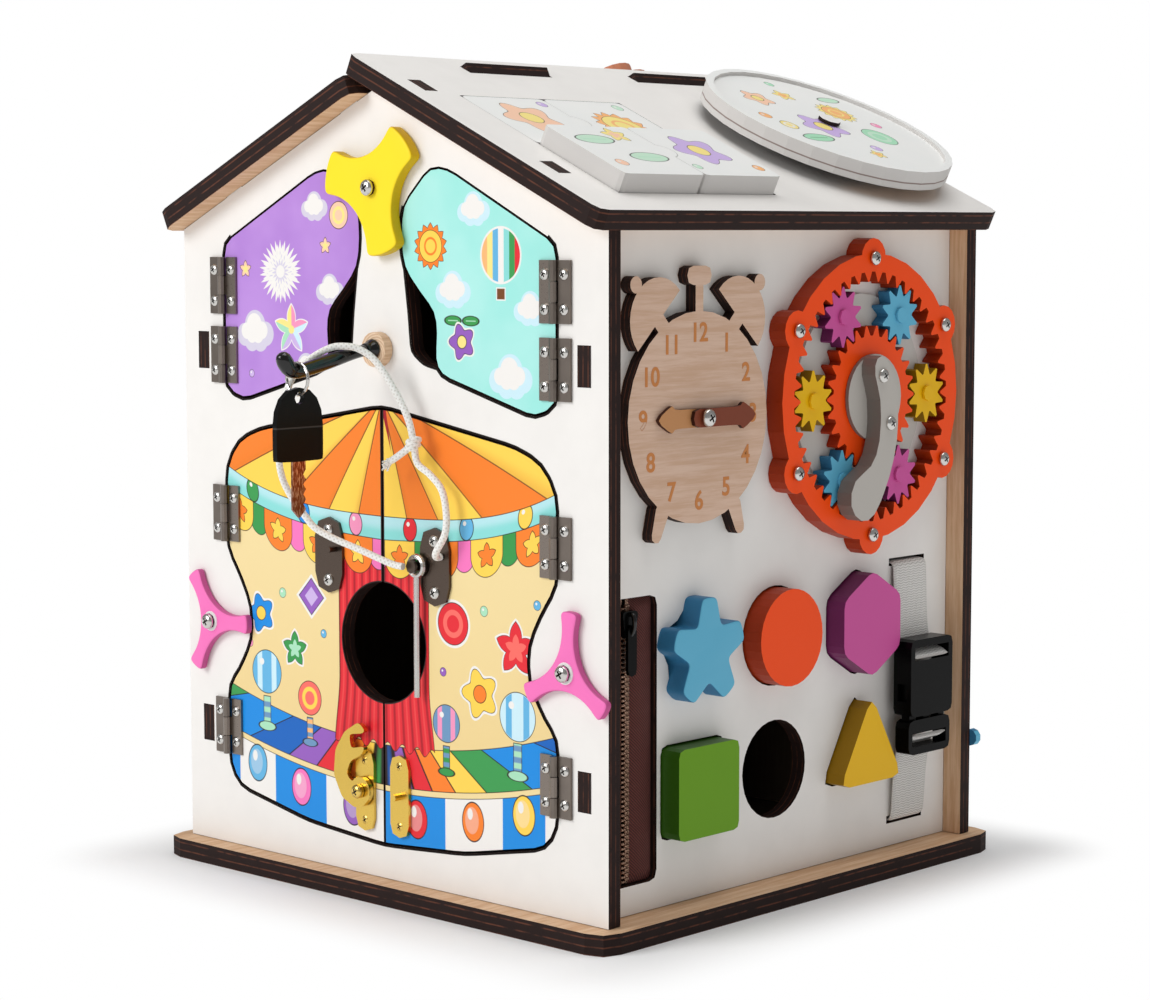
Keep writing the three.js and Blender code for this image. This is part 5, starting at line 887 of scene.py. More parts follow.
class Print:
    """Flat artwork on one face: forms laid over each other, each as the distance to its outline."""

    def __init__(self, shader, u, v, ground):
        self.shader = shader
        self.u = u
        self.v = v
        self.spot = shader.point(u, v)
        self.base = ground

    def lay(self, distance, tone, line=0.0, rim=0.0):
        """Lays one tone inside an outline, over a thin dark line and a white rim where wanted."""
        shader = self.shader
        if rim:
            self.base = shader.mix(self.base, colour("white"), shader.inside(distance - rim - line))
        if line:
            self.base = shader.mix(self.base, colour("ink"), shader.inside(distance - line))
        self.base = shader.mix(self.base, self.tone(tone), shader.inside(distance))

    def tone(self, tone):
        return tone if isinstance(tone, Value) else colour(tone)

    def disc(self, u, v, radius):
        return self.shader.far(self.spot, (u, v, 0)) - radius

    def oval(self, u, v, width, height):
        """Distance to an upright or lying oval, near enough for a line along it."""
        flat = (self.spot - (u, v, 0)) * (1 / width, 1 / height, 0)
        return (self.shader.far(flat, ORIGIN) - 1.0) * min(width, height)

    def diamond(self, u, v, radius):
        return (abs(self.u - u) + abs(self.v - v) - radius) * 0.7

    def box(self, u, v, width, height):
        across = abs(self.u - u) - width / 2
        return self.shader.most(across, abs(self.v - v) - height / 2)

    def rays(self, u, v, radius, count, depth, turn=0.0, pointed=False):
        """Distance to a rosette of round petals, or to a star with straight points."""
        shader = self.shader
        angle = shader.bearing(self.spot, (u, v, 0)) * (count / (2 * math.pi)) + turn
        wave = shader.wave(angle)
        if not pointed:
            wave = shader.ramp(wave, 0.0, 1.0)
        return shader.far(self.spot, (u, v, 0)) - radius * (1.0 - depth + wave * depth)

    def cloud(self, u, v, size):
        forms = [self.disc(u + x * size, v + y * size, r * size) for x, y, r in CLOUD_PUFFS]
        return self.shader.least(*forms)

    def motif(self, kind, u, v, size, tone, inner, rim=0.0):
        """One small picture of the kinds that the tables below name."""
        shader = self.shader
        line = 0.4
        if kind == "flower":
            self.lay(self.rays(u, v, size, 5, 0.34), tone, line, rim)
            self.lay(self.disc(u, v, size * 0.34), inner, line)
        elif kind == "puff":
            for share, count, turn in ((1.0, 26, 0.0), (0.86, 22, 0.5), (0.62, 16, 0.2)):
                self.lay(self.rays(u, v, size * share, count, 0.42, turn, pointed=True), tone)
                self.lay(self.rays(u, v, size * share * 0.66, count, 0.5, turn, pointed=True), inner)
            self.lay(self.disc(u, v, size * 0.2), tone)
        elif kind == "star":
            self.lay(self.rays(u, v, size, 5, 0.5, 0.25, pointed=True), tone, line, rim)
            self.lay(self.rays(u, v, size * 0.55, 5, 0.5, 0.25, pointed=True), inner)
        elif kind == "burst":
            angle = shader.bearing(self.spot, (u, v, 0)) * (5 / (2 * math.pi)) + 0.25
            kites = shader.palette(angle + 0.5, ["ice", "rose", "lemon", "mint", "lilac"])
            self.lay(self.rays(u, v, size, 5, 0.62, 0.25, pointed=True), kites, 0.0, 0.9)
            self.lay(self.disc(u, v, size * 0.17), inner)
        elif kind == "sun":
            self.lay(self.rays(u, v, size, 14, 0.22, 0.0, pointed=True), inner, line, rim)
            self.lay(self.disc(u, v, size * 0.68), tone, line * 0.7)
            self.lay(self.disc(u, v, size * 0.4), inner, 0.0)
            self.lay(self.disc(u, v, size * 0.3), tone, 0.0)
        elif kind == "diamond":
            self.lay(self.diamond(u, v, size), tone, line, rim)
            self.lay(self.diamond(u, v, size * 0.55), inner)
        elif kind == "ring":
            self.lay(self.disc(u, v, size), tone, line, rim)
            self.lay(self.disc(u, v, size * 0.68), inner)
            self.lay(self.disc(u, v, size * 0.42), tone)
        elif kind == "ball":
            self.lay(self.disc(u, v, size), tone, line, rim)
            stripe = abs(abs(self.u - u) - size * 0.5) - size * 0.17
            self.lay(shader.most(stripe, self.disc(u, v, size - 0.2)), inner)
            self.lay(self.disc(u - size * 0.35, v + size * 0.45, size * 0.16), "white")
        elif kind == "post":
            bands = shader.mix(colour(tone), colour(inner), shader.ramp(
                shader.call("PINGPONG", self.v, size * 0.25) / (size * 0.25), 0.35, 0.65
            ))
            self.lay(self.box(u, v, size * 0.45, size * 1.3), bands, line)
            self.lay(self.oval(u, v - size * 0.75, size * 0.55, size * 0.2), inner, line)
        elif kind == "cloud":
            self.lay(self.cloud(u, v, size), tone, 0.0, 0.0)
            self.lay(self.cloud(u - size * 0.05, v + size * 0.12, size * 0.72), inner)
        elif kind == "leaf":
            self.lay(self.oval(u, v, size, size * 0.42), tone, line)
            self.lay(self.box(u, v, size * 1.3, 0.5), inner)
        elif kind == "dot":
            self.lay(self.disc(u, v, size), tone, line * 0.6, rim)
            self.lay(self.disc(u - size * 0.25, v + size * 0.3, size * 0.28), inner)

    def motifs(self, rows):
        for row in rows:
            self.motif(*row)
        return self.base


TENT_PEAK = 238.0

# Discs of a cloud, as shares of its size: to the right, up, and radius
CLOUD_PUFFS = (
    (0, 0.25, 0.62), (-0.62, -0.1, 0.45), (0.62, -0.05, 0.48), (-0.2, -0.3, 0.45), (0.3, -0.3, 0.45)
)

# Small pictures on the prints: kind, place to the right and up in millimetres, size, two tones, rim
DOOR_MOTIFS = {
    -1: [
        ("post", -88, 74, 11, "steel_blue", "mint"), ("ball", -88, 94, 11, "sky", "ice"),
        ("post", -55, 68, 9, "apricot", "steel_blue"), ("ring", -55, 84, 8.5, "coral", "tent_yellow"),
        ("flower", -92, 124, 10, "blue", "tent_yellow", 1.3), ("star", -66, 108, 9, "green", "mint", 1.3),
        ("diamond", -53, 136, 9, "violet", "lilac", 1.3), ("dot", -101, 108, 2.2, "rose", "white"),
        ("dot", -75, 136, 2.4, "mint", "white"), ("dot", -44, 118, 2.0, "sky", "white"),
    ],
    1: [
        ("post", 92, 72, 11, "steel_blue", "mint"), ("ball", 92, 92, 11.5, "ice", "sky"),
        ("post", 44, 66, 9, "steel_blue", "green"), ("ball", 44, 83, 9, "steel_blue", "rose"),
        ("ring", 49, 132, 10, "red", "coral", 1.3), ("star", 91, 124, 13, "red", "coral", 1.3),
        ("flower", 67, 100, 12, "tent_yellow", "tent_orange", 1.3), ("dot", 70, 140, 2.4, "mint", "white"),
        ("dot", 105, 146, 2.2, "sky", "white"), ("dot", 42, 108, 2.0, "violet", "white"),
    ],
}
SKIRT_OVALS = {
    -1: [(-23, 33, "violet"), (-62, 37.5, "pink"), (-96, 45.5, "sky")],
    1: [(23, 33, "red"), (62, 37.5, "tent_orange"), (96, 45.5, "tent_yellow")],
}
SHUTTER_MOTIFS = {
    -1: [
        ("cloud", -94, 268, 13, "puff_shade", "white"), ("cloud", -55, 249, 11, "puff_shade", "white"),
        ("cloud", -37, 290, 9.5, "puff_shade", "white"), ("cloud", -48, 331, 9, "puff_shade", "white"),
        ("puff", -74, 299, 16, "white", "puff_shade"), ("burst", -66, 270, 12.5, "white", "lemon"),
        ("star", -101, 300, 4.2, "peach", "lemon"), ("star", -40, 312, 4.0, "peach", "lemon"),
        ("ring", -30, 327, 6.5, "peach", "lemon"), ("dot", -97, 247, 1.8, "lilac", "white"),
    ],
    1: [
        ("cloud", 50, 291, 11, "ice", "white"), ("cloud", 88, 251, 13, "ice", "white"),
        ("cloud", 101, 283, 10, "ice", "white"), ("cloud", 64, 329, 10, "ice", "white"),
        ("sun", 35, 312, 11, "tent_yellow", "tent_orange"), ("leaf", 50, 277, 5, "leaf_green", "mint"),
        ("leaf", 62, 277, 5, "leaf_green", "mint"), ("flower", 56, 267, 8.5, "violet", "lemon", 1.0),
    ],
}
ROOF_MOTIFS = [
    ("flower", -97, -60, 18, "peach", "lemon"), ("dot", -73, -42, 3.0, "lilac", "white"),
    ("sun", -37, -66, 17, "lemon", "apricot"), ("dot", -18, -42, 3.2, "mint_pale", "white"),
    ("leaf", -104, -108, 12, "mint_pale", "mint"), ("leaf", -86, -128, 12, "mint_pale", "mint"),
    ("star", -84, -102, 8, "lemon", "peach"), ("dot", -112, -135, 3.4, "peach", "white"),
    ("flower", -40, -118, 17, "lilac", "lemon"), ("dot", -17, -138, 3.2, "apricot", "white"),
    ("dot", -62, -138, 2.6, "mint_pale", "white"),
]
DISC_MOTIFS = [
    ("flower", 84, -92, 15, "lilac", "lemon"), ("ring", 118, -104, 10, "mint", "mint_pale"),
    ("sun", 118, -72, 12, "apricot", "lemon"), ("leaf", 62, -108, 11, "mint", "leaf_green"),
    ("flower", 70, -56, 10, "peach", "lemon"), ("star", 98, -50, 7, "lemon", "apricot"),
    ("dot", 50, -80, 3.6, "apricot", "white"), ("dot", 96, -120, 3.4, "lilac", "white"),
    ("dot", 134, -88, 3.2, "rose", "white"), ("star", 88, -128, 5, "lemon", "apricot"),
    ("ring", 56, -92, 5, "lemon", "white"), ("dot", 104, -34, 2.8, "mint", "white"),
    ("leaf", 132, -54, 8, "mint_pale", "mint"),
]


def front_place(shader):
    """The front face's own millimetres: to the right, and up from the base board."""
    return shader.along(RIGHT), shader.along(UP) - BASE_TOP


def roof_place(shader):
    """The right slope's own millimetres: towards the back, and up the slope from the ridge."""
    down = shader.along((-SLOPE_RUN, 0, SLOPE_RISE)) - RIDGE_HEIGHT * SLOPE_RISE
    return shader.along(BACK), down


def door_print(side):
    """Fairground print for one door: tent stripes, bunting, curtain, stage boards and skirt."""

    def face(shader):
        u, v = front_place(shader)
        art = Print(shader, u, v, None)
        wide = abs(u)
        share = wide / 113.0
        curve = share * share
        cube = curve * share
        glow = shader.ramp(v, 60.0, 170.0)
        art.base = shader.mix(colour("cream"), colour("cream_light"), glow)

        # Stage boards that fan out from behind the curtain
        fan = shader.call("ARCTAN2", 102.0 - v, wide) / math.radians(11.5)
        boards = ["leaf_green", "blue", "navy", "violet", "red", "tent_orange", "tent_yellow"]
        if side > 0:
            boards = ["navy", "blue", "leaf_green", "tent_yellow", "tent_orange", "red", "violet"]
        stage_back = 67.0 + 17.0 * curve
        art.lay(v - stage_back, shader.palette(fan, boards), 0.4)
        seam = shader.call("PINGPONG", fan, 0.5) * wide * 0.2
        art.lay(shader.most(v - stage_back, seam - 0.25), "ink")

        # Red curtain in folds round the hole
        flare = shader.ramp(v, 60.0, 100.0)
        edge = 36.0 - flare * 4.0
        curtain = shader.most(wide - edge, 67.0 + 2.0 * shader.call("SINE", u * 0.6) - v)
        folds = shader.wave(u / (6.4 + flare * -0.8) + 0.2)
        cloth = shader.mix(colour("red"), colour("red_deep"), shader.ramp(folds, 0.5, 1.0))
        cloth = shader.mix(cloth, colour("coral"), shader.ramp(folds, 0.3, 0.0) * 0.35)
        art.lay(shader.most(curtain, v - 160.0), cloth, 0.4)

        art.motifs(DOOR_MOTIFS[side])

        # Bunting below the teal band: wide flags with stars, and narrow ones between them
        band_foot = 169.0 + 4.0 * share + 14.0 * cube
        band_top = 180.5 + 1.0 * share + 15.5 * cube
        local, index = shader.cell(u, 30.0, 0.1)
        hang = shader.least(v - band_foot + 8.0, 0.0)
        narrow, order = shader.cell(u, 30.0, 0.6)
        short = shader.least(v - band_foot + 9.0, 0.0)
        thin = shader.far(shader.point(narrow, short), ORIGIN) - 6.2
        above = v - band_foot
        art.lay(shader.most(thin, above), shader.palette(order, ["pink", "green"]), 0.4)
        flag = shader.far(shader.point(local, hang), ORIGIN) - 10.5
        tone = shader.palette(index, ["tent_yellow", "tent_orange"])
        art.lay(shader.most(flag, above), tone, 0.4)
        badge = shader.point(local, v - band_foot + 8.5)
        swing = shader.bearing(badge, ORIGIN) * (5 / (2 * math.pi)) + 0.25
        star = shader.far(badge, ORIGIN) - 6.0 * (0.5 + shader.wave(swing) * 0.5)
        art.lay(star, shader.palette(index + 1.0, ["tent_yellow", "tent_orange"]), 0.5)

        # Teal band with balls
        band = shader.most(v - band_top, band_foot - v)
        sheen = shader.mix(colour("teal"), colour("ice"), shader.ramp(v - band_foot, 3.0, 8.0) * 0.6)
        art.lay(band, sheen, 0.4)
        bead, bead_order = shader.cell(u, 39.0, 0.0)
        lamp = shader.far(shader.point(bead, (v - band_foot - 5.6) * 0.8), ORIGIN) - 4.4
        beads = shader.palette(bead_order, ["red", "sky", "tent_yellow", "leaf_green", "blue", "rose"])
        art.lay(lamp, beads, 0.5)
        glint = shader.far(shader.point(bead + 1.3, v - band_foot - 8.0), ORIGIN) - 1.1
        art.lay(glint, "white")

        # Tent stripes from the peak
        reach = shader.far(art.spot, (0, TENT_PEAK, 0))
        slant = shader.call("ARCTAN2", wide, TENT_PEAK - v) / math.radians(18.0) + reach * 0.0012
        stripes = ["tent_orange", "tent_yellow"] if side < 0 else ["tent_yellow", "tent_orange"]
        fold = slant - shader.call("FLOOR", slant)
        tent = shader.palette(slant, stripes)
        tent = shader.mix(tent, colour("amber"), shader.ramp(fold, 0.25, 0.0) * 0.35)
        art.lay(band_top - v, tent, 0.4)
        pleat = shader.call("PINGPONG", slant, 0.5) * reach * 0.26 - 0.25
        art.lay(shader.most(band_top - v, pleat), "ink_soft")
        if side > 0:
            crease = abs(slant - 0.82) * reach * 0.26 - (v - 212.0) * 0.06
            art.lay(shader.most(crease, 212.0 - v), "red_deep")

        # Skirt: blue and white panels with ovals, under a cream rim
        skirt_top = 44.0 + 14.5 * curve
        panel = (wide > 43.0) + (wide > 82.0) + (wide > 110.0)
        pair = ["white", "blue"] if side < 0 else ["blue", "white"]
        art.lay(v - skirt_top - 3.0, "cream_light", 0.4)
        art.lay(v - skirt_top, shader.palette(panel, pair), 0.35)
        for x, y, tone in SKIRT_OVALS[side]:
            art.lay(art.oval(x, y, 7.0, 9.2), tone, 0.5)
            pale = shader.mix(colour(tone), colour("white"), 0.28)
            art.lay(art.oval(x - 0.8, y + 0.6, 4.6, 6.6), pale)
            art.lay(art.oval(x - 2.0, y + 3.6, 1.8, 2.8), "white")

        # Dark seam between the doors
        art.lay(shader.most(wide - 1.3, 90.0 - v), "ink")
        art.lay(wide - 0.8, "ink")

        # Thin dark line round the hole
        art.lay(art.disc(0, PEEP_CENTRE, PEEP_RADIUS + 0.5), "ink")
        return art.base

    return face


def shutter_print(side):
    """Sky of one shutter with its small pictures: by night on the left, by day on the right."""

    def face(shader):
        u, v = front_place(shader)
        tone = "purple" if side < 0 else "turquoise"
        light = "purple_light" if side < 0 else "turquoise_light"
        cloudy = shader.ramp(shader.noise(0.03, detail=2), 0.3, 0.7)
        art = Print(shader, u, v, shader.mix(colour(tone), colour(light), cloudy * 0.5))
        art.motifs(SHUTTER_MOTIFS[side])
        if side > 0:
            ball = art.disc(82, 308, 12.5)
            tones = ["apricot", "lemon", "sky", "white", "teal", "leaf_green", "red"]
            stripes = shader.palette((u - 69.5) / 3.6, tones)
            art.lay(ball, stripes, 0.0, 1.0)
            art.lay(art.box(82, 290, 5, 5), "ink_soft", 0.0, 0.6)
        return art.base

    return face


def roof_print(rows):
    """White paper with pastel pictures, for the tiles or the wheel."""

    def face(shader):
        u, v = roof_place(shader)
        cloudy = shader.noise(0.03, detail=2)
        paper = shader.mix(colour((236, 238, 236)), colour((244, 243, 240)), cloudy)
        return Print(shader, u, v, paper).motifs(rows)

    return face


# Sizes and choices that a user can change


class HouseLooks(bpy.types.PropertyGroup):
    """What a user can change before the pieces are made"""

    braid_pitch: bpy.props.FloatProperty(
        name="Braid pitch", description="Length of one braid of the cord", default=0.0024,
        unit="LENGTH", subtype="DISTANCE",
    )
    key_light: bpy.props.FloatProperty(
        name="Key light", description="Power of the soft light at the front left", default=32.0,
        unit="POWER",
    )
    top_light: bpy.props.FloatProperty(
        name="Top light", description="Power of the soft light above", default=24.0, unit="POWER"
    )
    sky_light: bpy.props.FloatProperty(
        name="Room light", description="Strength of the even light from all round", default=0.29
    )


def looks():
    """The scene's own choices."""
    return bpy.context.scene.house_looks


class HOUSE_OT_stage(bpy.types.Operator):
    """Makes the camera at the photograph's place, the pale floor and the soft studio light"""

    bl_idname = "house.stage"
    bl_label = "Stage"

    def execute(self, context):
        camera = bpy.data.cameras.new("house_camera")
        camera.lens = CAMERA_LENS
        camera.sensor_width = SENSOR_WIDTH
        camera.clip_start = 0.05
        camera.clip_end = 50.0
        yaw = math.radians(CAMERA_YAW)
        pitch = math.radians(CAMERA_PITCH)
        flat = math.cos(pitch)
        ahead = Vector((flat * math.sin(yaw), flat * math.cos(yaw), math.sin(pitch)))
        roll = math.radians(CAMERA_ROLL)
        context.scene.camera = stand("house_camera", camera, CAMERA_PLACE, ahead, roll)
        context.scene.view_settings.view_transform = "Standard"
        self.make_floor()
        self.make_light(context)
        return {"FINISHED"}

    def make_floor(self):
        """Pale paper that keeps the shadow near the house and runs out to plain white round it."""
        shape = bmesh.new()
        bmesh.ops.create_grid(shape, x_segments=8, y_segments=8, size=FLOOR_SIZE)
        mesh = bpy.data.meshes.new("studio_floor")
        shape.to_mesh(mesh)
        shape.free()
        shader = Shader("studio_paper")
        base = shader.mix(colour((247, 247, 247)), colour((250, 250, 250)), shader.noise(0.01, detail=2))
        paper = shader.node(
            "ShaderNodeBsdfPrincipled", None, "BSDF",
            Base_Color=base, Roughness=1.0, Specular_IOR_Level=0.0,
        )
        plain = shader.node("ShaderNodeEmission", None, "Emission", Strength=1.0)
        beside = [shader.most(abs(shader.along(way)) - BASE_EDGE, 0.0) for way in (RIGHT, BACK)]
        away = shader.ramp(shader.far(shader.point(*beside), ORIGIN), FLOOR_NEAR, FLOOR_FAR)
        blend = shader.node("ShaderNodeMixShader", None, "Shader", Fac=away, Shader=[paper, plain])
        shader.node("ShaderNodeOutputMaterial", Surface=blend)
        mesh.materials.append(shader.owner)
        put("studio_floor", mesh)

    def make_light(self, context):
        """An even room that the camera sees as white, a key light at the front left and one above."""
        chosen = looks()
        context.scene.world = bpy.data.worlds.new("studio")
        shader = Shader("studio", context.scene.world)
        white = (1.0, 1.0, 1.0, 1.0)
        backs = [
            shader.node("ShaderNodeBackground", None, "Background", Color=white, Strength=strength)
            for strength in (chosen.sky_light, 1.0)
        ]
        seen = shader.node("ShaderNodeLightPath", None, "Is Camera Ray")
        blend = shader.node("ShaderNodeMixShader", None, "Shader", Fac=seen, Shader=backs)
        shader.node("ShaderNodeOutputWorld", Surface=blend)
        for name, place, size, power in (
            ("key_light", KEY_PLACE, KEY_SIZE, chosen.key_light),
            ("top_light", TOP_PLACE, TOP_SIZE, chosen.top_light),
        ):
            lamp = bpy.data.lights.new(name, "AREA")
            lamp.shape = "SQUARE"
            lamp.size = size
            lamp.energy = power
            stand(name, lamp, place, Vector(LIGHT_AIM) - Vector(place))


class HOUSE_OT_cord(bpy.types.Operator):
    """Makes the white braided cord from the right door to the key, with its knot and frayed tail"""

    bl_idname = "house.cord"
    bl_label = "Tether cord"

    def execute(self, context):
        path = smooth_line([on_front(*point) for point in CORD_POINTS], 8)
        finish = braid("cord_braid")
        shape = bmesh.new()
        sweep(shape, path, CORD_RADIUS * MM, sides=16)
        cord = piece("tether_cord_braid", shape, "house", finish)
        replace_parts(cord, "tether_cord")
        knot = self.knot(finish)
        return {"FINISHED"}

    def knot(self, finish):
        """An overhand knot round the cord, and a tail that frays at its end."""
        shape = bmesh.new()
        x, y, z = KNOT_PLACE
        coil = []
        for step in range(KNOT_STEPS + 1):
            angle = 2 * math.pi * KNOT_TURNS * step / KNOT_STEPS
            rise = (step / KNOT_STEPS - 0.5) * 5.2
            out = 2.5 * math.cos(angle) + 0.2 * rise
            coil.append(on_front(x + out, y + rise, z + 2.5 * math.sin(angle) + 0.3))
        sweep(shape, coil, 1.45 * MM)
        sweep(shape, smooth_line([on_front(*point) for point in TAIL_POINTS], 6), CORD_RADIUS * MM)
        x, y, z = TAIL_POINTS[-1]
        for index in range(22):
            angle = 2.4 * index
            spread = 0.7 + 0.13 * index
            strand = [on_front(x + 1.0, y + 0.5, z)]
            for back, down, part, deep in ((-1.6, -0.9, 0.5, 0.5), (-3.9, -2.6, 1.0, 0.9)):
                sway = (0.3 if part < 1.0 else 0.5) * spread * math.sin(angle * 1.3)
                strand.append(on_front(
                    x + back + sway, y + down + part * spread * math.sin(angle),
                    z + deep * spread * math.cos(angle),
                ))
            sweep(shape, smooth_line(strand, 4), 0.42 * MM, sides=6)
        return piece("tether_knot", shape, "house", finish)


def braid(name):
    """White round braid: strands crossing both ways, read from the tube's own UV in millimetres."""
    shader = Shader(name)
    along = shader.part(shader.uv(), "X") / (looks().braid_pitch / MM)
    across = shader.part(shader.uv(), "Y") / (2 * math.pi * CORD_RADIUS) * 4.0
    strands = shader.most(shader.wave(along + across), shader.wave(along - across))
    height = shader.call("SQRT", strands) + shader.noise(3.0, detail=3) * 0.15
    base = shader.mix(colour((216, 212, 205)), colour((244, 243, 239)), shader.ramp(strands, 0.2, 0.7))
    return shader.finish(base, 0.85, height=height, depth=0.3)


class HOUSE_OT_boards(bpy.types.Operator):
    """Finishes the plywood boards of the house"""

    bl_idname = "house.boards"
    bl_label = "Boards"

    def execute(self, context):
        for node, outward, outside, thickness, grain in (
            ("front_wall", FRONT, WALL_OUTSIDE, WALL_THICKNESS, UPRIGHT),
            ("back_wall", BACK, WALL_OUTSIDE, WALL_THICKNESS, UPRIGHT),
            ("right_side_wall", RIGHT, SIDE_OUTSIDE, WALL_THICKNESS, UPRIGHT),
            ("left_side_wall", LEFT, SIDE_OUTSIDE, WALL_THICKNESS, UPRIGHT),
            ("right_roof_board", RIGHT_SLOPE, ROOF_PLANE, ROOF_THICKNESS, ALONG),
            ("left_roof_board", LEFT_SLOPE, ROOF_PLANE, ROOF_THICKNESS, ALONG),
            ("base_board", UP, BASE_TOP, BASE_TOP, ALONG),
        ):
            bare = node == "base_board"
            finish_node(node, board(node + "_finish", outward, outside, thickness, grain, bare=bare))
        return {"FINISHED"}


class HOUSE_OT_doors(bpy.types.Operator):
    """Prints the doors and the shutters"""

    bl_idname = "house.doors"
    bl_label = "Doors and shutters"

    def execute(self, context):
        for name, side in SIDES:
            for part, face in (("_door", door_print(side)), ("_shutter", shutter_print(side))):
                node = name + part
                finish_node(node, board(
                    node + "_finish", FRONT, WALL_OUTSIDE, WALL_THICKNESS, UPRIGHT, face, fitted=True
                ))
        return {"FINISHED"}


class HOUSE_OT_roof(bpy.types.Operator):
    """Prints the roof tiles and the wheel, and dresses the flower"""

    bl_idname = "house.roof"
    bl_label = "Roof toys"

    def execute(self, context):
        for name, nodes, height, thickness, rows in (
            ("tile_finish", TILES, 9.5, 17.5, ROOF_MOTIFS),
            ("disc_finish", ("roof_disc",), 16.0, 10.0, DISC_MOTIFS),
        ):
            finish = board(
                name, RIGHT_SLOPE, ROOF_PLANE + height, thickness, ALONG, roof_print(rows), pale_edge=True
            )
            for node in nodes:
                finish_node(node, finish)
        finish_node("flower_spinner", flower_finish())
        shape = bmesh.new()
        dome = [(8.6, -0.2), (8.6, 1.2), (7.9, 2.3), (6.2, 3.2), (3.6, 3.8), (0.0, 4.0)]
        lathe(shape, dome, on_left_roof(*FLOWER_PLACE, 27.3), LEFT_SLOPE, 40)
        finish = button_finish("flower_button", (205, 205, 120))
        piece("flower_centre", shape, "flower_spinner", finish)
        return {"FINISHED"}


def flower_finish():
    """Peach petals with a darker rim line and a pale middle."""
    shader = Shader("flower_petals")
    local = shader.place() - tuple(number / MM for number in on_left_roof(*FLOWER_PLACE, 20))
    spot = shader.point(shader.dot(local, FRONT), shader.dot(local, (SLOPE_RUN, 0, SLOPE_RISE)))
    turns = [2 * math.pi * petal / 5 for petal in range(5)]
    near = shader.least(
        *(shader.far(spot, (16.5 * math.cos(turn), 16.5 * math.sin(turn), 0)) for turn in turns)
    )
    blush = shader.mix(colour((252, 226, 204)), colour((246, 178, 140)), shader.ramp(near, 3.0, 10.0))
    base = shader.mix(blush, colour((206, 120, 84)), shader.ramp(near, 8.9, 9.4) * 0.8)
    return shader.finish(base, 0.4, height=shader.noise(1.0, detail=2), depth=0.02, Coat_Weight=0.2)


def button_finish(name, tone):
    """Small turned button with a pale ring, on its own UV, which runs from -1 to 1 across it."""
    shader = Shader(name)
    out = shader.far(shader.uv(), ORIGIN)
    rim = shader.ramp(out, 0.62, 0.7) * shader.ramp(out, 0.86, 0.78)
    base = shader.mix(colour(tone), colour((232, 210, 120)), rim)
    fine = shader.noise(1.6, detail=2)
    return shader.finish(base, 0.34 + fine * 0.08, height=fine + rim, depth=0.05, Coat_Weight=0.3)


class HOUSE_OT_fittings(bpy.types.Operator):
    """Finishes the metal and plastic parts"""

    bl_idname = "house.fittings"
    bl_label = "Fittings"

    def execute(self, context):
        finishes = {
            "hinge_steel": metal("hinge_steel", "gunmetal", 0.3, wear=0.4),
            "bright_steel": metal("bright_steel", (205, 203, 200)),
            "latch_brass": metal("latch_brass", "brass"),
            "black_plastic": painted("black_plastic", (5, 5, 5), gloss=0.24, shine=0.07),
            "peg_wood": turned_wood("peg_wood"),
            "clock_wood": board(
                "clock_finish", RIGHT, SIDE_OUTSIDE + CLOCK_FACE, 6.0, ALONG, plain_clock, fitted=True
            ),
            "carrier_grey": painted("grey_paint", (204, 200, 194)),
            "zip_tape": painted("zip_tape_plain", (84, 36, 30), gloss=0.8),
        }
        # side_tone darkens each part's sides: painted shade on the plastic and painted parts, and a burnt
        # edge on the wooden hands.
        for slot, name, tone, side_tone, facing in (
            ("yellow_plastic", "yellow_paint", "yellow", (214, 176, 10), FRONT),
            ("pink_plastic", "pink_paint", "pink", (206, 90, 152), FRONT),
            ("blue_plastic", "blue_paint", "gear_blue", (60, 128, 170), RIGHT),
            ("hour_hand_wood", "hour_hand", (196, 140, 92), (70, 34, 22), RIGHT),
            ("minute_hand_dark", "minute_hand", (128, 62, 40), (60, 28, 20), RIGHT),
            ("orange", "orange_paint", "gear_orange", (170, 52, 12), RIGHT),
            ("magenta", "magenta_paint", "gear_magenta", (120, 40, 96), RIGHT),
            ("yellow", "mustard_paint", "gear_yellow", (156, 116, 8), RIGHT),
            ("green", "green_paint", "gear_green", (52, 98, 16), RIGHT),
        ):
            finishes[slot] = painted(name, tone, side_tone=side_tone, facing=facing)
        for node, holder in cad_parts.items():
            for material in list(holder.data.materials):
                slot = material.name.split(".")[0]
                if slot in finishes:
                    finish_node(node, finishes[slot])
        finish_node("sun_gear", crank_finish())
        finish_node("key", key_finish())
        finish_node("planet_carrier", carrier_finish())
        return {"FINISHED"}


def plain_clock(shader):
    """Light plywood of the clock's face."""
    return wood_tone(shader, (224, 192, 170), (208, 170, 142), ALONG, 0.3, 11.0)[0]


def crank_finish():
    """Orange sun gear below, grey cover disc and crank above it."""
    shader = Shader("crank_paint")
    cover = shader.ramp(shader.along(RIGHT) - SIDE_OUTSIDE, 9.75, 9.9)
    face = shader.ramp(abs(shader.lean(RIGHT)), 0.55, 0.8)
    # The sides of the orange gear and of the grey cover are painted darker than their faces: painted
    # shade.
    orange = shader.mix(colour((170, 46, 6)), colour("gear_orange"), face)
    grey = shader.mix(colour((120, 112, 106)), colour((190, 185, 178)), face)
    return gear_paint(shader, shader.mix(orange, grey, cover))


def carrier_finish():
    """Pale carrier whose pin caps take the colours of the gears that they hold."""
    shader = Shader("carrier_paint")
    spot = shader.point(shader.along(BACK), shader.along(UP))
    centre = (RING_CENTRE[0], RING_CENTRE[1] + BASE_TOP, 0)
    sixth = shader.bearing(spot, centre) * (3 / math.pi) + 0.5
    tones = shader.palette(sixth, ["gear_yellow", "gear_blue", "gear_magenta"])
    caps = shader.ramp(shader.along(RIGHT) - SIDE_OUTSIDE, 5.0, 5.4)
    return gear_paint(shader, shader.mix(colour((206, 202, 196)), tones, caps))


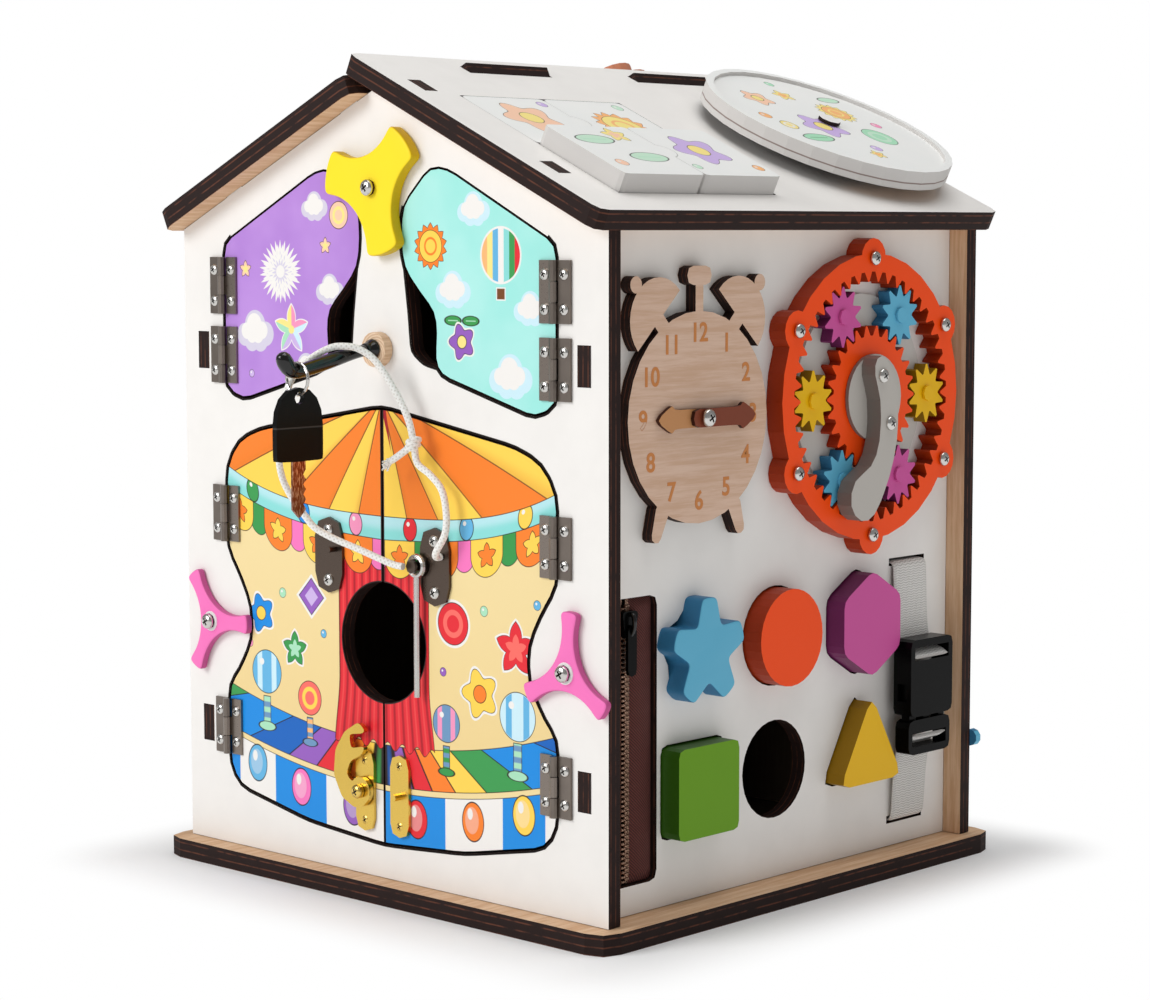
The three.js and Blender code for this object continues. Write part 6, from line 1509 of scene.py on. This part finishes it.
def gear_paint(shader, base):
    """Satin paint with fine orange peel over a base colour."""
    fine = shader.noise(1.2, detail=2)
    return shader.finish(base, 0.4 + fine * 0.08, height=fine, depth=0.02, Specular_IOR_Level=0.2)


def key_finish():
    """Black moulded head with a fine line, and a copper-brown blade."""
    shader = Shader("key_finish")
    height = shader.along(UP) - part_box("key")[0][2] / MM
    head = shader.ramp(height, 26.6, 27.0)
    inside = shader.ramp(abs(shader.along(RIGHT)), 6.4, 6.2)
    line = shader.ramp(abs(height - 43.0), 0.5, 0.25) * inside
    fine = shader.noise(1.4, detail=3, stretch=(1, 1, 0.2))
    dark = shader.mix(colour((6, 6, 6)), colour((60, 56, 54)), line)
    copper = shader.mix(colour((120, 62, 38)), colour((214, 176, 150)), shader.ramp(fine, 0.45, 0.7))
    return shader.finish(
        shader.mix(copper, dark, head), 0.3, 1.0 - head, height=fine * 0.3 - line, depth=0.05,
        Specular_IOR_Level=0.12,
    )


def turned_wood(name):
    """Pale turned wood with growth rings on the end that faces out."""
    shader = Shader(name)
    spot = shader.point(shader.along(RIGHT), shader.along(UP) - (ARM_HEIGHT + BASE_TOP))
    out = shader.far(spot, (2.5, -1.5, 0)) + shader.noise(0.12, detail=2) * 1.6
    rings = shader.ramp(shader.call("PINGPONG", out, 0.7) / 0.7, 0.2, 0.9)
    streaks, relief = wood_tone(shader, (232, 200, 166), (206, 166, 128), (1, 0.08, 1), 0.5)
    end = shader.mix(colour((216, 178, 142)), colour((238, 210, 180)), rings)
    base = shader.mix(streaks, end, shader.ramp(shader.lean(FRONT), 0.6, 0.8))
    return shader.finish(base, 0.55, height=relief, depth=0.03)


def screw_finish(name, tone=(206, 204, 200)):
    """Domed cross-head screw: the cross is read from the head's own UV, which runs from -1 to 1."""
    shader = Shader(name)
    u = shader.part(shader.uv(), "X")
    v = shader.part(shader.uv(), "Y")
    x = abs(u * 0.86 + v * 0.5)
    y = abs(v * 0.86 - u * 0.5)
    cross = shader.ramp(shader.most(shader.least(x, y) - 0.11, shader.most(x, y) - 0.5), 0.04, -0.04)
    fine = shader.noise(2.5, detail=3)
    # The cross recess is painted near black over its bump: painted shade in the hollow.
    base = shader.mix(colour(tone), colour((34, 31, 30)), cross)
    return shader.finish(base, 0.16 + fine * 0.12, 1.0, height=cross * -3.0 + fine * 0.2, depth=0.2)


class HOUSE_OT_screws(bpy.types.Operator):
    """Adds the screw heads, washers and rivets"""

    bl_idname = "house.screws"
    bl_label = "Screws"

    def execute(self, context):
        bright = screw_finish("screw_bright")
        gold = screw_finish("screw_brass", (230, 196, 104))
        walls = []
        for name, side in SIDES:
            for part, centres in HINGES.items():
                own = []
                for y in (centre + end for centre in centres for end in (-8, 8)):
                    walls.append((side * WALL_LEAF, y, 1.5, 2.8))
                    own.append((side * OWN_LEAF, y, 1.2, 2.8))
                if part == "door":
                    x, y = HOOK_PLATE
                    own += [(side * x, y + end, 1.6, 3.2) for end in (-12.5, 12.5)]
                body = f"{name}_{part}"
                self.heads(body + "_screws", own, on_front, FRONT, body, bright)
            x, y = LATCH_PLACE
            plate = [(side * x, y + end, 1.0, 2.5) for end in (-15, 15)]
            self.heads(name + "_latch_screws", plate, on_front, FRONT, name + "_door", gold, "latch_brass")
        x, y = LATCH_PLACE
        rivet = [(-x, y, 7.1, 3.4)]
        x, y = SPINNER_PLACE
        spinners = [(-x, y, 6.8, 4.0), (x, y, 6.8, 4.0)]
        u, v = RING_CENTRE
        turns = [math.pi / 2 + corner * math.pi / 3 for corner in range(6)]
        ring = [(u + 69.5 * math.cos(turn), v + 69.5 * math.sin(turn), 11.5, 3.6) for turn in turns]
        crank = [(u - 4.8, v + 11.2, 20.7, 3.6), (u + 1.6, v - 12.8, 20.7, 3.6)]
        for row in (
            ("wall_screws", walls, on_front, FRONT, "house", bright),
            ("star_screw", [(0, STAR_HEIGHT, 8.8, 4.0)], on_front, FRONT, "house", bright),
            ("spinner_screws", spinners, on_front, FRONT, "house", bright),
            ("latch_rivet", rivet, on_front, FRONT, "left_door", gold, "latch_brass"),
            ("rear_spinner_screw", [(*REAR_SPINNER_PLACE, 6.8, 4.0)], on_back, BACK, "house", bright),
            ("ring_screws", ring, on_right, RIGHT, "house", bright),
            ("crank_screws", crank, on_right, RIGHT, "sun_gear", bright),
            ("clock_screw", [(*CLOCK_CENTRE, 12.6, 4.2)], on_right, RIGHT, "house", bright),
        ):
            self.heads(*row)
        self.washers()
        return {"FINISHED"}

    def heads(self, name, rows, placing, outward, body, finish, slot="bright_steel"):
        """Screw heads at rows of a face's own place, height and head radius."""
        shape = bmesh.new()
        for x, y, z, radius in rows:
            lathe(shape, SCREW_PROFILE, placing(x, y, z), outward, 24, radius)
        piece(name, shape, body, finish)

    def washers(self):
        """White collars under the spinners' screws."""
        white = painted("white_collar", (238, 236, 234), gloss=0.4)
        collar = [(5.2, 4.5), (5.2, 4.9), (4.9, 5.3), (4.2, 5.4), (2.3, 5.4), (2.3, 4.5)]
        x, y = SPINNER_PLACE
        for name, side in SIDES:
            shape = bmesh.new()
            lathe(shape, collar, on_front(side * x, y, 0), FRONT, 32, closed=True)
            piece(name + "_spinner_collar", shape, name + "_spinner", white)


class HOUSE_OT_clock(bpy.types.Operator):
    """Adds the clock's numbers"""

    bl_idname = "house.clock"
    bl_label = "Clock numbers"

    def execute(self, context):
        shape = bmesh.new()
        x, y = CLOCK_CENTRE
        for number in range(1, 13):
            angle = math.radians(90 - 30 * number)
            self.add_number(
                shape, str(number), x + 39.5 * math.cos(angle), y + 39.5 * math.sin(angle)
            )
        ink = painted("numeral_paint", "numeral", gloss=0.5)
        piece("clock_numbers", shape, "house", ink, smooth=False)
        return {"FINISHED"}

    def add_number(self, shape, words, x, y):
        """Makes one number as a text, turns it into a mesh and adds it to the shape."""
        curve = bpy.data.curves.new("number", "FONT")
        curve.body = words
        curve.size = NUMBER_SIZE * MM
        curve.align_x = "CENTER"
        curve.align_y = "CENTER"
        curve.extrude = 0.15 * MM
        curve.offset = 0.25 * MM
        curve.resolution_u = 6
        holder = put("number", curve)
        bpy.context.view_layer.update()
        mesh = holder.to_mesh()
        turn = Matrix(((0, 0, 1), (1, 0, 0), (0, 1, 0))).to_4x4()
        mesh.transform(Matrix.Translation(on_right(x, y, CLOCK_FACE)) @ turn)
        shape.from_mesh(mesh)
        holder.to_mesh_clear()
        bpy.data.objects.remove(holder)
        bpy.data.curves.remove(curve)


class HOUSE_OT_webbing(bpy.types.Operator):
    """Makes the two straps and the zip's tape and teeth"""

    bl_idname = "house.webbing"
    bl_label = "Straps and zip"

    def execute(self, context):
        weave = webbing_finish("strap_weave")
        for name, rider, node, route in (
            ("upper_webbing", "house", "upper_strap", UPPER_ROUTE),
            ("lower_webbing", None, "lower_strap", LOWER_ROUTE),
        ):
            shape = bmesh.new()
            path = smooth_line([on_right(STRAP_CENTRE, y, z) for z, y in route], 8)
            ribbon(shape, path, Vector(BACK), STRAP_WIDTH, STRAP_THICKNESS)
            strap = piece(name, shape, rider, weave)
            if rider is None:
                on_right(STRAP_CENTRE, 18, 3)
                on_right(STRAP_CENTRE, 47, 5)
                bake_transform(strap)
            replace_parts(strap, node)
        self.make_zip()
        return {"FINISHED"}

    def make_zip(self):
        """Two tapes that bulge a little, with the interlocked teeth between them."""
        shape = bmesh.new()
        for left, right, crown in ((-129.2, -117.2, 1.6), (-114.8, -96.8, 2.6)):
            self.quilt(shape, left, right, crown)
        for index in range(ZIP_TEETH):
            y = 16.5 + index * ZIP_PITCH
            for side in (-1, 1):
                centre = on_right(ZIP_LINE + side * 1.15, y + side * ZIP_PITCH / 4, -3.1)
                slab(shape, centre, (2.0, 3.2, 1.25), 0.3)
        tape = piece("zip_tape_and_teeth", shape, "house", zip_finish(), angle=50.0)
        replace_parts(tape, "zip_panel")

    def quilt(self, shape, left, right, crown):
        """One tape: a closed strip whose top rises in its middle and puckers along the seam."""
        rows = 90
        columns = 10
        tops = []
        lows = []
        for row in range(rows + 1):
            y = 14.4 + 135.2 * row / rows
            end = min(1.0, row / 3, (rows - row) / 3)
            top = []
            low = []
            for column in range(columns + 1):
                share = column / columns
                pucker = 0.22 * math.sin(2 * math.pi * y / 8.5 + left) * math.sin(math.pi * share)
                rise = -3.6 + crown * end * math.sin(math.pi * share) ** 0.7 + pucker * end
                x = left + (right - left) * share
                top.append(shape.verts.new(on_right(x, y, rise)))
                low.append(shape.verts.new(on_right(x, y, -5.4)))
            tops.append(top)
            lows.append(low)
        for grid in (tops, lows):
            for first, second in zip(grid, grid[1:]):
                for column in range(columns):
                    shape.faces.new((
                        first[column], first[column + 1], second[column + 1], second[column]
                    ))
        for column in (0, columns):
            self.close(shape, [row[column] for row in tops], [row[column] for row in lows])
        for row in (0, rows):
            self.close(shape, tops[row], lows[row])

    def close(self, shape, upper, lower):
        """One side of a tape, between two lines of its points."""
        for step in range(len(upper) - 1):
            shape.faces.new((upper[step], upper[step + 1], lower[step + 1], lower[step]))


def webbing_finish(name):
    """Grey-white nylon webbing: a twill of ribs across and along, with a tighter edge."""
    shader = Shader(name)
    along = shader.part(shader.uv(), "X")
    across = shader.part(shader.uv(), "Y")
    ribs = shader.wave(along / 1.3 + shader.call("PINGPONG", across / 2.2, 1.0) * 0.5)
    warp = shader.wave(across / 1.1)
    edge = shader.ramp(abs(across), 11.6, 12.2)
    cloth = ribs * 0.7 + warp * 0.3 + shader.noise(2.0, detail=3) * 0.2
    base = shader.mix(colour((176, 172, 168)), colour((232, 230, 226)), shader.ramp(cloth, 0.15, 0.8))
    base = shader.mix(base, colour((206, 203, 199)), edge * 0.5)
    return shader.finish(base, 0.85, height=cloth + edge * 0.6, depth=0.3)


def zip_finish():
    """Brown woven tape with a diagonal rib, and pale metal teeth over it."""
    shader = Shader("zip_weave")
    u = shader.along(BACK)
    teeth = shader.ramp(abs(u - ZIP_LINE), 2.85, 2.75)
    twill = shader.wave((u + shader.along(UP)) / 1.5)
    fine = shader.noise(2.4, detail=3)
    rib = shader.ramp(twill * 0.7 + fine * 0.5, 0.3, 0.9)
    tape = shader.mix(colour((52, 20, 17)), colour((104, 48, 40)), rib)
    pale = shader.mix(colour((92, 62, 50)), colour((170, 138, 118)), shader.ramp(fine, 0.35, 0.6))
    return shader.finish(
        shader.mix(tape, pale, teeth), shader.mix(0.85, 0.3, teeth), teeth, height=twill, depth=0.2
    )


class HOUSE_OT_knobs(bpy.types.Operator):
    """Makes the knobs, the sorter's star and the black arm with their rounded edges"""

    bl_idname = "house.knobs"
    bl_label = "Knobs"

    def execute(self, context):
        # The side tones of these knobs darken their sides as painted shade.
        yellow = painted("star_paint", "yellow", side_tone=(222, 184, 10), facing=FRONT)
        outline = lobes(3, 33.0, 11.5, 16.0, math.radians(45), 16)
        star = self.knob("star_body", outline, on_front, (0, STAR_HEIGHT), (0.6, 6.7), 1.2,
                         "star_knob", yellow, "yellow_plastic")
        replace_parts(star, "star_knob")
        pink = painted("spinner_paint", "pink", side_tone=(206, 90, 152), facing=FRONT)
        x, y = SPINNER_PLACE
        for (name, side), lead in zip(SIDES, (0.02, 1.5)):
            body = name + "_spinner"
            spinner = self.knob(body + "_body", lobes(3, 28.8, 5.8, 8.6, lead, 22), on_front,
                                (side * x, y), (0.6, 4.6), 1.1, body, pink, "pink_plastic")
            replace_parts(spinner, body)
        blue = painted("sorter_star_paint", "gear_blue", side_tone=(56, 124, 168), facing=RIGHT)
        outline = lobes(5, 26.0, 5.4, 14.6, math.pi / 2, 30, hollow=False)
        levels = [corner[0] / MM - SIDE_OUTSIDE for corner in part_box("star_shape")]
        star = self.knob("sorter_star_body", outline, on_right, SORTER_STAR_PLACE, levels, 0.9,
                         "star_shape", blue, "blue_plastic")
        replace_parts(star, "star_shape")
        self.hook_arm()
        self.roof_knob()
        return {"FINISHED"}

    def knob(self, name, outline, placing, place, levels, soft, body, finish, slot):
        """A flat knob with a rounded edge, between two levels over a place of a face."""
        shape = bmesh.new()
        plate(shape, outline, lambda x, y, z: placing(place[0] + x, place[1] + y, z), *levels, soft)
        return piece(name, shape, body, finish)

    def roof_knob(self):
        """Smooth black dome on its stem, on the left slope."""
        dome = [(9.0, 10.9), (9.0, 14.4), (9.8, 14.8), (16.2, 14.8), (16.8, 15.1)]
        for step in range(24):
            angle = math.pi / 2 * step / 24
            dome.append((17.0 * math.cos(angle), 15.6 + 12.0 * math.sin(angle)))
        dome.append((0.0, 27.6))
        shape = bmesh.new()
        lathe(shape, dome, on_left_roof(*KNOB_PLACE, 0), LEFT_SLOPE, 64)
        black = painted("knob_black", (8, 7, 7), gloss=0.16, shine=0.45)
        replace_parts(piece("roof_knob_body", shape, "roof_knob", black), "roof_knob")

    def hook_arm(self):
        """Tapered black arm that swells to a round end, with its collar on the peg."""
        path = smooth_line([on_front(0, y, z) for y, z, _ in ARM_ROWS], 5)
        widths = smooth_line([Vector((radius, 0, 0)) for _, _, radius in ARM_ROWS], 5)
        shape = bmesh.new()
        sweep(shape, path, MM, sides=24, widths=[width.x for width in widths])
        collar = [(2.4, 5.4), (4.8, 5.4), (5.2, 6.1), (4.8, 7.4), (3.8, 8.6), (3.2, 11.0), (2.4, 11.0)]
        lathe(shape, collar, on_front(0, ARM_HEIGHT, 0), FRONT, 32, closed=True)
        black = painted("arm_black", (8, 7, 7), gloss=0.14, shine=0.5)
        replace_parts(piece("hook_arm", shape, "house", black), "key_hook")


class HOUSE_OT_outlines(bpy.types.Operator):
    """Lays the scorched line that the laser leaves round the doors and shutters"""

    bl_idname = "house.outlines"
    bl_label = "Scorched outlines"

    def execute(self, context):
        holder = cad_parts["front_wall"]
        shape = bmesh.new()
        shape.from_mesh(holder.data)
        shape.transform(holder.matrix_world)
        shape.normal_update()
        level = WALL_OUTSIDE * MM
        self.keep(shape, [
            face for face in shape.faces
            if face.normal.y <= -0.99 and abs(face.calc_center_median().y + level) <= 0.05 * MM
        ])
        bmesh.ops.remove_doubles(shape, verts=shape.verts, dist=0.001 * MM)
        bmesh.ops.dissolve_limit(
            shape, angle_limit=0.01, use_dissolve_boundaries=False, verts=shape.verts, edges=shape.edges
        )
        made = bmesh.ops.inset_region(
            shape, faces=list(shape.faces), thickness=LINE_WIDTH * MM, use_boundary=True,
            use_even_offset=False,
        )["faces"]
        wanted = []
        for face in made:
            spot = face.calc_center_median() / MM
            if abs(spot.x) < 119.5 and 25.0 < spot.z < 340.0:
                wanted.append(face)
        self.keep(shape, wanted)
        grown = bmesh.ops.extrude_face_region(shape, geom=list(shape.faces), use_keep_orig=True)["geom"]
        lifted = [part for part in grown if isinstance(part, bmesh.types.BMVert)]
        bmesh.ops.translate(shape, vec=Vector(FRONT) * 0.12 * MM, verts=lifted)
        bmesh.ops.translate(shape, vec=Vector(FRONT) * 0.02 * MM, verts=shape.verts)
        self.settle(shape.verts, lambda vert: vert.co)
        self.settle(shape.faces, lambda face: face.calc_center_median())
        ink = painted("scorched_line", (22, 13, 11), gloss=0.8)
        piece("scorched_outlines", shape, "house", ink, smooth=False)
        return {"FINISHED"}

    def keep(self, shape, faces):
        """Deletes all but some faces."""
        chosen = set(faces)
        others = [face for face in shape.faces if face not in chosen]
        bmesh.ops.delete(shape, geom=others, context="FACES")

    def settle(self, parts, spot):
        """Sorts points or faces by place, because the steps above can give them in any order."""
        ordered = sorted(parts, key=lambda part: tuple(spot(part)))
        parts.sort(key={part: rank for rank, part in enumerate(ordered)}.get)


class HOUSE_OT_details(bpy.types.Operator):
    """Adds the eye of the steel rod and the slider's bridge"""

    bl_idname = "house.details"
    bl_label = "Small details"

    def execute(self, context):
        black = painted("black_gloss", (9, 8, 8), gloss=0.16, shine=0.5)
        steel = metal("coil_steel", (205, 203, 200))
        coil = []
        for step in range(61):
            share = step / 60
            x = 28 + 3.9 * math.cos(5 * math.pi * share)
            y = HOOK_PLATE[1] + 3.9 * math.sin(5 * math.pi * share)
            coil.append(on_front(x, y, 2.3 + share))
        bridge = smooth_line([on_right(ZIP_LINE, y, z) for y, z in BRIDGE_POINTS], 6)
        for name, path, radius, sides, body, finish, slot in (
            ("rod_coil", coil, 0.8, 10, "right_door", steel, "bright_steel"),
            ("slider_bridge", bridge, 1.1, 12, "zip_slider", black, "black_plastic"),
        ):
            shape = bmesh.new()
            sweep(shape, path, radius * MM, sides=sides)
            piece(name, shape, body, finish)
        return {"FINISHED"}


OPERATORS = (
    HOUSE_OT_stage,
    HOUSE_OT_cord,
    HOUSE_OT_boards,
    HOUSE_OT_doors,
    HOUSE_OT_roof,
    HOUSE_OT_fittings,
    HOUSE_OT_screws,
    HOUSE_OT_clock,
    HOUSE_OT_webbing,
    HOUSE_OT_knobs,
    HOUSE_OT_outlines,
    HOUSE_OT_details,
)


class HOUSE_PT_panel(bpy.types.Panel):
    """Buttons that make each group of pieces again"""

    bl_idname = "HOUSE_PT_panel"
    bl_label = "Activity house"
    bl_space_type = "VIEW_3D"
    bl_region_type = "UI"
    bl_category = "Activity house"

    def draw(self, context):
        for name in HouseLooks.__annotations__:
            self.layout.prop(context.scene.house_looks, name)
        for operator in OPERATORS:
            self.layout.operator(operator.bl_idname)


def register():
    bpy.utils.register_class(HouseLooks)
    bpy.types.Scene.house_looks = bpy.props.PointerProperty(type=HouseLooks)
    for operator in OPERATORS:
        bpy.utils.register_class(operator)
    bpy.utils.register_class(HOUSE_PT_panel)


def unregister():
    bpy.utils.unregister_class(HOUSE_PT_panel)
    for operator in reversed(OPERATORS):
        bpy.utils.unregister_class(operator)
    del bpy.types.Scene.house_looks
    bpy.utils.unregister_class(HouseLooks)


def main():
    register()
    for operator in OPERATORS:
        getattr(bpy.ops.house, operator.bl_idname.split(".")[1])()


if __name__ == "__main__":
    main()
